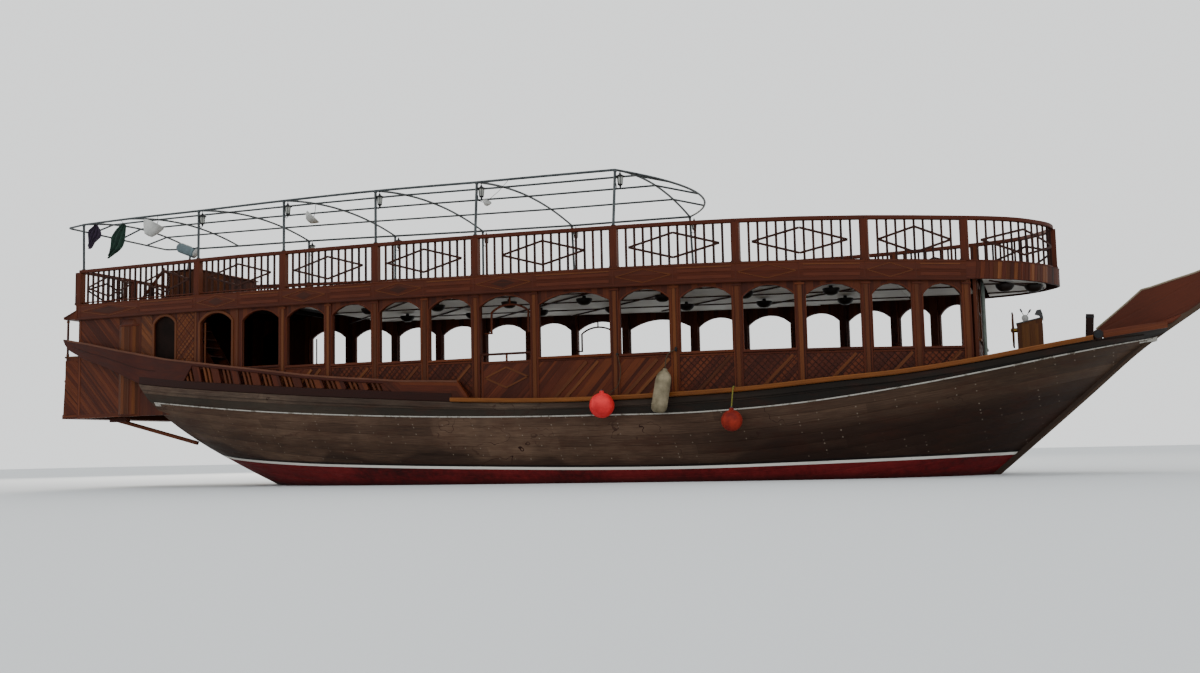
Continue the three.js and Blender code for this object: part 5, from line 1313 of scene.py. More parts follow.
for a, b in (((7.95, -0.9), (9.1, -0.65)), ((7.95, 0.9), (9.1, 0.65)), ((8.1, -1.5), (9.2, 0.3))):
    ends = [np.array([x, y, deck_top(0.0) - 0.372 - 0.028 * x]) for x, y in (a, b)]
    batten_parts.append(bars([ends[0]], [ends[1]], 0.05, 0.03, 0.004))
piece("ceiling_panels", panel_parts, ceiling_paint)
piece("ceiling_battens", batten_parts, dark_teak)
dome_profile = [(0.04, 0.06), (0.05, 0.0), (0.2, -0.01), (0.205, -0.03), (0.19, -0.08),
    (0.15, -0.13), (0.09, -0.165), (0.02, -0.175)]
dome_at = [(4.56 - 2.05 * k, y, CEILING_DROP + 0.06) for k in range(7) for y in (-1.15, 0.95)]
dome_at += [(8.4, -1.05, 0.42), (9.0, -0.55, 0.4)]
domes = [turned(np.array(dome_profile), (x, y, deck_top(x) - drop), sides=20)
    for x, y, drop in dome_at]
smoked, smoked_tree, smoked_surface = new_material("smoked_acrylic", 0.45, shader={SPECULAR: 0.15})
smoke = add(smoked_tree, "TexNoise", {"Vector": add(smoked_tree, "TexCoord", out="Object"),
    "Scale": 9.0, "Detail": 3.0, "Roughness": 0.5})
smoked_tree.links.new(add(smoked_tree, "ValToRGB", smoke,
    stops=[(0.3, "#14100e"), (0.7, "#221b18")]), smoked_surface.inputs["Base Color"])
piece("ceiling_lamps", domes, smoked)

# %% [markdown]
# ## Metal, plastic, cloth and rope
# Small fittings are painted metal, moulded plastic, cloth or rope. One recipe lets a colour drift
# between two tones with a fine bump, and rope has its strands as slanting stripes of the UV.


# %% Finishes of the fittings
def mottled(name, dark, light, scale, roughness, metallic=0.0, distance=0.001, shader=None):
    """A colour that drifts between two tones, with a fine bump of its own."""
    material, tree, surface = new_material(name, roughness, metallic, shader)
    place = add(tree, "TexCoord", out="Object")
    drift = add(tree, "TexNoise", {"Vector": place, "Scale": scale, "Detail": 5.0,
        "Roughness": 0.6})
    tree.links.new(add(tree, "ValToRGB", drift, stops=[(0.32, dark), (0.68, light)]),
        surface.inputs["Base Color"])
    fine = add(tree, "TexNoise", {"Vector": place, "Scale": scale * 9, "Detail": 3.0,
        "Roughness": 0.6})
    tree.links.new(add(tree, "Bump", {"Height": fine, "Distance": distance}),
        surface.inputs["Normal"])
    tree.links.new(add(tree, "Math", fine, 0.2, roughness - 0.1, operation="MULTIPLY_ADD"),
        surface.inputs["Roughness"])
    return material


def rope_finish(name, dark, light, radius):
    """Three strands: stripes of phase u / lay + 3 v / (2 pi r), with a lay of 5 radii."""
    material, tree, surface = new_material(name, 0.9, shader={SPECULAR: 0.2})
    place = add(tree, "UVMap", uv_map="plank")
    along, around = (add(tree, "SeparateXYZ", place, out=axis) for axis in "XY")
    turns = add(tree, "Math", around, 3 / (2 * math.pi * radius), operation="MULTIPLY")
    phase = add(tree, "Math", add(tree, "Math", along, 0.6 / radius, turns,
        operation="MULTIPLY_ADD"), operation="FRACT")
    strand = add(tree, "Math", add(tree, "Math", phase, math.pi, operation="MULTIPLY"),
        operation="SINE")
    tree.links.new(add(tree, "ValToRGB", strand, stops=[(0.05, dark), (0.8, light)]),
        surface.inputs["Base Color"])
    tree.links.new(add(tree, "Bump", {"Height": strand, "Distance": 0.004}),
        surface.inputs["Normal"])
    return material


tube_paint = mottled("dull_grey_tube_paint", "#1f2426", "#3c4345", 5.0, 0.5, shader={SPECULAR: 0.4})
black_iron = mottled("black_cast_iron", "#121213", "#232325", 14.0, 0.6, shader={SPECULAR: 0.15})
lamp_glass = mottled("frosted_lamp_glass", "#6d6f6b", "#96978f", 12.0, 0.25)
pale_plastic = mottled("weathered_white_plastic", "#9c9c99", "#bdbdb9", 4.0, 0.5)
blue_plastic = mottled("blue_grey_plastic", "#37464a", "#52646a", 5.0, 0.5)
black_plastic = mottled("black_moulded_plastic", "#0e0e10", "#1d1d20", 20.0, 0.45)
red_float = mottled("red_vinyl_float", "#b01f22", "#dd3234", 4.0, 0.5, distance=0.002,
    shader={SPECULAR: 0.15})
old_float = mottled("faded_red_vinyl_float", "#5c150f", "#8f2a1c", 5.0, 0.6, distance=0.003,
    shader={SPECULAR: 0.12})
grey_float = mottled("stained_grey_vinyl_float", "#524a38", "#8a7f68", 3.6, 0.7, distance=0.003,
    shader={SPECULAR: 0.12})
purple_cloth = mottled("dark_purple_cloth", "#17101c", "#33233a", 9.0, 0.95)
green_cloth = mottled("dark_green_cloth", "#0c211a", "#1c3a2c", 9.0, 0.95)
bronze = mottled("marine_bronze", "#6f5230", "#9c7844", 9.0, 0.4, metallic=1.0)
brass = mottled("polished_brass", "#a07a35", "#c39a4a", 12.0, 0.3, metallic=1.0)
antifouling = mottled("antifouling_red_paint", "#4a1315", "#861f22", 3.0, 0.7, distance=0.003)
hemp = rope_finish("wet_hemp_rope", "#1c1510", "#473a2a", 0.014)
yellow_rope = rope_finish("yellow_green_rope", "#3a3a18", "#77732f", 0.014)

# %% [markdown]
# ## Awning frame
# The frame is bent from round tube: posts that stand on the railing, edge tubes, arches from side
# to side, purlins along, and a round bow. Every line is a curve through the CAD's points.

# %% Awning frame
CANOPY_POSTS = [-16.28, -12.1, -9.22, -6.38, -3.55, 0.0]
CANOPY_ARCHES = [-16.28, -14.6, -12.1, -9.22, -6.38, -3.55, 0.0]
CANOPY_HALF = np.array([[-16.28, 2.33], [-14.6, 2.49], [-12.1, 2.63], [-9.22, 2.89], [-6.38, 3.1],
    [-3.55, 3.15], [0.0, 3.15]])
ARCH_HIGH, BOW_REACH, BOW_HALF, BOW_DROOP = 0.26, 1.13, 3.15, 0.06
STERN_POST_FOOT = -16.4
EDGE_TUBE, POST_TUBE, ARCH_TUBE, PURLIN_TUBE = 0.031, 0.034, 0.028, 0.026  # radii
LOOP_X, LOOP_HALF, LOOP_CORNER, LOOP_Z = -17.05, 2.13, 0.15, 7.45


def canopy_half(x):
    """Half-breadth of the awning frame."""
    return fair(np.asarray(x, float), CANOPY_HALF[:, 0], CANOPY_HALF[:, 1])


def flange(x, y, z):
    """A round foot plate with a collar."""
    profile = [(0.055, 0), (0.055, 0.012), (0.036, 0.016), (0.034, 0.05), (0.028, 0.055)]
    return turned(profile, (x, y, z), sides=14)


edge_x = np.linspace(CANOPY_POSTS[0], 0.0, 60)
side_tubes = [tube(np.stack([edge_x, -canopy_half(edge_x), canopy_edge(edge_x)], -1), EDGE_TUBE,
    12)]
for x in CANOPY_POSTS:
    foot = STERN_POST_FOOT if x == CANOPY_POSTS[0] else x
    head = (x, -canopy_half(x), canopy_edge(x))
    base = (foot, -rail_line(foot), deck_top(foot) + RAIL["height"] + 0.007)
    side_tubes.append(tube(np.linspace(base, head, 4), POST_TUBE, 12))
    side_tubes.append(flange(*base))
    side_tubes.append(turned([(0.035, -0.05), (0.043, -0.045), (0.043, 0.0), (0.035, 0.02)], head,
        sides=12))
pair("awning_side_{}", side_tubes, tube_paint, ["canopy_side_{}"])

k = np.linspace(-1, 1, 31)
top_tubes = []
for x in CANOPY_ARCHES:
    half = canopy_half(x)
    line = np.stack([np.full_like(k, x), k * half, canopy_edge(x) + ARCH_HIGH * (1 - k * k)], -1)
    top_tubes.append(tube(line, ARCH_TUBE, 10))
bow_k = np.linspace(-1, 1, 41)


def bow_loop(k):
    """The round bow of the frame: x = reach * (1 - k^2), and it droops by the same share."""
    share = 1 - np.asarray(k) ** 2
    return np.stack([BOW_REACH * share, k * BOW_HALF, canopy_edge(0.0) - BOW_DROOP * share], -1)


top_tubes.append(tube(bow_loop(bow_k), ARCH_TUBE, 10))
corner_angle = np.linspace(0, np.pi / 2, 9)
corner_line = np.stack([LOOP_X + LOOP_CORNER * (1 - np.sin(corner_angle)),
    LOOP_HALF - LOOP_CORNER * (1 - np.cos(corner_angle)), np.full(9, LOOP_Z)], -1)
half_loop = np.concatenate([[(CANOPY_ARCHES[0], 2.33, canopy_edge(CANOPY_ARCHES[0]))], corner_line])
top_tubes.append(tube(np.concatenate([half_loop, half_loop[::-1] * (1, -1, 1)]), ARCH_TUBE, 10))
for k_line in (-0.5, 0.0, 0.5):
    knots = [(LOOP_X, k_line * 2.33, LOOP_Z)]
    knots += [(x, k_line * canopy_half(x), canopy_edge(x) + ARCH_HIGH * (1 - k_line**2))
        for x in CANOPY_ARCHES]
    knots = np.array(knots + [bow_loop(np.float64(k_line))])
    line_x = np.unique(np.concatenate([np.linspace(knots[0, 0], knots[-1, 0], 60), knots[:, 0]]))
    top_tubes.append(tube(np.stack([line_x] + [np.interp(line_x, knots[:, 0], knots[:, i])
        for i in (1, 2)], -1), PURLIN_TUBE, 10))
piece("awning_arches", top_tubes, tube_paint, replaces=["canopy_arches"])

# %% [markdown]
# ## Lamps and loudspeakers on the frame
# A small lantern hangs forward of each post. Two shallow lamp bowls and a cylinder loudspeaker hang
# from the tubes near the stern.

# %% Lanterns, bowls and loudspeaker
LANTERN_CAP = [(0.008, 0.4), (0.012, 0.37), (0.03, 0.34), (0.035, 0.32), (0.11, 0.28),
    (0.118, 0.268), (0.07, 0.262)]
LANTERN_GLASS = [(0.066, 0.262), (0.072, 0.2), (0.052, 0.085)]
LANTERN_FOOT = [(0.058, 0.088), (0.06, 0.07), (0.03, 0.055), (0.02, 0.02), (0.008, 0.0)]


def lantern(x, y, z):
    """A six-sided lantern: cap, glass, four ribs and a pointed foot, on a bracket from the post."""
    made = [turned(LANTERN_CAP, (x, y, z), sides=8),
        turned(LANTERN_GLASS, (x, y, z), sides=8, finish=1)]
    made.append(turned(LANTERN_FOOT, (x, y, z), sides=8))
    for a in np.arange(6) * math.pi / 3:
        out = np.array([math.cos(a), math.sin(a), 0])
        made.append(tube(np.array([(x, y, z + 0.075), (x, y, z + 0.27)]) + out * [[0.056], [0.078]],
            0.006, 5))
    reach = np.array([(x - 0.1, y, z + 0.12), (x - 0.09, y, z + 0.02), (x - 0.04, y, z - 0.03),
        (x, y, z + 0.01)])
    return made + [tube(reach, 0.009, 7)]


lantern_parts = []
for x in CANOPY_POSTS[1:]:
    y, z = canopy_half(x), canopy_edge(x) - 0.44
    for side_y in (-y, y):
        lantern_parts += lantern(x + 0.12, side_y, z)
piece("post_lanterns", lantern_parts, [black_iron, lamp_glass])


def bowl(centre, axis, reach, deep):
    """A lamp bowl: outside, rim and inside in one turned profile, with a lamp in it."""
    profile = [(0.03, -deep), (0.12 * reach / 0.3, -0.95 * deep), (0.6 * reach, -0.7 * deep),
        (0.87 * reach, -0.3 * deep), (reach, 0.0), (0.97 * reach, 0.012),
        (0.84 * reach, -0.26 * deep), (0.56 * reach, -0.64 * deep), (0.02, -0.86 * deep)]
    return [turned(profile, centre, axis, 32), turned([(0.03, -0.8 * deep), (0.05, -0.5 * deep),
        (0.03, -0.25 * deep), (0.005, -0.2 * deep)], centre, axis, 14, 1)]


horn_centre, horn_axis = np.array([-13.78, -2.4, 7.24]), unit(np.array([0.12, 0.1, 0.35]))
dish_centre, dish_axis = np.array([-9.25, -1.5, 7.22]), unit(np.array([0.5, 0.2, 0.55]))
bowls = bowl(horn_centre, horn_axis, 0.29, 0.36) + bowl(dish_centre, dish_axis, 0.23, 0.19)
bowls += bowl(np.array([-3.3, -3.1, 6.78]), unit(np.array([0.35, -0.2, 0.5])), 0.11, 0.1)
stays = [tube([(-3.52, -3.15, 6.82), (-3.36, -3.12, 6.76), (-3.3, -3.1, 6.72)], 0.008, 7, 2),
    tube([(-3.3, -3.1, 6.8), (-3.0, -3.11, 7.0), (-2.7, -3.14, canopy_edge(-2.7))], 0.006, 7, 2),
    tube([(-13.78, -2.4, 7.0), (-13.6, -2.45, 7.3), (-13.55, -2.53, canopy_edge(-13.55))], 0.008, 7,
    2), tube([(-9.25, -1.5, 7.1), (-9.2, -1.47, 7.4), (-9.2, -1.445, canopy_edge(-9.2) + 0.19)],
    0.008, 7, 2)]
piece("lamp_bowls", bowls + stays, [pale_plastic, lamp_glass, black_iron])
speaker_axis = unit(np.array([-0.5, -0.04, 0.2]))
speaker_profile = [(0.05, 0.31), (0.1, 0.3), (0.135, 0.24), (0.14, 0.2), (0.14, -0.2),
    (0.145, -0.22), (0.145, -0.25), (0.12, -0.26)]
grille = [(0.12, -0.255), (0.1, -0.285), (0.05, -0.3), (0.005, -0.305)]
speaker_at = np.array([-12.56, -2.5, 6.4])
speaker = [turned(speaker_profile, speaker_at, speaker_axis, 28),
    turned(grille, speaker_at, speaker_axis, 28, 1)]
speaker.append(tube([speaker_at, (-12.3, -2.58, 6.42), (-12.1, -2.62, 6.44)], 0.012, 8, 2))
piece("cylinder_speaker", speaker, [blue_plastic, pale_plastic, black_iron])

# %% [markdown]
# ## Furled cloths
# Two cloths hang furled at the stern. A cloth tied at one end falls in pleats, which are waves
# across its width. The pleats are pushed along a line from the tie to the free end.


# %% Cloths
CLOTH_HALF_THICK = 0.0012


def furled(name, line, halves, pleats, deep, material):
    """A thin pleated cloth: c runs across it from -1 to 1 and s along it from 0 to 1.

    It stands deep * (0.4 + 0.6 s) * sin(pleats pi c + 2.2 s + 0.7 sin 5 s) * (1 - 0.35 c^2) off
    its line.
    """
    s, c = np.linspace(0, 1, 46)[:, None], np.linspace(-1, 1, 90)[None]
    knots = np.linspace(0, 1, len(line))
    centre = np.stack([fair(s[:, 0], knots, np.array(line)[:, i]) for i in range(3)], -1)
    down = unit(np.gradient(centre, axis=0))
    side = unit(np.cross(down, (0.0, 1.0, 0.0)))
    off = np.cross(side, down)
    half = fair(s, np.linspace(0, 1, len(halves)), np.array(halves, float))
    ragged = 1 + 0.12 * np.sin(7 * s + 2.6 * c) * s
    fold = np.sin(pleats * np.pi * c + 2.2 * s + 0.7 * np.sin(5 * s))
    wave = deep * (0.4 + 0.6 * s) * fold * (1 - 0.35 * c * c)
    spread = (half * c * ragged)[..., None] * side[:, None]
    surface = centre[:, None] + spread + wave[..., None] * off[:, None]
    surface = surface + down[:, None] * (0.09 * s * np.sin(3.3 * c + 1.0))[..., None]
    normal = unit(np.cross(np.gradient(surface, axis=0), np.gradient(surface, axis=1)))
    ring = np.concatenate([surface + normal * CLOTH_HALF_THICK,
        (surface - normal * CLOTH_HALF_THICK)[:, ::-1]], 1)
    made = piece(name, [outward(grid(ring))], material, sharp=80)
    return made


furled("purple_cloth_bundle", [(-15.86, -2.3, 7.42), (-15.93, -2.3, 7.2), (-16.0, -2.3, 7.05),
    (-16.08, -2.3, 6.83)], [0.05, 0.24, 0.2, 0.07], 4, 0.07, purple_cloth)
furled("green_furled_cloth", [(-14.9, -2.28, 7.36), (-15.02, -2.28, 7.1), (-15.15, -2.28, 6.8),
    (-15.4, -2.28, 6.5)], [0.06, 0.2, 0.23, 0.05], 3, 0.06, green_cloth)
ties = [tube([(-15.86, -2.3, 7.4), (-15.86, -2.34, 7.43),
    (-15.86, -2.37, canopy_edge(-15.86) + 0.02)], 0.006, 6),
    tube([(-14.9, -2.28, 7.34), (-14.9, -2.38, 7.42), (-14.9, -2.46, canopy_edge(-14.9) + 0.02)],
    0.006, 6)]
piece("cloth_ties", ties, hemp)

# %% [markdown]
# ## Quarter bulwarks
# The bulwark rises toward the stern as one deep plank and runs past the transom to a rounded nose.
# Forward of the deep part it is a rail on slanting slats, and it ends in a chamfered block beside
# the gate.

# %% Quarter bulwarks
QUARTER = np.array([[-16.977, 2.185, 4.216, 0.05], [-16.9, 2.194, 4.204, 0.171],
    [-16.757, 2.215, 4.177, 0.282], [-16.498, 2.258, 4.13, 0.358], [-15.992, 2.346, 4.038, 0.479],
    [-15.35, 2.44, 3.905, 0.526], [-14.761, 2.524, 3.783, 0.629], [-14.0, 2.6, 3.64, 0.8],
    [-13.0, 2.74, 3.45, 0.72], [-12.3, 2.83, 3.35, 0.56], [-12.0, 2.86, 3.309, 0.11],
    [-11.5, 2.91, 3.24, 0.11], [-10.0, 3.05, 3.04, 0.11], [-8.0, 3.21, 2.77, 0.11],
    [-6.0, 3.33, 2.58, 0.11]])
BLOCK = np.array([[-6.0, 3.33, 2.58, 0.11], [-5.49, 3.352, 2.53, 0.5], [-4.6, 3.385, 2.495, 0.5],
    [-3.96, 3.4, 2.46, 0.5], [-3.695, 3.405, 2.1, 0.5]])
QUARTER_THICK, FOOT_AFT, FOOT_FORE, FOOT_TALL = 0.11, -13.93, -4.11, 0.21


def quarter(x, column):
    """A column of the bulwark's table at x: a fair curve, but straight between rows for depth."""
    if column == 3:
        return np.interp(x, QUARTER[:, 0], QUARTER[:, 3])
    return fair(np.asarray(x, float), QUARTER[:, 0], QUARTER[:, column])


def edge_plank(x, inner, low, high, thick=QUARTER_THICK, corner=0.014, finish=0):
    """A plank on edge with eased corners, from arrays of its inner face, low and high edge."""
    c = np.minimum(corner, (high - low) / 3)
    h = thick / 2
    y = np.stack([c * 0 + h, c * 0 + h, h - c, c - h, c * 0 - h, c * 0 - h, c - h, h - c],
        1) - (inner + h)[:, None]
    z = np.stack([low + c, high - c, high, high, high - c, low + c, low, low], 1)
    return outward(grid(np.stack([np.broadcast_to(x[:, None], y.shape), y, z], -1), along=x,
        finish=finish))


def bulwark_low(x, top, depth):
    """Lower edge: the plank's depth, or just clear of the hull's sheer."""
    return np.maximum(top - depth, np.where(x > FOOT_AFT, station(x, SHEER) + 0.01, 0))


bulwark_x = np.unique(np.concatenate([np.linspace(-16.977, -16.4, 14), np.linspace(-16.4, -6.0, 90),
    [-13.0, -12.3, -12.0]]))
top, depth, inner = quarter(bulwark_x, 2), quarter(bulwark_x, 3), quarter(bulwark_x, 1)
bulwark_parts = [edge_plank(bulwark_x, inner, bulwark_low(bulwark_x, top, depth), top, finish=0)]
block_low = np.maximum(BLOCK[:, 2] - BLOCK[:, 3], station(BLOCK[:, 0], SHEER) + 0.003)
bulwark_parts.append(edge_plank(BLOCK[:, 0], BLOCK[:, 1], block_low,
    np.maximum(BLOCK[:, 2], block_low + 0.06), finish=3))
# The capping strips take finish 1, a pale painted highlight on the top edges.
bulwark_parts.append(edge_plank(BLOCK[:4, 0], BLOCK[:4, 1] - 0.012, BLOCK[:4, 2] - 0.045,
    BLOCK[:4, 2] + 0.004, 0.134, 0.01, finish=1))
bulwark_parts.append(edge_plank(bulwark_x[4:], inner[4:] - 0.012, top[4:] - 0.045, top[4:] + 0.004,
    0.134, 0.01, finish=1))
seam_x = bulwark_x[(bulwark_x > -16.6) & (bulwark_x < -13.3)]
seam_top = quarter(seam_x, 2) - 0.5 * quarter(seam_x, 3)
bulwark_parts.append(edge_plank(seam_x, quarter(seam_x, 1) + 0.08, seam_top - 0.02, seam_top, 0.04,
    0.006, finish=2))
foot_x = np.linspace(FOOT_AFT, FOOT_FORE, 60)
foot_inner = np.interp(foot_x, np.append(QUARTER[:, 0], BLOCK[1:, 0]),
    np.append(QUARTER[:, 1], BLOCK[1:, 1]))
foot_low = station(foot_x, SHEER) + 0.0005
bulwark_parts.append(edge_plank(foot_x, foot_inner - 0.007, foot_low, foot_low + FOOT_TALL, 0.124,
    finish=2))
foot_table = [np.append(QUARTER[:, i], BLOCK[1:, i]) for i in (0, 1)]
for first, wide, finish in ((-11.87, 0.22, 3), (-11.57, 0.06, 4), (-11.43, 0.06, 4)):
    slat_x = first + 0.66 * np.arange(0 if wide > 0.1 else -1, 10)
    slat_y = -np.interp(slat_x, *foot_table) - QUARTER_THICK / 2
    heads = np.stack([slat_x - 0.06, slat_y, quarter(slat_x, 2) - 0.06], -1)
    heels = np.stack([slat_x + 0.06, slat_y, station(slat_x, SHEER) + FOOT_TALL - 0.03], -1)
    bulwark_parts.append(bars(heels, heads, wide, 0.055, 0.006, up=(0.0, 1.0, 0), finish=finish))
# Its second finish is the pale painted highlight along the top edges.
bulwark_finishes = [timber("red_teak_bulwark", "#1d0804", "#35120a", "#4c2012", board=0.3,
    weathered=0.3), timber("painted_highlight_bulwark_edge", "#3d2016", "#573426", "#704f3c", roughness=0.6,
    board=0.3), timber("red_teak_foot", "#160603", "#280d07", "#39170c", board=0.3), teak,
    pillar_teak]
pair("quarter_rail_{}", bulwark_parts, bulwark_finishes, ["quarter_bulwark_{}"])

# %% [markdown]
# ## Stem, prow fin and samson post
# The stem is sawn from one log, so its outer edge is a fair curve. A thin fin of boards stands on
# it. Behind the fin a square post takes the anchor line, with a round log across the boat in front
# of it.


# %% Prow
def side_plate(outline, y0, y1, grain=0.0, finish=0):
    """A flat plate across the boat from an outline of (x, z); grain is its angle in degrees."""
    outline = np.asarray(outline, float)
    turn = math.radians(grain)
    uv = outline @ np.array([[math.cos(turn), -math.sin(turn)], [math.sin(turn), math.cos(turn)]])
    on = face([0, min(y0, y1), 0], [1.0, 0, 0], [0, 1.0, 0])
    return slab_part(outline, on, abs(y1 - y0), uv, finish=finish)


STEM_EDGE = np.array([(5.0003, -1.62), (5.9, -1.5), (6.9, -0.95), (7.95, -0.09), (8.95, 0.76),
    (10.06, 1.72), (11.18, 2.7), (12.4, 3.56), (14.45, 4.96)])
STEM_INNER = [(14.38, 5.01), (12.15, 3.5), (11.76, 3.33), (11.7, 3.11), (11.0, 2.76), (10.0, 1.89),
    (9.0, 1.025), (8.0, 0.17), (7.25, -0.44), (6.3, -1.03), (5.0003, -1.21)]
PROW_TOP = np.array([(10.273, 3.217), (10.569, 3.46), (10.908, 3.742), (11.246, 4.035),
    (11.43, 4.075), (11.841, 4.2), (12.45, 4.38), (13.2, 4.74), (13.9, 5.19), (14.4, 5.62)])
stem_teak = timber("weathered_stem_log", "#1c130e", "#35281f", "#4d3d30", board=0.3)
stem_x = np.linspace(5.0003, 14.45, 60)
stem_curve = np.stack([stem_x, fair(stem_x, STEM_EDGE[:, 0], STEM_EDGE[:, 1])], -1)
above_water = stem_curve[stem_curve[:, 0] > 7.6]
edge_line = np.stack([above_water[:, 0] - 0.004, above_water[:, 0] * 0, above_water[:, 1]], -1)
stem_parts = [side_plate(np.concatenate([stem_curve, STEM_INNER]), -0.11, 0.11, 42.0)]
stem_parts.append(sweep(edge_line, rounded(0.17, 0.03, 0.008), side=(0.0, 1.0, 0)))
piece("stem_log", stem_parts, stem_teak, replaces=["stem"])
fin_x = np.linspace(11.43, 14.4, 24)
kink = PROW_TOP[4:]
fin_top = np.concatenate([PROW_TOP[:4], np.stack([fin_x, fair(fin_x, kink[:, 0], kink[:, 1])], -1)])
fin_outline = np.concatenate([[(10.3, 3.0)], fin_top,
    [(14.64, 5.56), (14.38, 5.0103), (12.15, 3.5003), (11.76, 3.3303)]])
fin_line = np.stack([fin_top[:, 0], fin_top[:, 0] * 0, fin_top[:, 1]], -1)
fin_up = unit(np.stack([-np.gradient(fin_top[:, 1]), fin_top[:, 0] * 0, np.gradient(fin_top[:, 0])],
    -1))
fin_parts = [side_plate(fin_outline, -0.07, 0.07, 26.0)]
# The strip on the fin's top edge takes finish 1, a pale painted highlight.
fin_parts.append(sweep(fin_line, rounded(0.17, 0.04, 0.012), side=(0.0, 1.0, 0), up=fin_up,
    finish=1))
for side_y in (-1, 1):
    base = np.array([(11.3, -0.1, 3.2), (11.6, -0.12, 3.24), (11.8, -0.12, 3.31),
        (12.0, -0.1, 3.42)])
    fin_parts.append(tube(base * (1, side_y, 1), [0.06, 0.06, 0.055, 0.02], 12, finish=0))
fin_teak = timber("varnished_teak_fin", "#36170d", "#4c2113", "#5a2b19", roughness=0.5, board=0.42,
    weathered=0.25)
# A pale painted highlight on the fin's top edge.
fin_edge_highlight = timber("painted_highlight_fin_edge", "#5c4c3c", "#766957", "#8b816e", roughness=0.6, board=0.3)
piece("prow_boards", fin_parts, [fin_teak, fin_edge_highlight], replaces=["prow_fin"])
post_parts = [bars([(10.088, 0, 2.6)], [(10.155, 0, 3.555)], 0.17, 0.17, 0.014, up=(0.0, 1.0, 0))]
post_parts.append(bars([(10.15, 0, 3.47)], [(10.1535, 0, 3.52)], 0.178, 0.178, 0.014,
    up=(0.0, 1.0, 0), finish=1))
log_profile = [(0.095, -1.5), (0.105, -1.485), (0.105, 1.485), (0.095, 1.5)]
log_at = (LOG["x"], 0, LOG["z"])
post_parts.append(turned(log_profile, log_at, (0, 1, 0), 28))
for end in (-1, 1):
    post_parts.append(turned([(0.109, end * 1.36), (0.111, end * 1.365), (0.111, end * 1.415),
        (0.109, end * 1.42)], log_at, (0, 1, 0), 28, 1))
    post_parts.append(turned([(0.09, end * 1.499), (0.088, end * 1.506), (0.03, end * 1.508),
        (0.005, end * 1.509)], log_at, (0, 1, 0), 28, 1))
piece("samson_post_and_log", post_parts, [dark_teak, black_iron],
    replaces=["samson_post"])

# %% [markdown]
# ## Helm
# The console is a box of upright boards with a black top. It carries two engine levers on a pale
# drum and a hooded instrument. The wheel has turned spokes and a brass hub.

# %% Helm console and wheel
deck_at = lambda x: station(x, SHEER) - DECK_DROP
CONSOLE_AFT, CONSOLE_FORE, CONSOLE_HALF, CONSOLE_BOARDS_TOP = 8.6, 9.14, 0.32, 3.385
CONSOLE_BOARD = (0.09, 0.087, 0.008)
console_foot = deck_at(CONSOLE_FORE)
console_outline = [(CONSOLE_AFT, deck_at(CONSOLE_AFT) - 0.04), (CONSOLE_FORE, console_foot - 0.04),
    (CONSOLE_FORE, 3.5), (CONSOLE_AFT, 3.392)]
console_parts = [side_plate(console_outline, -CONSOLE_HALF, CONSOLE_HALF, 90.0)]
for face_y, out in ((-CONSOLE_HALF, -1.0), (CONSOLE_HALF, 1.0)):
    on = face([CONSOLE_AFT, face_y, 0], [1.0, 0, 0], [0, out, 0])
    console_parts += boards((0.0, 0.54, console_foot, CONSOLE_BOARDS_TOP), on, 90, *CONSOLE_BOARD,
        0.0, 0, seed=31)
for face_x, out in ((CONSOLE_AFT, -1.0), (CONSOLE_FORE, 1.0)):
    on = face([face_x, -CONSOLE_HALF, 0], [0, 1.0, 0], [out, 0, 0])
    console_parts += boards((0.0, 0.64, console_foot, CONSOLE_BOARDS_TOP), on, 90, *CONSOLE_BOARD,
        0.0, 0, seed=32)
console_parts.append(side_plate([(8.575, 3.388), (9.165, 3.506), (9.165, 3.53), (8.575, 3.412)],
    -0.345, 0.345, finish=1))
LEVER_AT, LEVER_TIPS = (8.772, 3.545), [(-0.095, 0.215), (0.125, 0.195)]
console_parts.append(turned([(0.06, -0.075), (0.075, -0.07), (0.075, -0.05), (0.05, -0.045),
    (0.05, 0.045), (0.075, 0.05), (0.075, 0.07), (0.06, 0.075)], (LEVER_AT[0], 0, LEVER_AT[1]),
    (0, 1, 0), 28, 2))
console_parts.append(bars([(LEVER_AT[0], 0, 3.41)], [(LEVER_AT[0], 0, LEVER_AT[1])], 0.1, 0.09,
    0.01, up=(1.0, 0, 0), finish=1))
for (dx, dz), y in zip(LEVER_TIPS, (-0.035, 0.035)):
    pivot = np.array([LEVER_AT[0], y, LEVER_AT[1]])
    tip = pivot + (dx, 0, dz)
    console_parts.append(tube(np.linspace(pivot, pivot + (tip - pivot) * 0.75, 3), 0.009, 10, 2))
    console_parts.append(turned([(0.009, 0.15), (0.017, 0.155), (0.02, 0.19), (0.017, 0.235),
        (0.006, 0.242)], pivot, tip - pivot, 14, 1))
hood_line = [(8.99, 3.6), (9.03, 3.69), (9.12, 3.705), (9.155, 3.6), (9.165, 3.5), (9.1, 3.49),
    (9.08, 3.57)]
console_parts.append(side_plate(hood_line, -0.28, -0.08, finish=1))
console_parts.append(side_plate([(8.984, 3.602), (9.026, 3.688), (9.03, 3.686), (8.989, 3.6)],
    -0.265, -0.095, finish=2))
console_boards = timber("varnished_console_boards", "#311609", "#4d2a11", "#623d1a", roughness=0.45,
    board=0.3, weathered=0.1)
piece("helm", console_parts, [console_boards, black_plastic, pale_plastic],
    replaces=["helm_console"])

WHEEL_AT, RIM, SPOKE = np.array([8.5, 0.0, 3.28]), 0.345, 0.455
HOOP_SIDES = 48


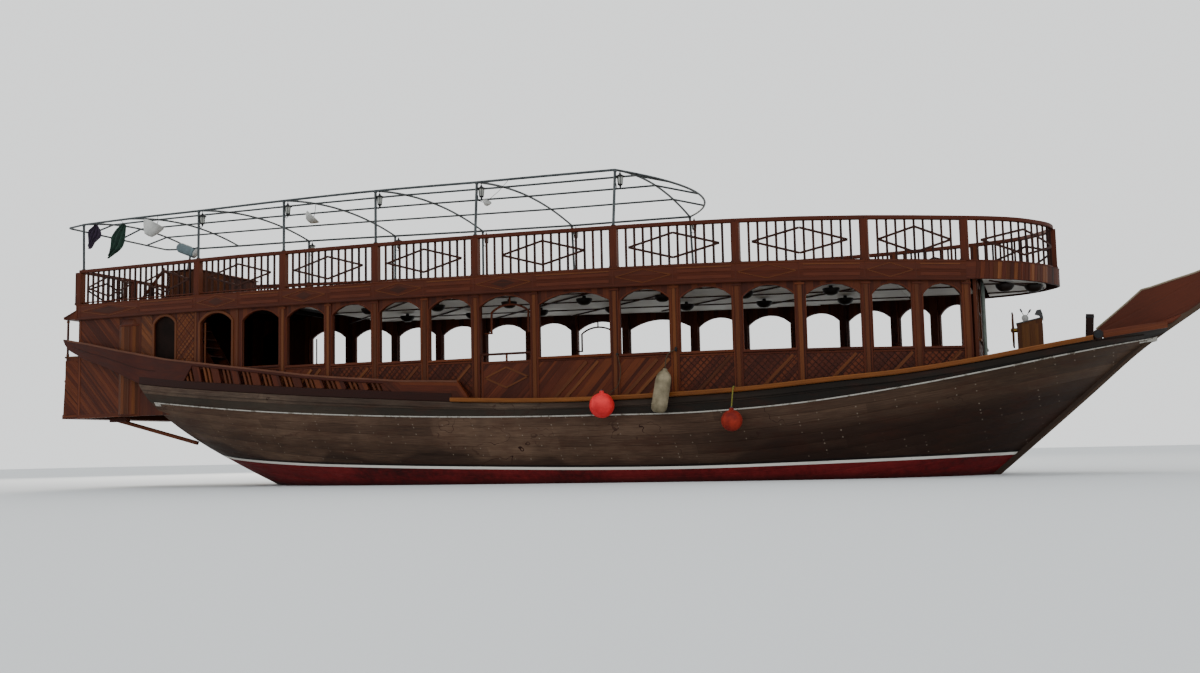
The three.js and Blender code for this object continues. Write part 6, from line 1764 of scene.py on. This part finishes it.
def hoop(centre, axis, outline):
    """A ring: an outline of (radius, height along the axis) turned about it and joined up."""
    first = unit(np.cross(axis, (0.0, 0.0, 1.0)))
    second = np.cross(axis, first)
    a = np.linspace(0, 2 * np.pi, HOOP_SIDES + 1)
    ring = np.cos(a)[:, None] * first + np.sin(a)[:, None] * second
    outline, axis = np.asarray(outline, float), np.asarray(axis, float)
    points = centre + outline[None, :, :1] * ring[:, None] + outline[None, :, 1:] * axis
    part = grid(points, caps=False)
    count = HOOP_SIDES * len(outline)
    part["faces"] = [f % count for f in part["faces"]]
    part["co"] = part["co"][:count]
    return outward(part)


circle = np.linspace(0, 2 * np.pi, 13)[:-1]
rim_outline = np.stack([RIM + 0.024 * np.cos(circle), 0.02 * np.sin(circle)], -1)
wheel_parts = [hoop(WHEEL_AT, (1.0, 0, 0), rim_outline)]
SPOKE_PROFILE = [(0.014, 0.04), (0.02, 0.1), (0.013, 0.15), (0.02, 0.22), (0.013, 0.3),
    (0.016, RIM), (0.01, 0.375), (0.018, 0.395), (0.021, 0.425), (0.016, 0.45), (0.005, SPOKE)]
for a in np.arange(6) * math.pi / 3:
    wheel_parts.append(turned(SPOKE_PROFILE, WHEEL_AT, (0, math.cos(a), math.sin(a)), 12))
hub_profile = [(0.02, -0.055), (0.035, -0.05), (0.055, -0.03), (0.055, 0.0), (0.05, 0.03),
    (0.05, 0.0895)]
wheel_parts.append(turned(hub_profile, WHEEL_AT, (1, 0, 0), 24, 1))
piece("wheel", wheel_parts, [pillar_teak, brass], body="ships_wheel",
    replaces=["ships_wheel"])
pipe_x, pipe_y = 7.915, -0.82
pipe_low, pipe_high = deck_at(pipe_x) - 0.02, deck_top(pipe_x) - 0.05
pipe_profile = [(0.08, 0.0), (0.08, 0.03), (0.045, 0.035), (0.038, 0.05), (0.038, 0.6),
    (0.044, 0.605), (0.044, 0.64), (0.038, 0.645), (0.038, pipe_high - pipe_low - 0.03),
    (0.07, pipe_high - pipe_low - 0.02), (0.07, pipe_high - pipe_low)]
pipe_paint = mottled("grey_green_pipe_paint", "#4d564e", "#717b72", 6.0, 0.5)
piece("vent_pipe", [turned(pipe_profile, (pipe_x, pipe_y, pipe_low), sides=20)], pipe_paint,
    replaces=["pipe_post"])

# %% [markdown]
# ## Fenders
# Two round floats and a long one hang over the side. Each hangs on a rope that runs over the cap
# rail.

# %% Fenders
CAP_OUT = lambda x: station(x, HALF) + CAP["out"]


def curved(points, steps=24):
    """A smooth path through a few points."""
    points = np.asarray(points, float)
    run = measured(points)
    fine = np.linspace(0, run[-1], steps)
    return np.stack([fair(fine, run, points[:, i]) for i in range(3)], -1)


def ball(x, z, radius, name, material, rope, beyond):
    """A round float with its moulded neck, and the rope from its eye over the cap rail."""
    y = -(CAP_OUT(x) + radius + 0.008)
    a = np.linspace(-np.pi / 2 + 0.05, np.pi / 2 - 0.22, 22)
    neck = [(0.052, radius + 0.0), (0.05, radius + 0.03), (0.035, radius + 0.045),
        (0.01, radius + 0.05)]
    profile = np.concatenate([np.stack([radius * np.cos(a), radius * np.sin(a)], -1), neck])
    rise = station(x, SHEER) + CAP["tall"]
    path = [(x, y, z + radius + 0.03), (x, -(CAP_OUT(x) + 0.056), rise - 0.06),
        (x, -(CAP_OUT(x) + 0.012), rise + 0.01), (x, -(CAP_OUT(x) - 0.05), rise + 0.022),
        (x, -(CAP_OUT(x) - 0.13), rise + 0.016)] + beyond
    parts = [turned(profile, (x, y, z), sides=36), tube(curved(path, 40), 0.014, 8, 1)]
    parts.append(turned([(0.02, -0.02), (0.03, -0.008), (0.03, 0.008), (0.02, 0.02)],
        (x, y, z + radius + 0.05), (0, 0, 1), 12, 2))
    return piece(name, parts, [material, rope, black_plastic],
        replaces=[name.replace("float", "fender")])


ball(2.78, 1.31, 0.23, "ball_float_fore", old_float, yellow_rope, [])
ball(-0.15, 1.73, 0.28, "ball_float_mid", red_float, hemp, [])
wall_hook = (0.05, -deck_half(0.05) + 0.002, 2.9)
tail = [(-0.1, -(CAP_OUT(0.0) - 0.05), 2.005), (0.06, -(CAP_OUT(0.0) - 0.14), 2.15),
    (0.13, -(CAP_OUT(0.0) - 0.23), 2.5), (0.06, wall_hook[1] - 0.03, 2.9)]
piece("float_line", [tube(curved(tail), 0.009, 8), turned([(0.03, -0.02), (0.03, 0.015),
    (0.012, 0.03), (0.01, 0.05)], wall_hook, (0, -1, 0), 12, 1)], [hemp, black_iron])
long_y = -(CAP_OUT(1.2) + 0.208)
LONG_AT, LONG_AXIS = (1.13, long_y, 1.53), (0.17, 0, 0.87)
LONG_PROFILE = [(0.03, 0.0), (0.1, 0.004), (0.14, 0.03), (0.168, 0.08), (0.176, 0.15), (0.176, 0.7),
    (0.165, 0.79), (0.13, 0.87), (0.08, 0.92), (0.055, 0.94), (0.05, 0.975), (0.02, 0.985)]
long_parts = [turned(LONG_PROFILE, LONG_AT, LONG_AXIS, 32)]
long_parts.append(turned([(0.178, 0.16), (0.182, 0.165), (0.182, 0.18), (0.178, 0.185)], LONG_AT,
    LONG_AXIS, 32))
knot_y = -(deck_half(1.44) - 0.014 + 0.031)
strap = [(1.316, long_y, 2.49), (1.32, long_y + 0.02, 2.62), (1.325, (long_y + knot_y) / 2, 2.83),
    (1.42, knot_y, 2.94)]
long_parts.append(tube(curved(strap), 0.013, 8, 1))
long_parts.append(turned([(0.014, -0.05), (0.03, -0.03), (0.03, 0.03), (0.02, 0.05)],
    (1.44, knot_y, 2.945), (0, 0, 1), 12, 2))
piece("long_float", long_parts, [grey_float, hemp, black_iron],
    replaces=["long_fender"])

# %% [markdown]
# ## Stair hood, handrails and struts
# The hood over the stair is boxed in with upright boards under a bent roof, and two handrails lead
# to its door. Under the stern two struts carry the overhang.

# %% Hood, handrails and struts
HOOD_Y, HOOD_HALF, HOOD_JAMB = -1.34, 0.56, 0.48
HOOD_AFT, HOOD_FORE, HOOD_BOARD = -13.65, -11.57, 0.014
HOOD_LINE = np.array([[-13.65, 0.81], [-12.7, 0.81], [-12.05, 0.69], [-11.57, 0.56]])


def hood_height(x):
    """Height of the hood's roof line."""
    return deck_top(x) + np.interp(x, HOOD_LINE[:, 0], HOOD_LINE[:, 1])


hood_parts = []
board_x = np.linspace(HOOD_AFT, HOOD_FORE, 20)
for face_y, out in ((HOOD_Y - HOOD_HALF, -1.0), (HOOD_Y + HOOD_HALF, 1.0)):
    on = face([0, face_y, 0], [1.0, 0, 0], [0, out, 0])
    for i, (a, b) in enumerate(zip(board_x, board_x[1:])):
        shape = np.array([(a + 0.002, deck_top(a) + 0.002), (b - 0.002, deck_top(b) + 0.002),
            (b - 0.002, hood_height(b)), (a + 0.002, hood_height(a))])
        hood_parts.append(slab_part(shape, on, HOOD_BOARD, shape[:, ::-1] + i * 1.7))
roof_x = np.linspace(-13.7, -11.53, 26)
roof_z = fair(roof_x, HOOD_LINE[:, 0], HOOD_LINE[:, 1]) + deck_top(roof_x) + 0.02
roof_path = np.stack([roof_x, np.full_like(roof_x, HOOD_Y), roof_z], -1)
hood_parts.append(sweep(roof_path, rounded(1.22, 0.04, 0.012), side=(0.0, 1.0, 0), finish=1))
door_on = face([HOOD_AFT, HOOD_Y, 0], [0, 1.0, 0], [-1.0, 0, 0])
door_foot = deck_top(HOOD_AFT) + 0.003
for u in (-HOOD_JAMB, HOOD_JAMB):
    hood_parts.append(upright_bar(door_on, u, door_foot, door_foot + 0.79, 0.13, 0.02))
hood_parts.append(level_bar(door_on, -0.54, 0.54, door_foot + 0.755, 0.07, 0.025))
piece("stair_hood_boards", hood_parts, [pillar_teak, teak])
NEWEL_X = -13.92
for name, side in (("outer", -1), ("inner", 1)):
    y = HOOD_Y + side * HOOD_JAMB
    high = np.array([NEWEL_X, y, deck_top(NEWEL_X) + 0.9])
    rails = [bars([(-14.72, y, deck_top(-14.7) + 0.03)], [high + (0.02, 0, 0.02)], 0.06, 0.07,
        0.012)]
    rails.append(bars([(NEWEL_X, y, deck_top(NEWEL_X))], [high + (0, 0, 0.06)], 0.07, 0.07, 0.012,
        up=(1.0, 0, 0)))
    rails.append(bars([high], [(-13.655, y, deck_top(-13.65) + 0.72)], 0.05, 0.06, 0.01))
    piece(f"stair_rail_{name}", rails, teak, replaces=[f"handrail_{name}"])
strut_a = np.array([TRANSOM_LOW[0] + RAKE * 1.4 - 0.02, -1.65, 1.2])
strut_b = np.array([-15.5, -1.78, 1.9])
strut_parts = [bars([strut_a - 0.04 * unit(strut_b - strut_a)],
    [strut_b + 0.04 * unit(strut_b - strut_a)], 0.1, 0.1, 0.016)]
strut_parts.append(bars([(-15.68, -1.78, 1.9)], [(-15.1, -1.78, 1.9)], 0.16, 0.12, 0.012))
pair("stern_strut_{}", strut_parts, teak, ["box_strut_{}"])

# %% [markdown]
# ## Stern gallery
# The gallery is panelled with slanting planks between a base moulding and a handrail, and its posts
# carry a small lean-to roof of boards.

# %% Stern gallery
GALLERY = {"x": -16.954, "foot": -17.033, "side": 2.19, "rail": 3.68, "eave": 4.77, "ridge": 5.01}
slope = (GALLERY["foot"] - GALLERY["x"]) / (GALLERY["rail"] - BOX_LOW)
back_on = face([GALLERY["foot"] + slope * BOX_LOW, 0, 0], [0, -1.0, 0], [-1.0, 0, 0],
    [-slope, 0, 1.0])
stern_parts = []
PANEL, PANEL_EDGE, PANEL_TOP, MIDDLE_TOP = 0.73, 0.04, 3.6, 3.0
for k in range(6):
    start = -GALLERY["side"]
    u0, u1 = start + PANEL * k + PANEL_EDGE, start + PANEL * (k + 1) - PANEL_EDGE
    lean = 45 if k < 3 else -45
    stern_parts += boards((u0, u1, BOX_LOW + 0.14, MIDDLE_TOP), back_on, lean, *NARROW_BOARD, 0.0,
        1, seed=50 + k)
    stern_parts += boards((u0, u1, MIDDLE_TOP + 0.06, PANEL_TOP), back_on, -lean, *NARROW_BOARD,
        0.0, 0, seed=60 + k)
    stern_parts += lattice((u0, u1, MIDDLE_TOP + 0.06, PANEL_TOP), back_on, pitch=0.11, wide=0.026,
        finish=3)
for w, tall, proud in ((BOX_LOW + 0.06, 0.12, 0.03), (MIDDLE_TOP + 0.03, 0.05, 0.025)):
    a = back_on["at"] + back_on["w"] * w + np.array([-proud / 2 + LET_IN, -GALLERY["side"], 0])
    stern_parts.append(bars([a], [a + (0, 2 * GALLERY["side"], 0)], proud + 2 * LET_IN, tall, 0.008,
        finish=1))
rail_at = np.array([GALLERY["x"] + 0.025, 0, GALLERY["rail"] + 0.025])
corner_y = GALLERY["side"] - 0.03
stern_parts.append(bars([rail_at + (0, -corner_y - 0.05, 0)], [rail_at + (0, corner_y + 0.05, 0)],
    0.12, 0.05, 0.015, finish=4))
for side_y in (-1, 1):
    made = [bars([(GALLERY["x"] - 0.03, -corner_y, GALLERY["rail"] + 0.025)],
        [(-16.51, -corner_y, GALLERY["rail"] + 0.025)], 0.1, 0.05, 0.015, finish=4)]
    on = face([-17.0, -GALLERY["side"], 0], [1.0, 0, 0], [0, -1.0, 0])
    made += boards((0.03, 0.49, BOX_LOW + 0.12, PANEL_TOP), on, -45, *THIN_BOARD, 0.0, 1, seed=70)
    made.append(level_bar(on, -0.02, 0.49, BOX_LOW + 0.05, 0.1, 0.02, 1))
    stern_parts += made if side_y == -1 else [mirrored(p) for p in made]
KNOB = (0.068, 0.068)
for k in range(-3, 4):
    y = k * PANEL - 0.025 * np.sign(k)
    for z in (GALLERY["rail"] + 0.09, GALLERY["eave"] - 0.05):
        low, high = ([(GALLERY["x"] + 0.0275, y, z + step)] for step in (-0.03, 0.03))
        stern_parts.append(bars(low, high, *KNOB, 0.01, up=(1.0, 0, 0), finish=4))
roof_a = np.array([GALLERY["x"] - 0.04, 0, GALLERY["eave"] + 0.078])
roof_b = np.array([-16.585, 0, GALLERY["ridge"] + 0.008])
roof_y = np.arange(-2.2, 2.21, 0.11)
lay = np.stack([roof_y * 0, roof_y, roof_y * 0], -1)
stern_parts.append(bars(roof_a + lay, roof_b + lay, 0.106, 0.016, 0.003, finish=0))
stern_parts.append(bars([roof_a + (0, -2.26, -0.03)], [roof_a + (0, 2.26, -0.03)], 0.03, 0.08,
    0.006, finish=1))
piece("stern_gallery_trim", stern_parts, TRIM)

# %% [markdown]
# ## Front wall and gates
# Frames and sills go round the openings of the front wall. Each gate is a panelled leaf with a
# lozenge of pale strips, and rides on a body of its own.

# %% Front wall and gates
FRONT_FACE, LIGHT_FOOT, LIGHT_HEAD, DOOR_HEAD = 7.825, 3.0, 4.2, 4.38
front_on = face([FRONT_FACE, 0, 0], [0, 1.0, 0], [1.0, 0, 0])
front_parts = []
for u0, u1, low, high in ((-1.64, -0.62, LIGHT_FOOT, LIGHT_HEAD),
    (0.62, 1.64, LIGHT_FOOT, LIGHT_HEAD), (-0.42, 0.42, deck_at(7.8) + 0.01, DOOR_HEAD)):
    for u in (u0 - 0.03, u1 + 0.03):
        front_parts.append(upright_bar(front_on, u, low, high + 0.06, 0.07, 0.022, 4))
    front_parts.append(level_bar(front_on, u0 - 0.065, u1 + 0.065, high + 0.035, 0.07, 0.026, 4))
    if low == LIGHT_FOOT:
        front_parts.append(level_bar(front_on, u0 - 0.09, u1 + 0.09, low - 0.03, 0.06, 0.05, 4))
        front_parts.append(level_bar(front_on, u0, u1, (low + high) / 2, 0.035, 0.01, 1))
        front_parts += boards((u0 - 0.05, u1 + 0.05, deck_at(7.8) + 0.02, 2.93), front_on,
            45 if u0 < 0 else -45, *THIN_BOARD, 0.0, 1, seed=81)
piece("front_wall_trim", front_parts, TRIM)

GATE_X0, GATE_X1, GATE_OUT, GATE_IN, GATE_TOP = -3.4245, -2.119, -3.29, -3.23, 2.89
gate_foot = station(-3.55, SHEER) - DECK_DROP + 0.012
gate_parts = []
for face_y, out in ((GATE_OUT, -1.0), (GATE_IN, 1.0)):
    start = GATE_X0 if out < 0 else GATE_X1
    on = face([start, face_y, 0], [-out, 0, 0], [0, out, 0])
    wide, proud = GATE_X1 - GATE_X0, 0.011 if out < 0 else 0.004
    made = boards((0.06, wide - 0.06, gate_foot + 0.07, GATE_TOP - 0.07), on, 45, 0.1, 0.096, 0.004,
        0.0, 0, seed=91)
    for u in (0.03, wide - 0.03):
        made.append(upright_bar(on, u, gate_foot, GATE_TOP, 0.056, proud, 1))
    for w in (gate_foot + 0.035, GATE_TOP - 0.035):
        made.append(level_bar(on, 0.056, wide - 0.056, w, 0.065, proud, 1))
    centre_u, centre_w, half_u, half_w = wide * 0.5, 2.5, 0.55, 0.24
    tips = [(centre_u - half_u, centre_w), (centre_u, centre_w + half_w),
        (centre_u + half_u, centre_w), (centre_u, centre_w - half_w)]
    made += [strip(on, a, b, 0.04, 0.013, 2) for a, b in zip(tips, tips[1:] + tips[:1])]
    gate_parts += made
gate_parts.append(bars([(GATE_X0, -3.26, 3.06)], [(GATE_X1, -3.26, 3.06)], 0.05, 0.055, 0.014,
    finish=3))
pair("gate_leaf_trim_{}", gate_parts, TRIM, body="gate_{}")

# %% [markdown]
# ## Propeller and rudder
# A boat propeller's blade is twisted: its pitch angle is atan(pitch / (2 pi r)), steep at the hub
# and flat at the tip. The rudder is a plate with a rounded nose and a thin after edge.

# %% Propeller and rudder
PROP_AT, PROP_RADIUS, PITCH_LENGTH = np.array([-9.58, 0.0, -1.11]), 0.42, 0.5


def blade(turn):
    """One blade: rings of a lens section over radius r.

    The half-chord is 0.15 sqrt(1 - ((r - 0.235) / 0.187)^2).
    """
    r = np.linspace(0.052, PROP_RADIUS - 0.001, 16)
    half = 0.15 * np.sqrt(np.maximum(1 - ((r - 0.235) / 0.187) ** 2, 0.02))
    thick = 0.013 * (1 - r / PROP_RADIUS) + 0.004
    angle = np.arctan(PITCH_LENGTH / (2 * np.pi * r))
    t = np.linspace(0, 2 * np.pi, 17)[:-1]
    chord, off = half[:, None] * np.cos(t), thick[:, None] * np.sin(t)
    x = chord * np.sin(angle)[:, None] + off * np.cos(angle)[:, None]
    tangent = chord * np.cos(angle)[:, None] - off * np.sin(angle)[:, None]
    phi = turn + tangent / r[:, None].clip(0.12)
    points = np.stack([x, r[:, None] * np.sin(phi), r[:, None] * np.cos(phi)], -1) + PROP_AT
    return outward(grid(points))


propeller_parts = [blade(k * 2 * math.pi / 3) for k in range(3)]
propeller_hub = [(0.075, -0.1597), (0.076, -0.15), (0.08, -0.1), (0.075, 0.0), (0.07, 0.08),
    (0.035, 0.17), (0.01, 0.185)]
propeller_parts.append(turned(propeller_hub, PROP_AT, (-1, 0, 0), 28))
piece("bronze_propeller", propeller_parts, bronze, body="propeller",
    replaces=["propeller"])
RUDDER_X, RUDDER_LOW, RUDDER_HIGH = -10.54, -1.55, -0.43
blade_z = np.linspace(RUDDER_LOW, RUDDER_HIGH, 12)
aft_edge = np.interp(blade_z, [RUDDER_LOW, -1.5, -1.26, -0.48, RUDDER_HIGH],
    [-11.17, -11.24, -11.32, -11.26, -10.62])
section_t = np.linspace(0, 2 * np.pi, 19)[:-1]
lens_x = 0.5 * (1 + np.cos(section_t))
lens_y = 0.045 * np.sin(section_t) * (0.35 + 0.65 * np.sqrt(lens_x))
rudder_points = np.stack([
    aft_edge[:, None] + (RUDDER_X - 0.03 - aft_edge)[:, None] * lens_x[None],
    np.broadcast_to(lens_y, (12, 18)), np.broadcast_to(blade_z[:, None], (12, 18))], -1)
rudder_parts = [outward(grid(rudder_points))]
rudder_parts.append(turned([(0.05, -1.735), (0.05, -0.37), (0.045, -0.3605)], (RUDDER_X, 0, 0),
    (0, 0, 1), 24))
for z in (-1.3, -0.75):
    rudder_parts.append(bars([(RUDDER_X, 0, z)], [(RUDDER_X - 0.5, 0, z)], 0.1, 0.06, 0.01,
        finish=1))
piece("rudder_blade", rudder_parts, [antifouling, bronze], body="rudder",
    replaces=["rudder"])

# %% [markdown]
# ## Upper deck edge and hatch
# A margin plank runs round the deck inside the railing, and a low coaming frames the stair hatch.

# %% Deck margin
margin_x = np.linspace(-16.4, 7.6, 90)
margin_parts = []
for side_y in (-1, 1):
    path = np.stack([margin_x, side_y * (rail_line(margin_x) - 0.17), deck_top(margin_x) + 0.006],
        -1)
    margin_parts.append(sweep(path, rounded(0.14, 0.02, 0.004), side=(0.0, 1.0, 0)))
seat_z = deck_top(-12.5) + 0.03
for y in (HOOD_Y - HOOD_JAMB, HOOD_Y + HOOD_JAMB):
    margin_parts.append(bars([(-13.42, y, seat_z)], [(-11.73, y, seat_z)], 0.05, 0.07, 0.008))
piece("deck_margin", margin_parts, teak)

# %% [markdown]
# ## Finishes of the CAD pieces
# The pieces that stay from the CAD model get finishes too: walls have upright grain, decks have
# boards along the boat, and everything below the water has the red paint of the bottom.

# %% CAD pieces
deck_and_beams = deck_teak.copy()
deck_and_beams.name = "deck_teak_over_dark_beams"
beams_tree = deck_and_beams.node_tree
beams_surface = beams_tree.nodes["Principled BSDF"]
facing = add(beams_tree, "SeparateXYZ", add(beams_tree, "NewGeometry", out="Normal"), out="Z")
above = add(beams_tree, "Math", facing, 0.5, operation="GREATER_THAN")
planks_colour = beams_surface.inputs["Base Color"].links[0].from_socket
beams_tree.links.new(add(beams_tree, "Mix", {FACTOR: above, COLOUR_A: linear("#120b08"),
    COLOUR_B: planks_colour}, out=COLOUR_OUT, data_type="RGBA"), beams_surface.inputs["Base Color"])
BY_NODE = {
    "keel": antifouling, "deadwood": antifouling, "rudder_post": antifouling,
    "upper_deck": deck_and_beams, "box_floor": dark_level, "stair_flight": teak_level,
}
for name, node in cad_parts.items():
    node.data.materials.clear()
    node.data.materials.append(BY_NODE.get(name, teak_upright))

# %% Scene update
bpy.context.view_layer.update()
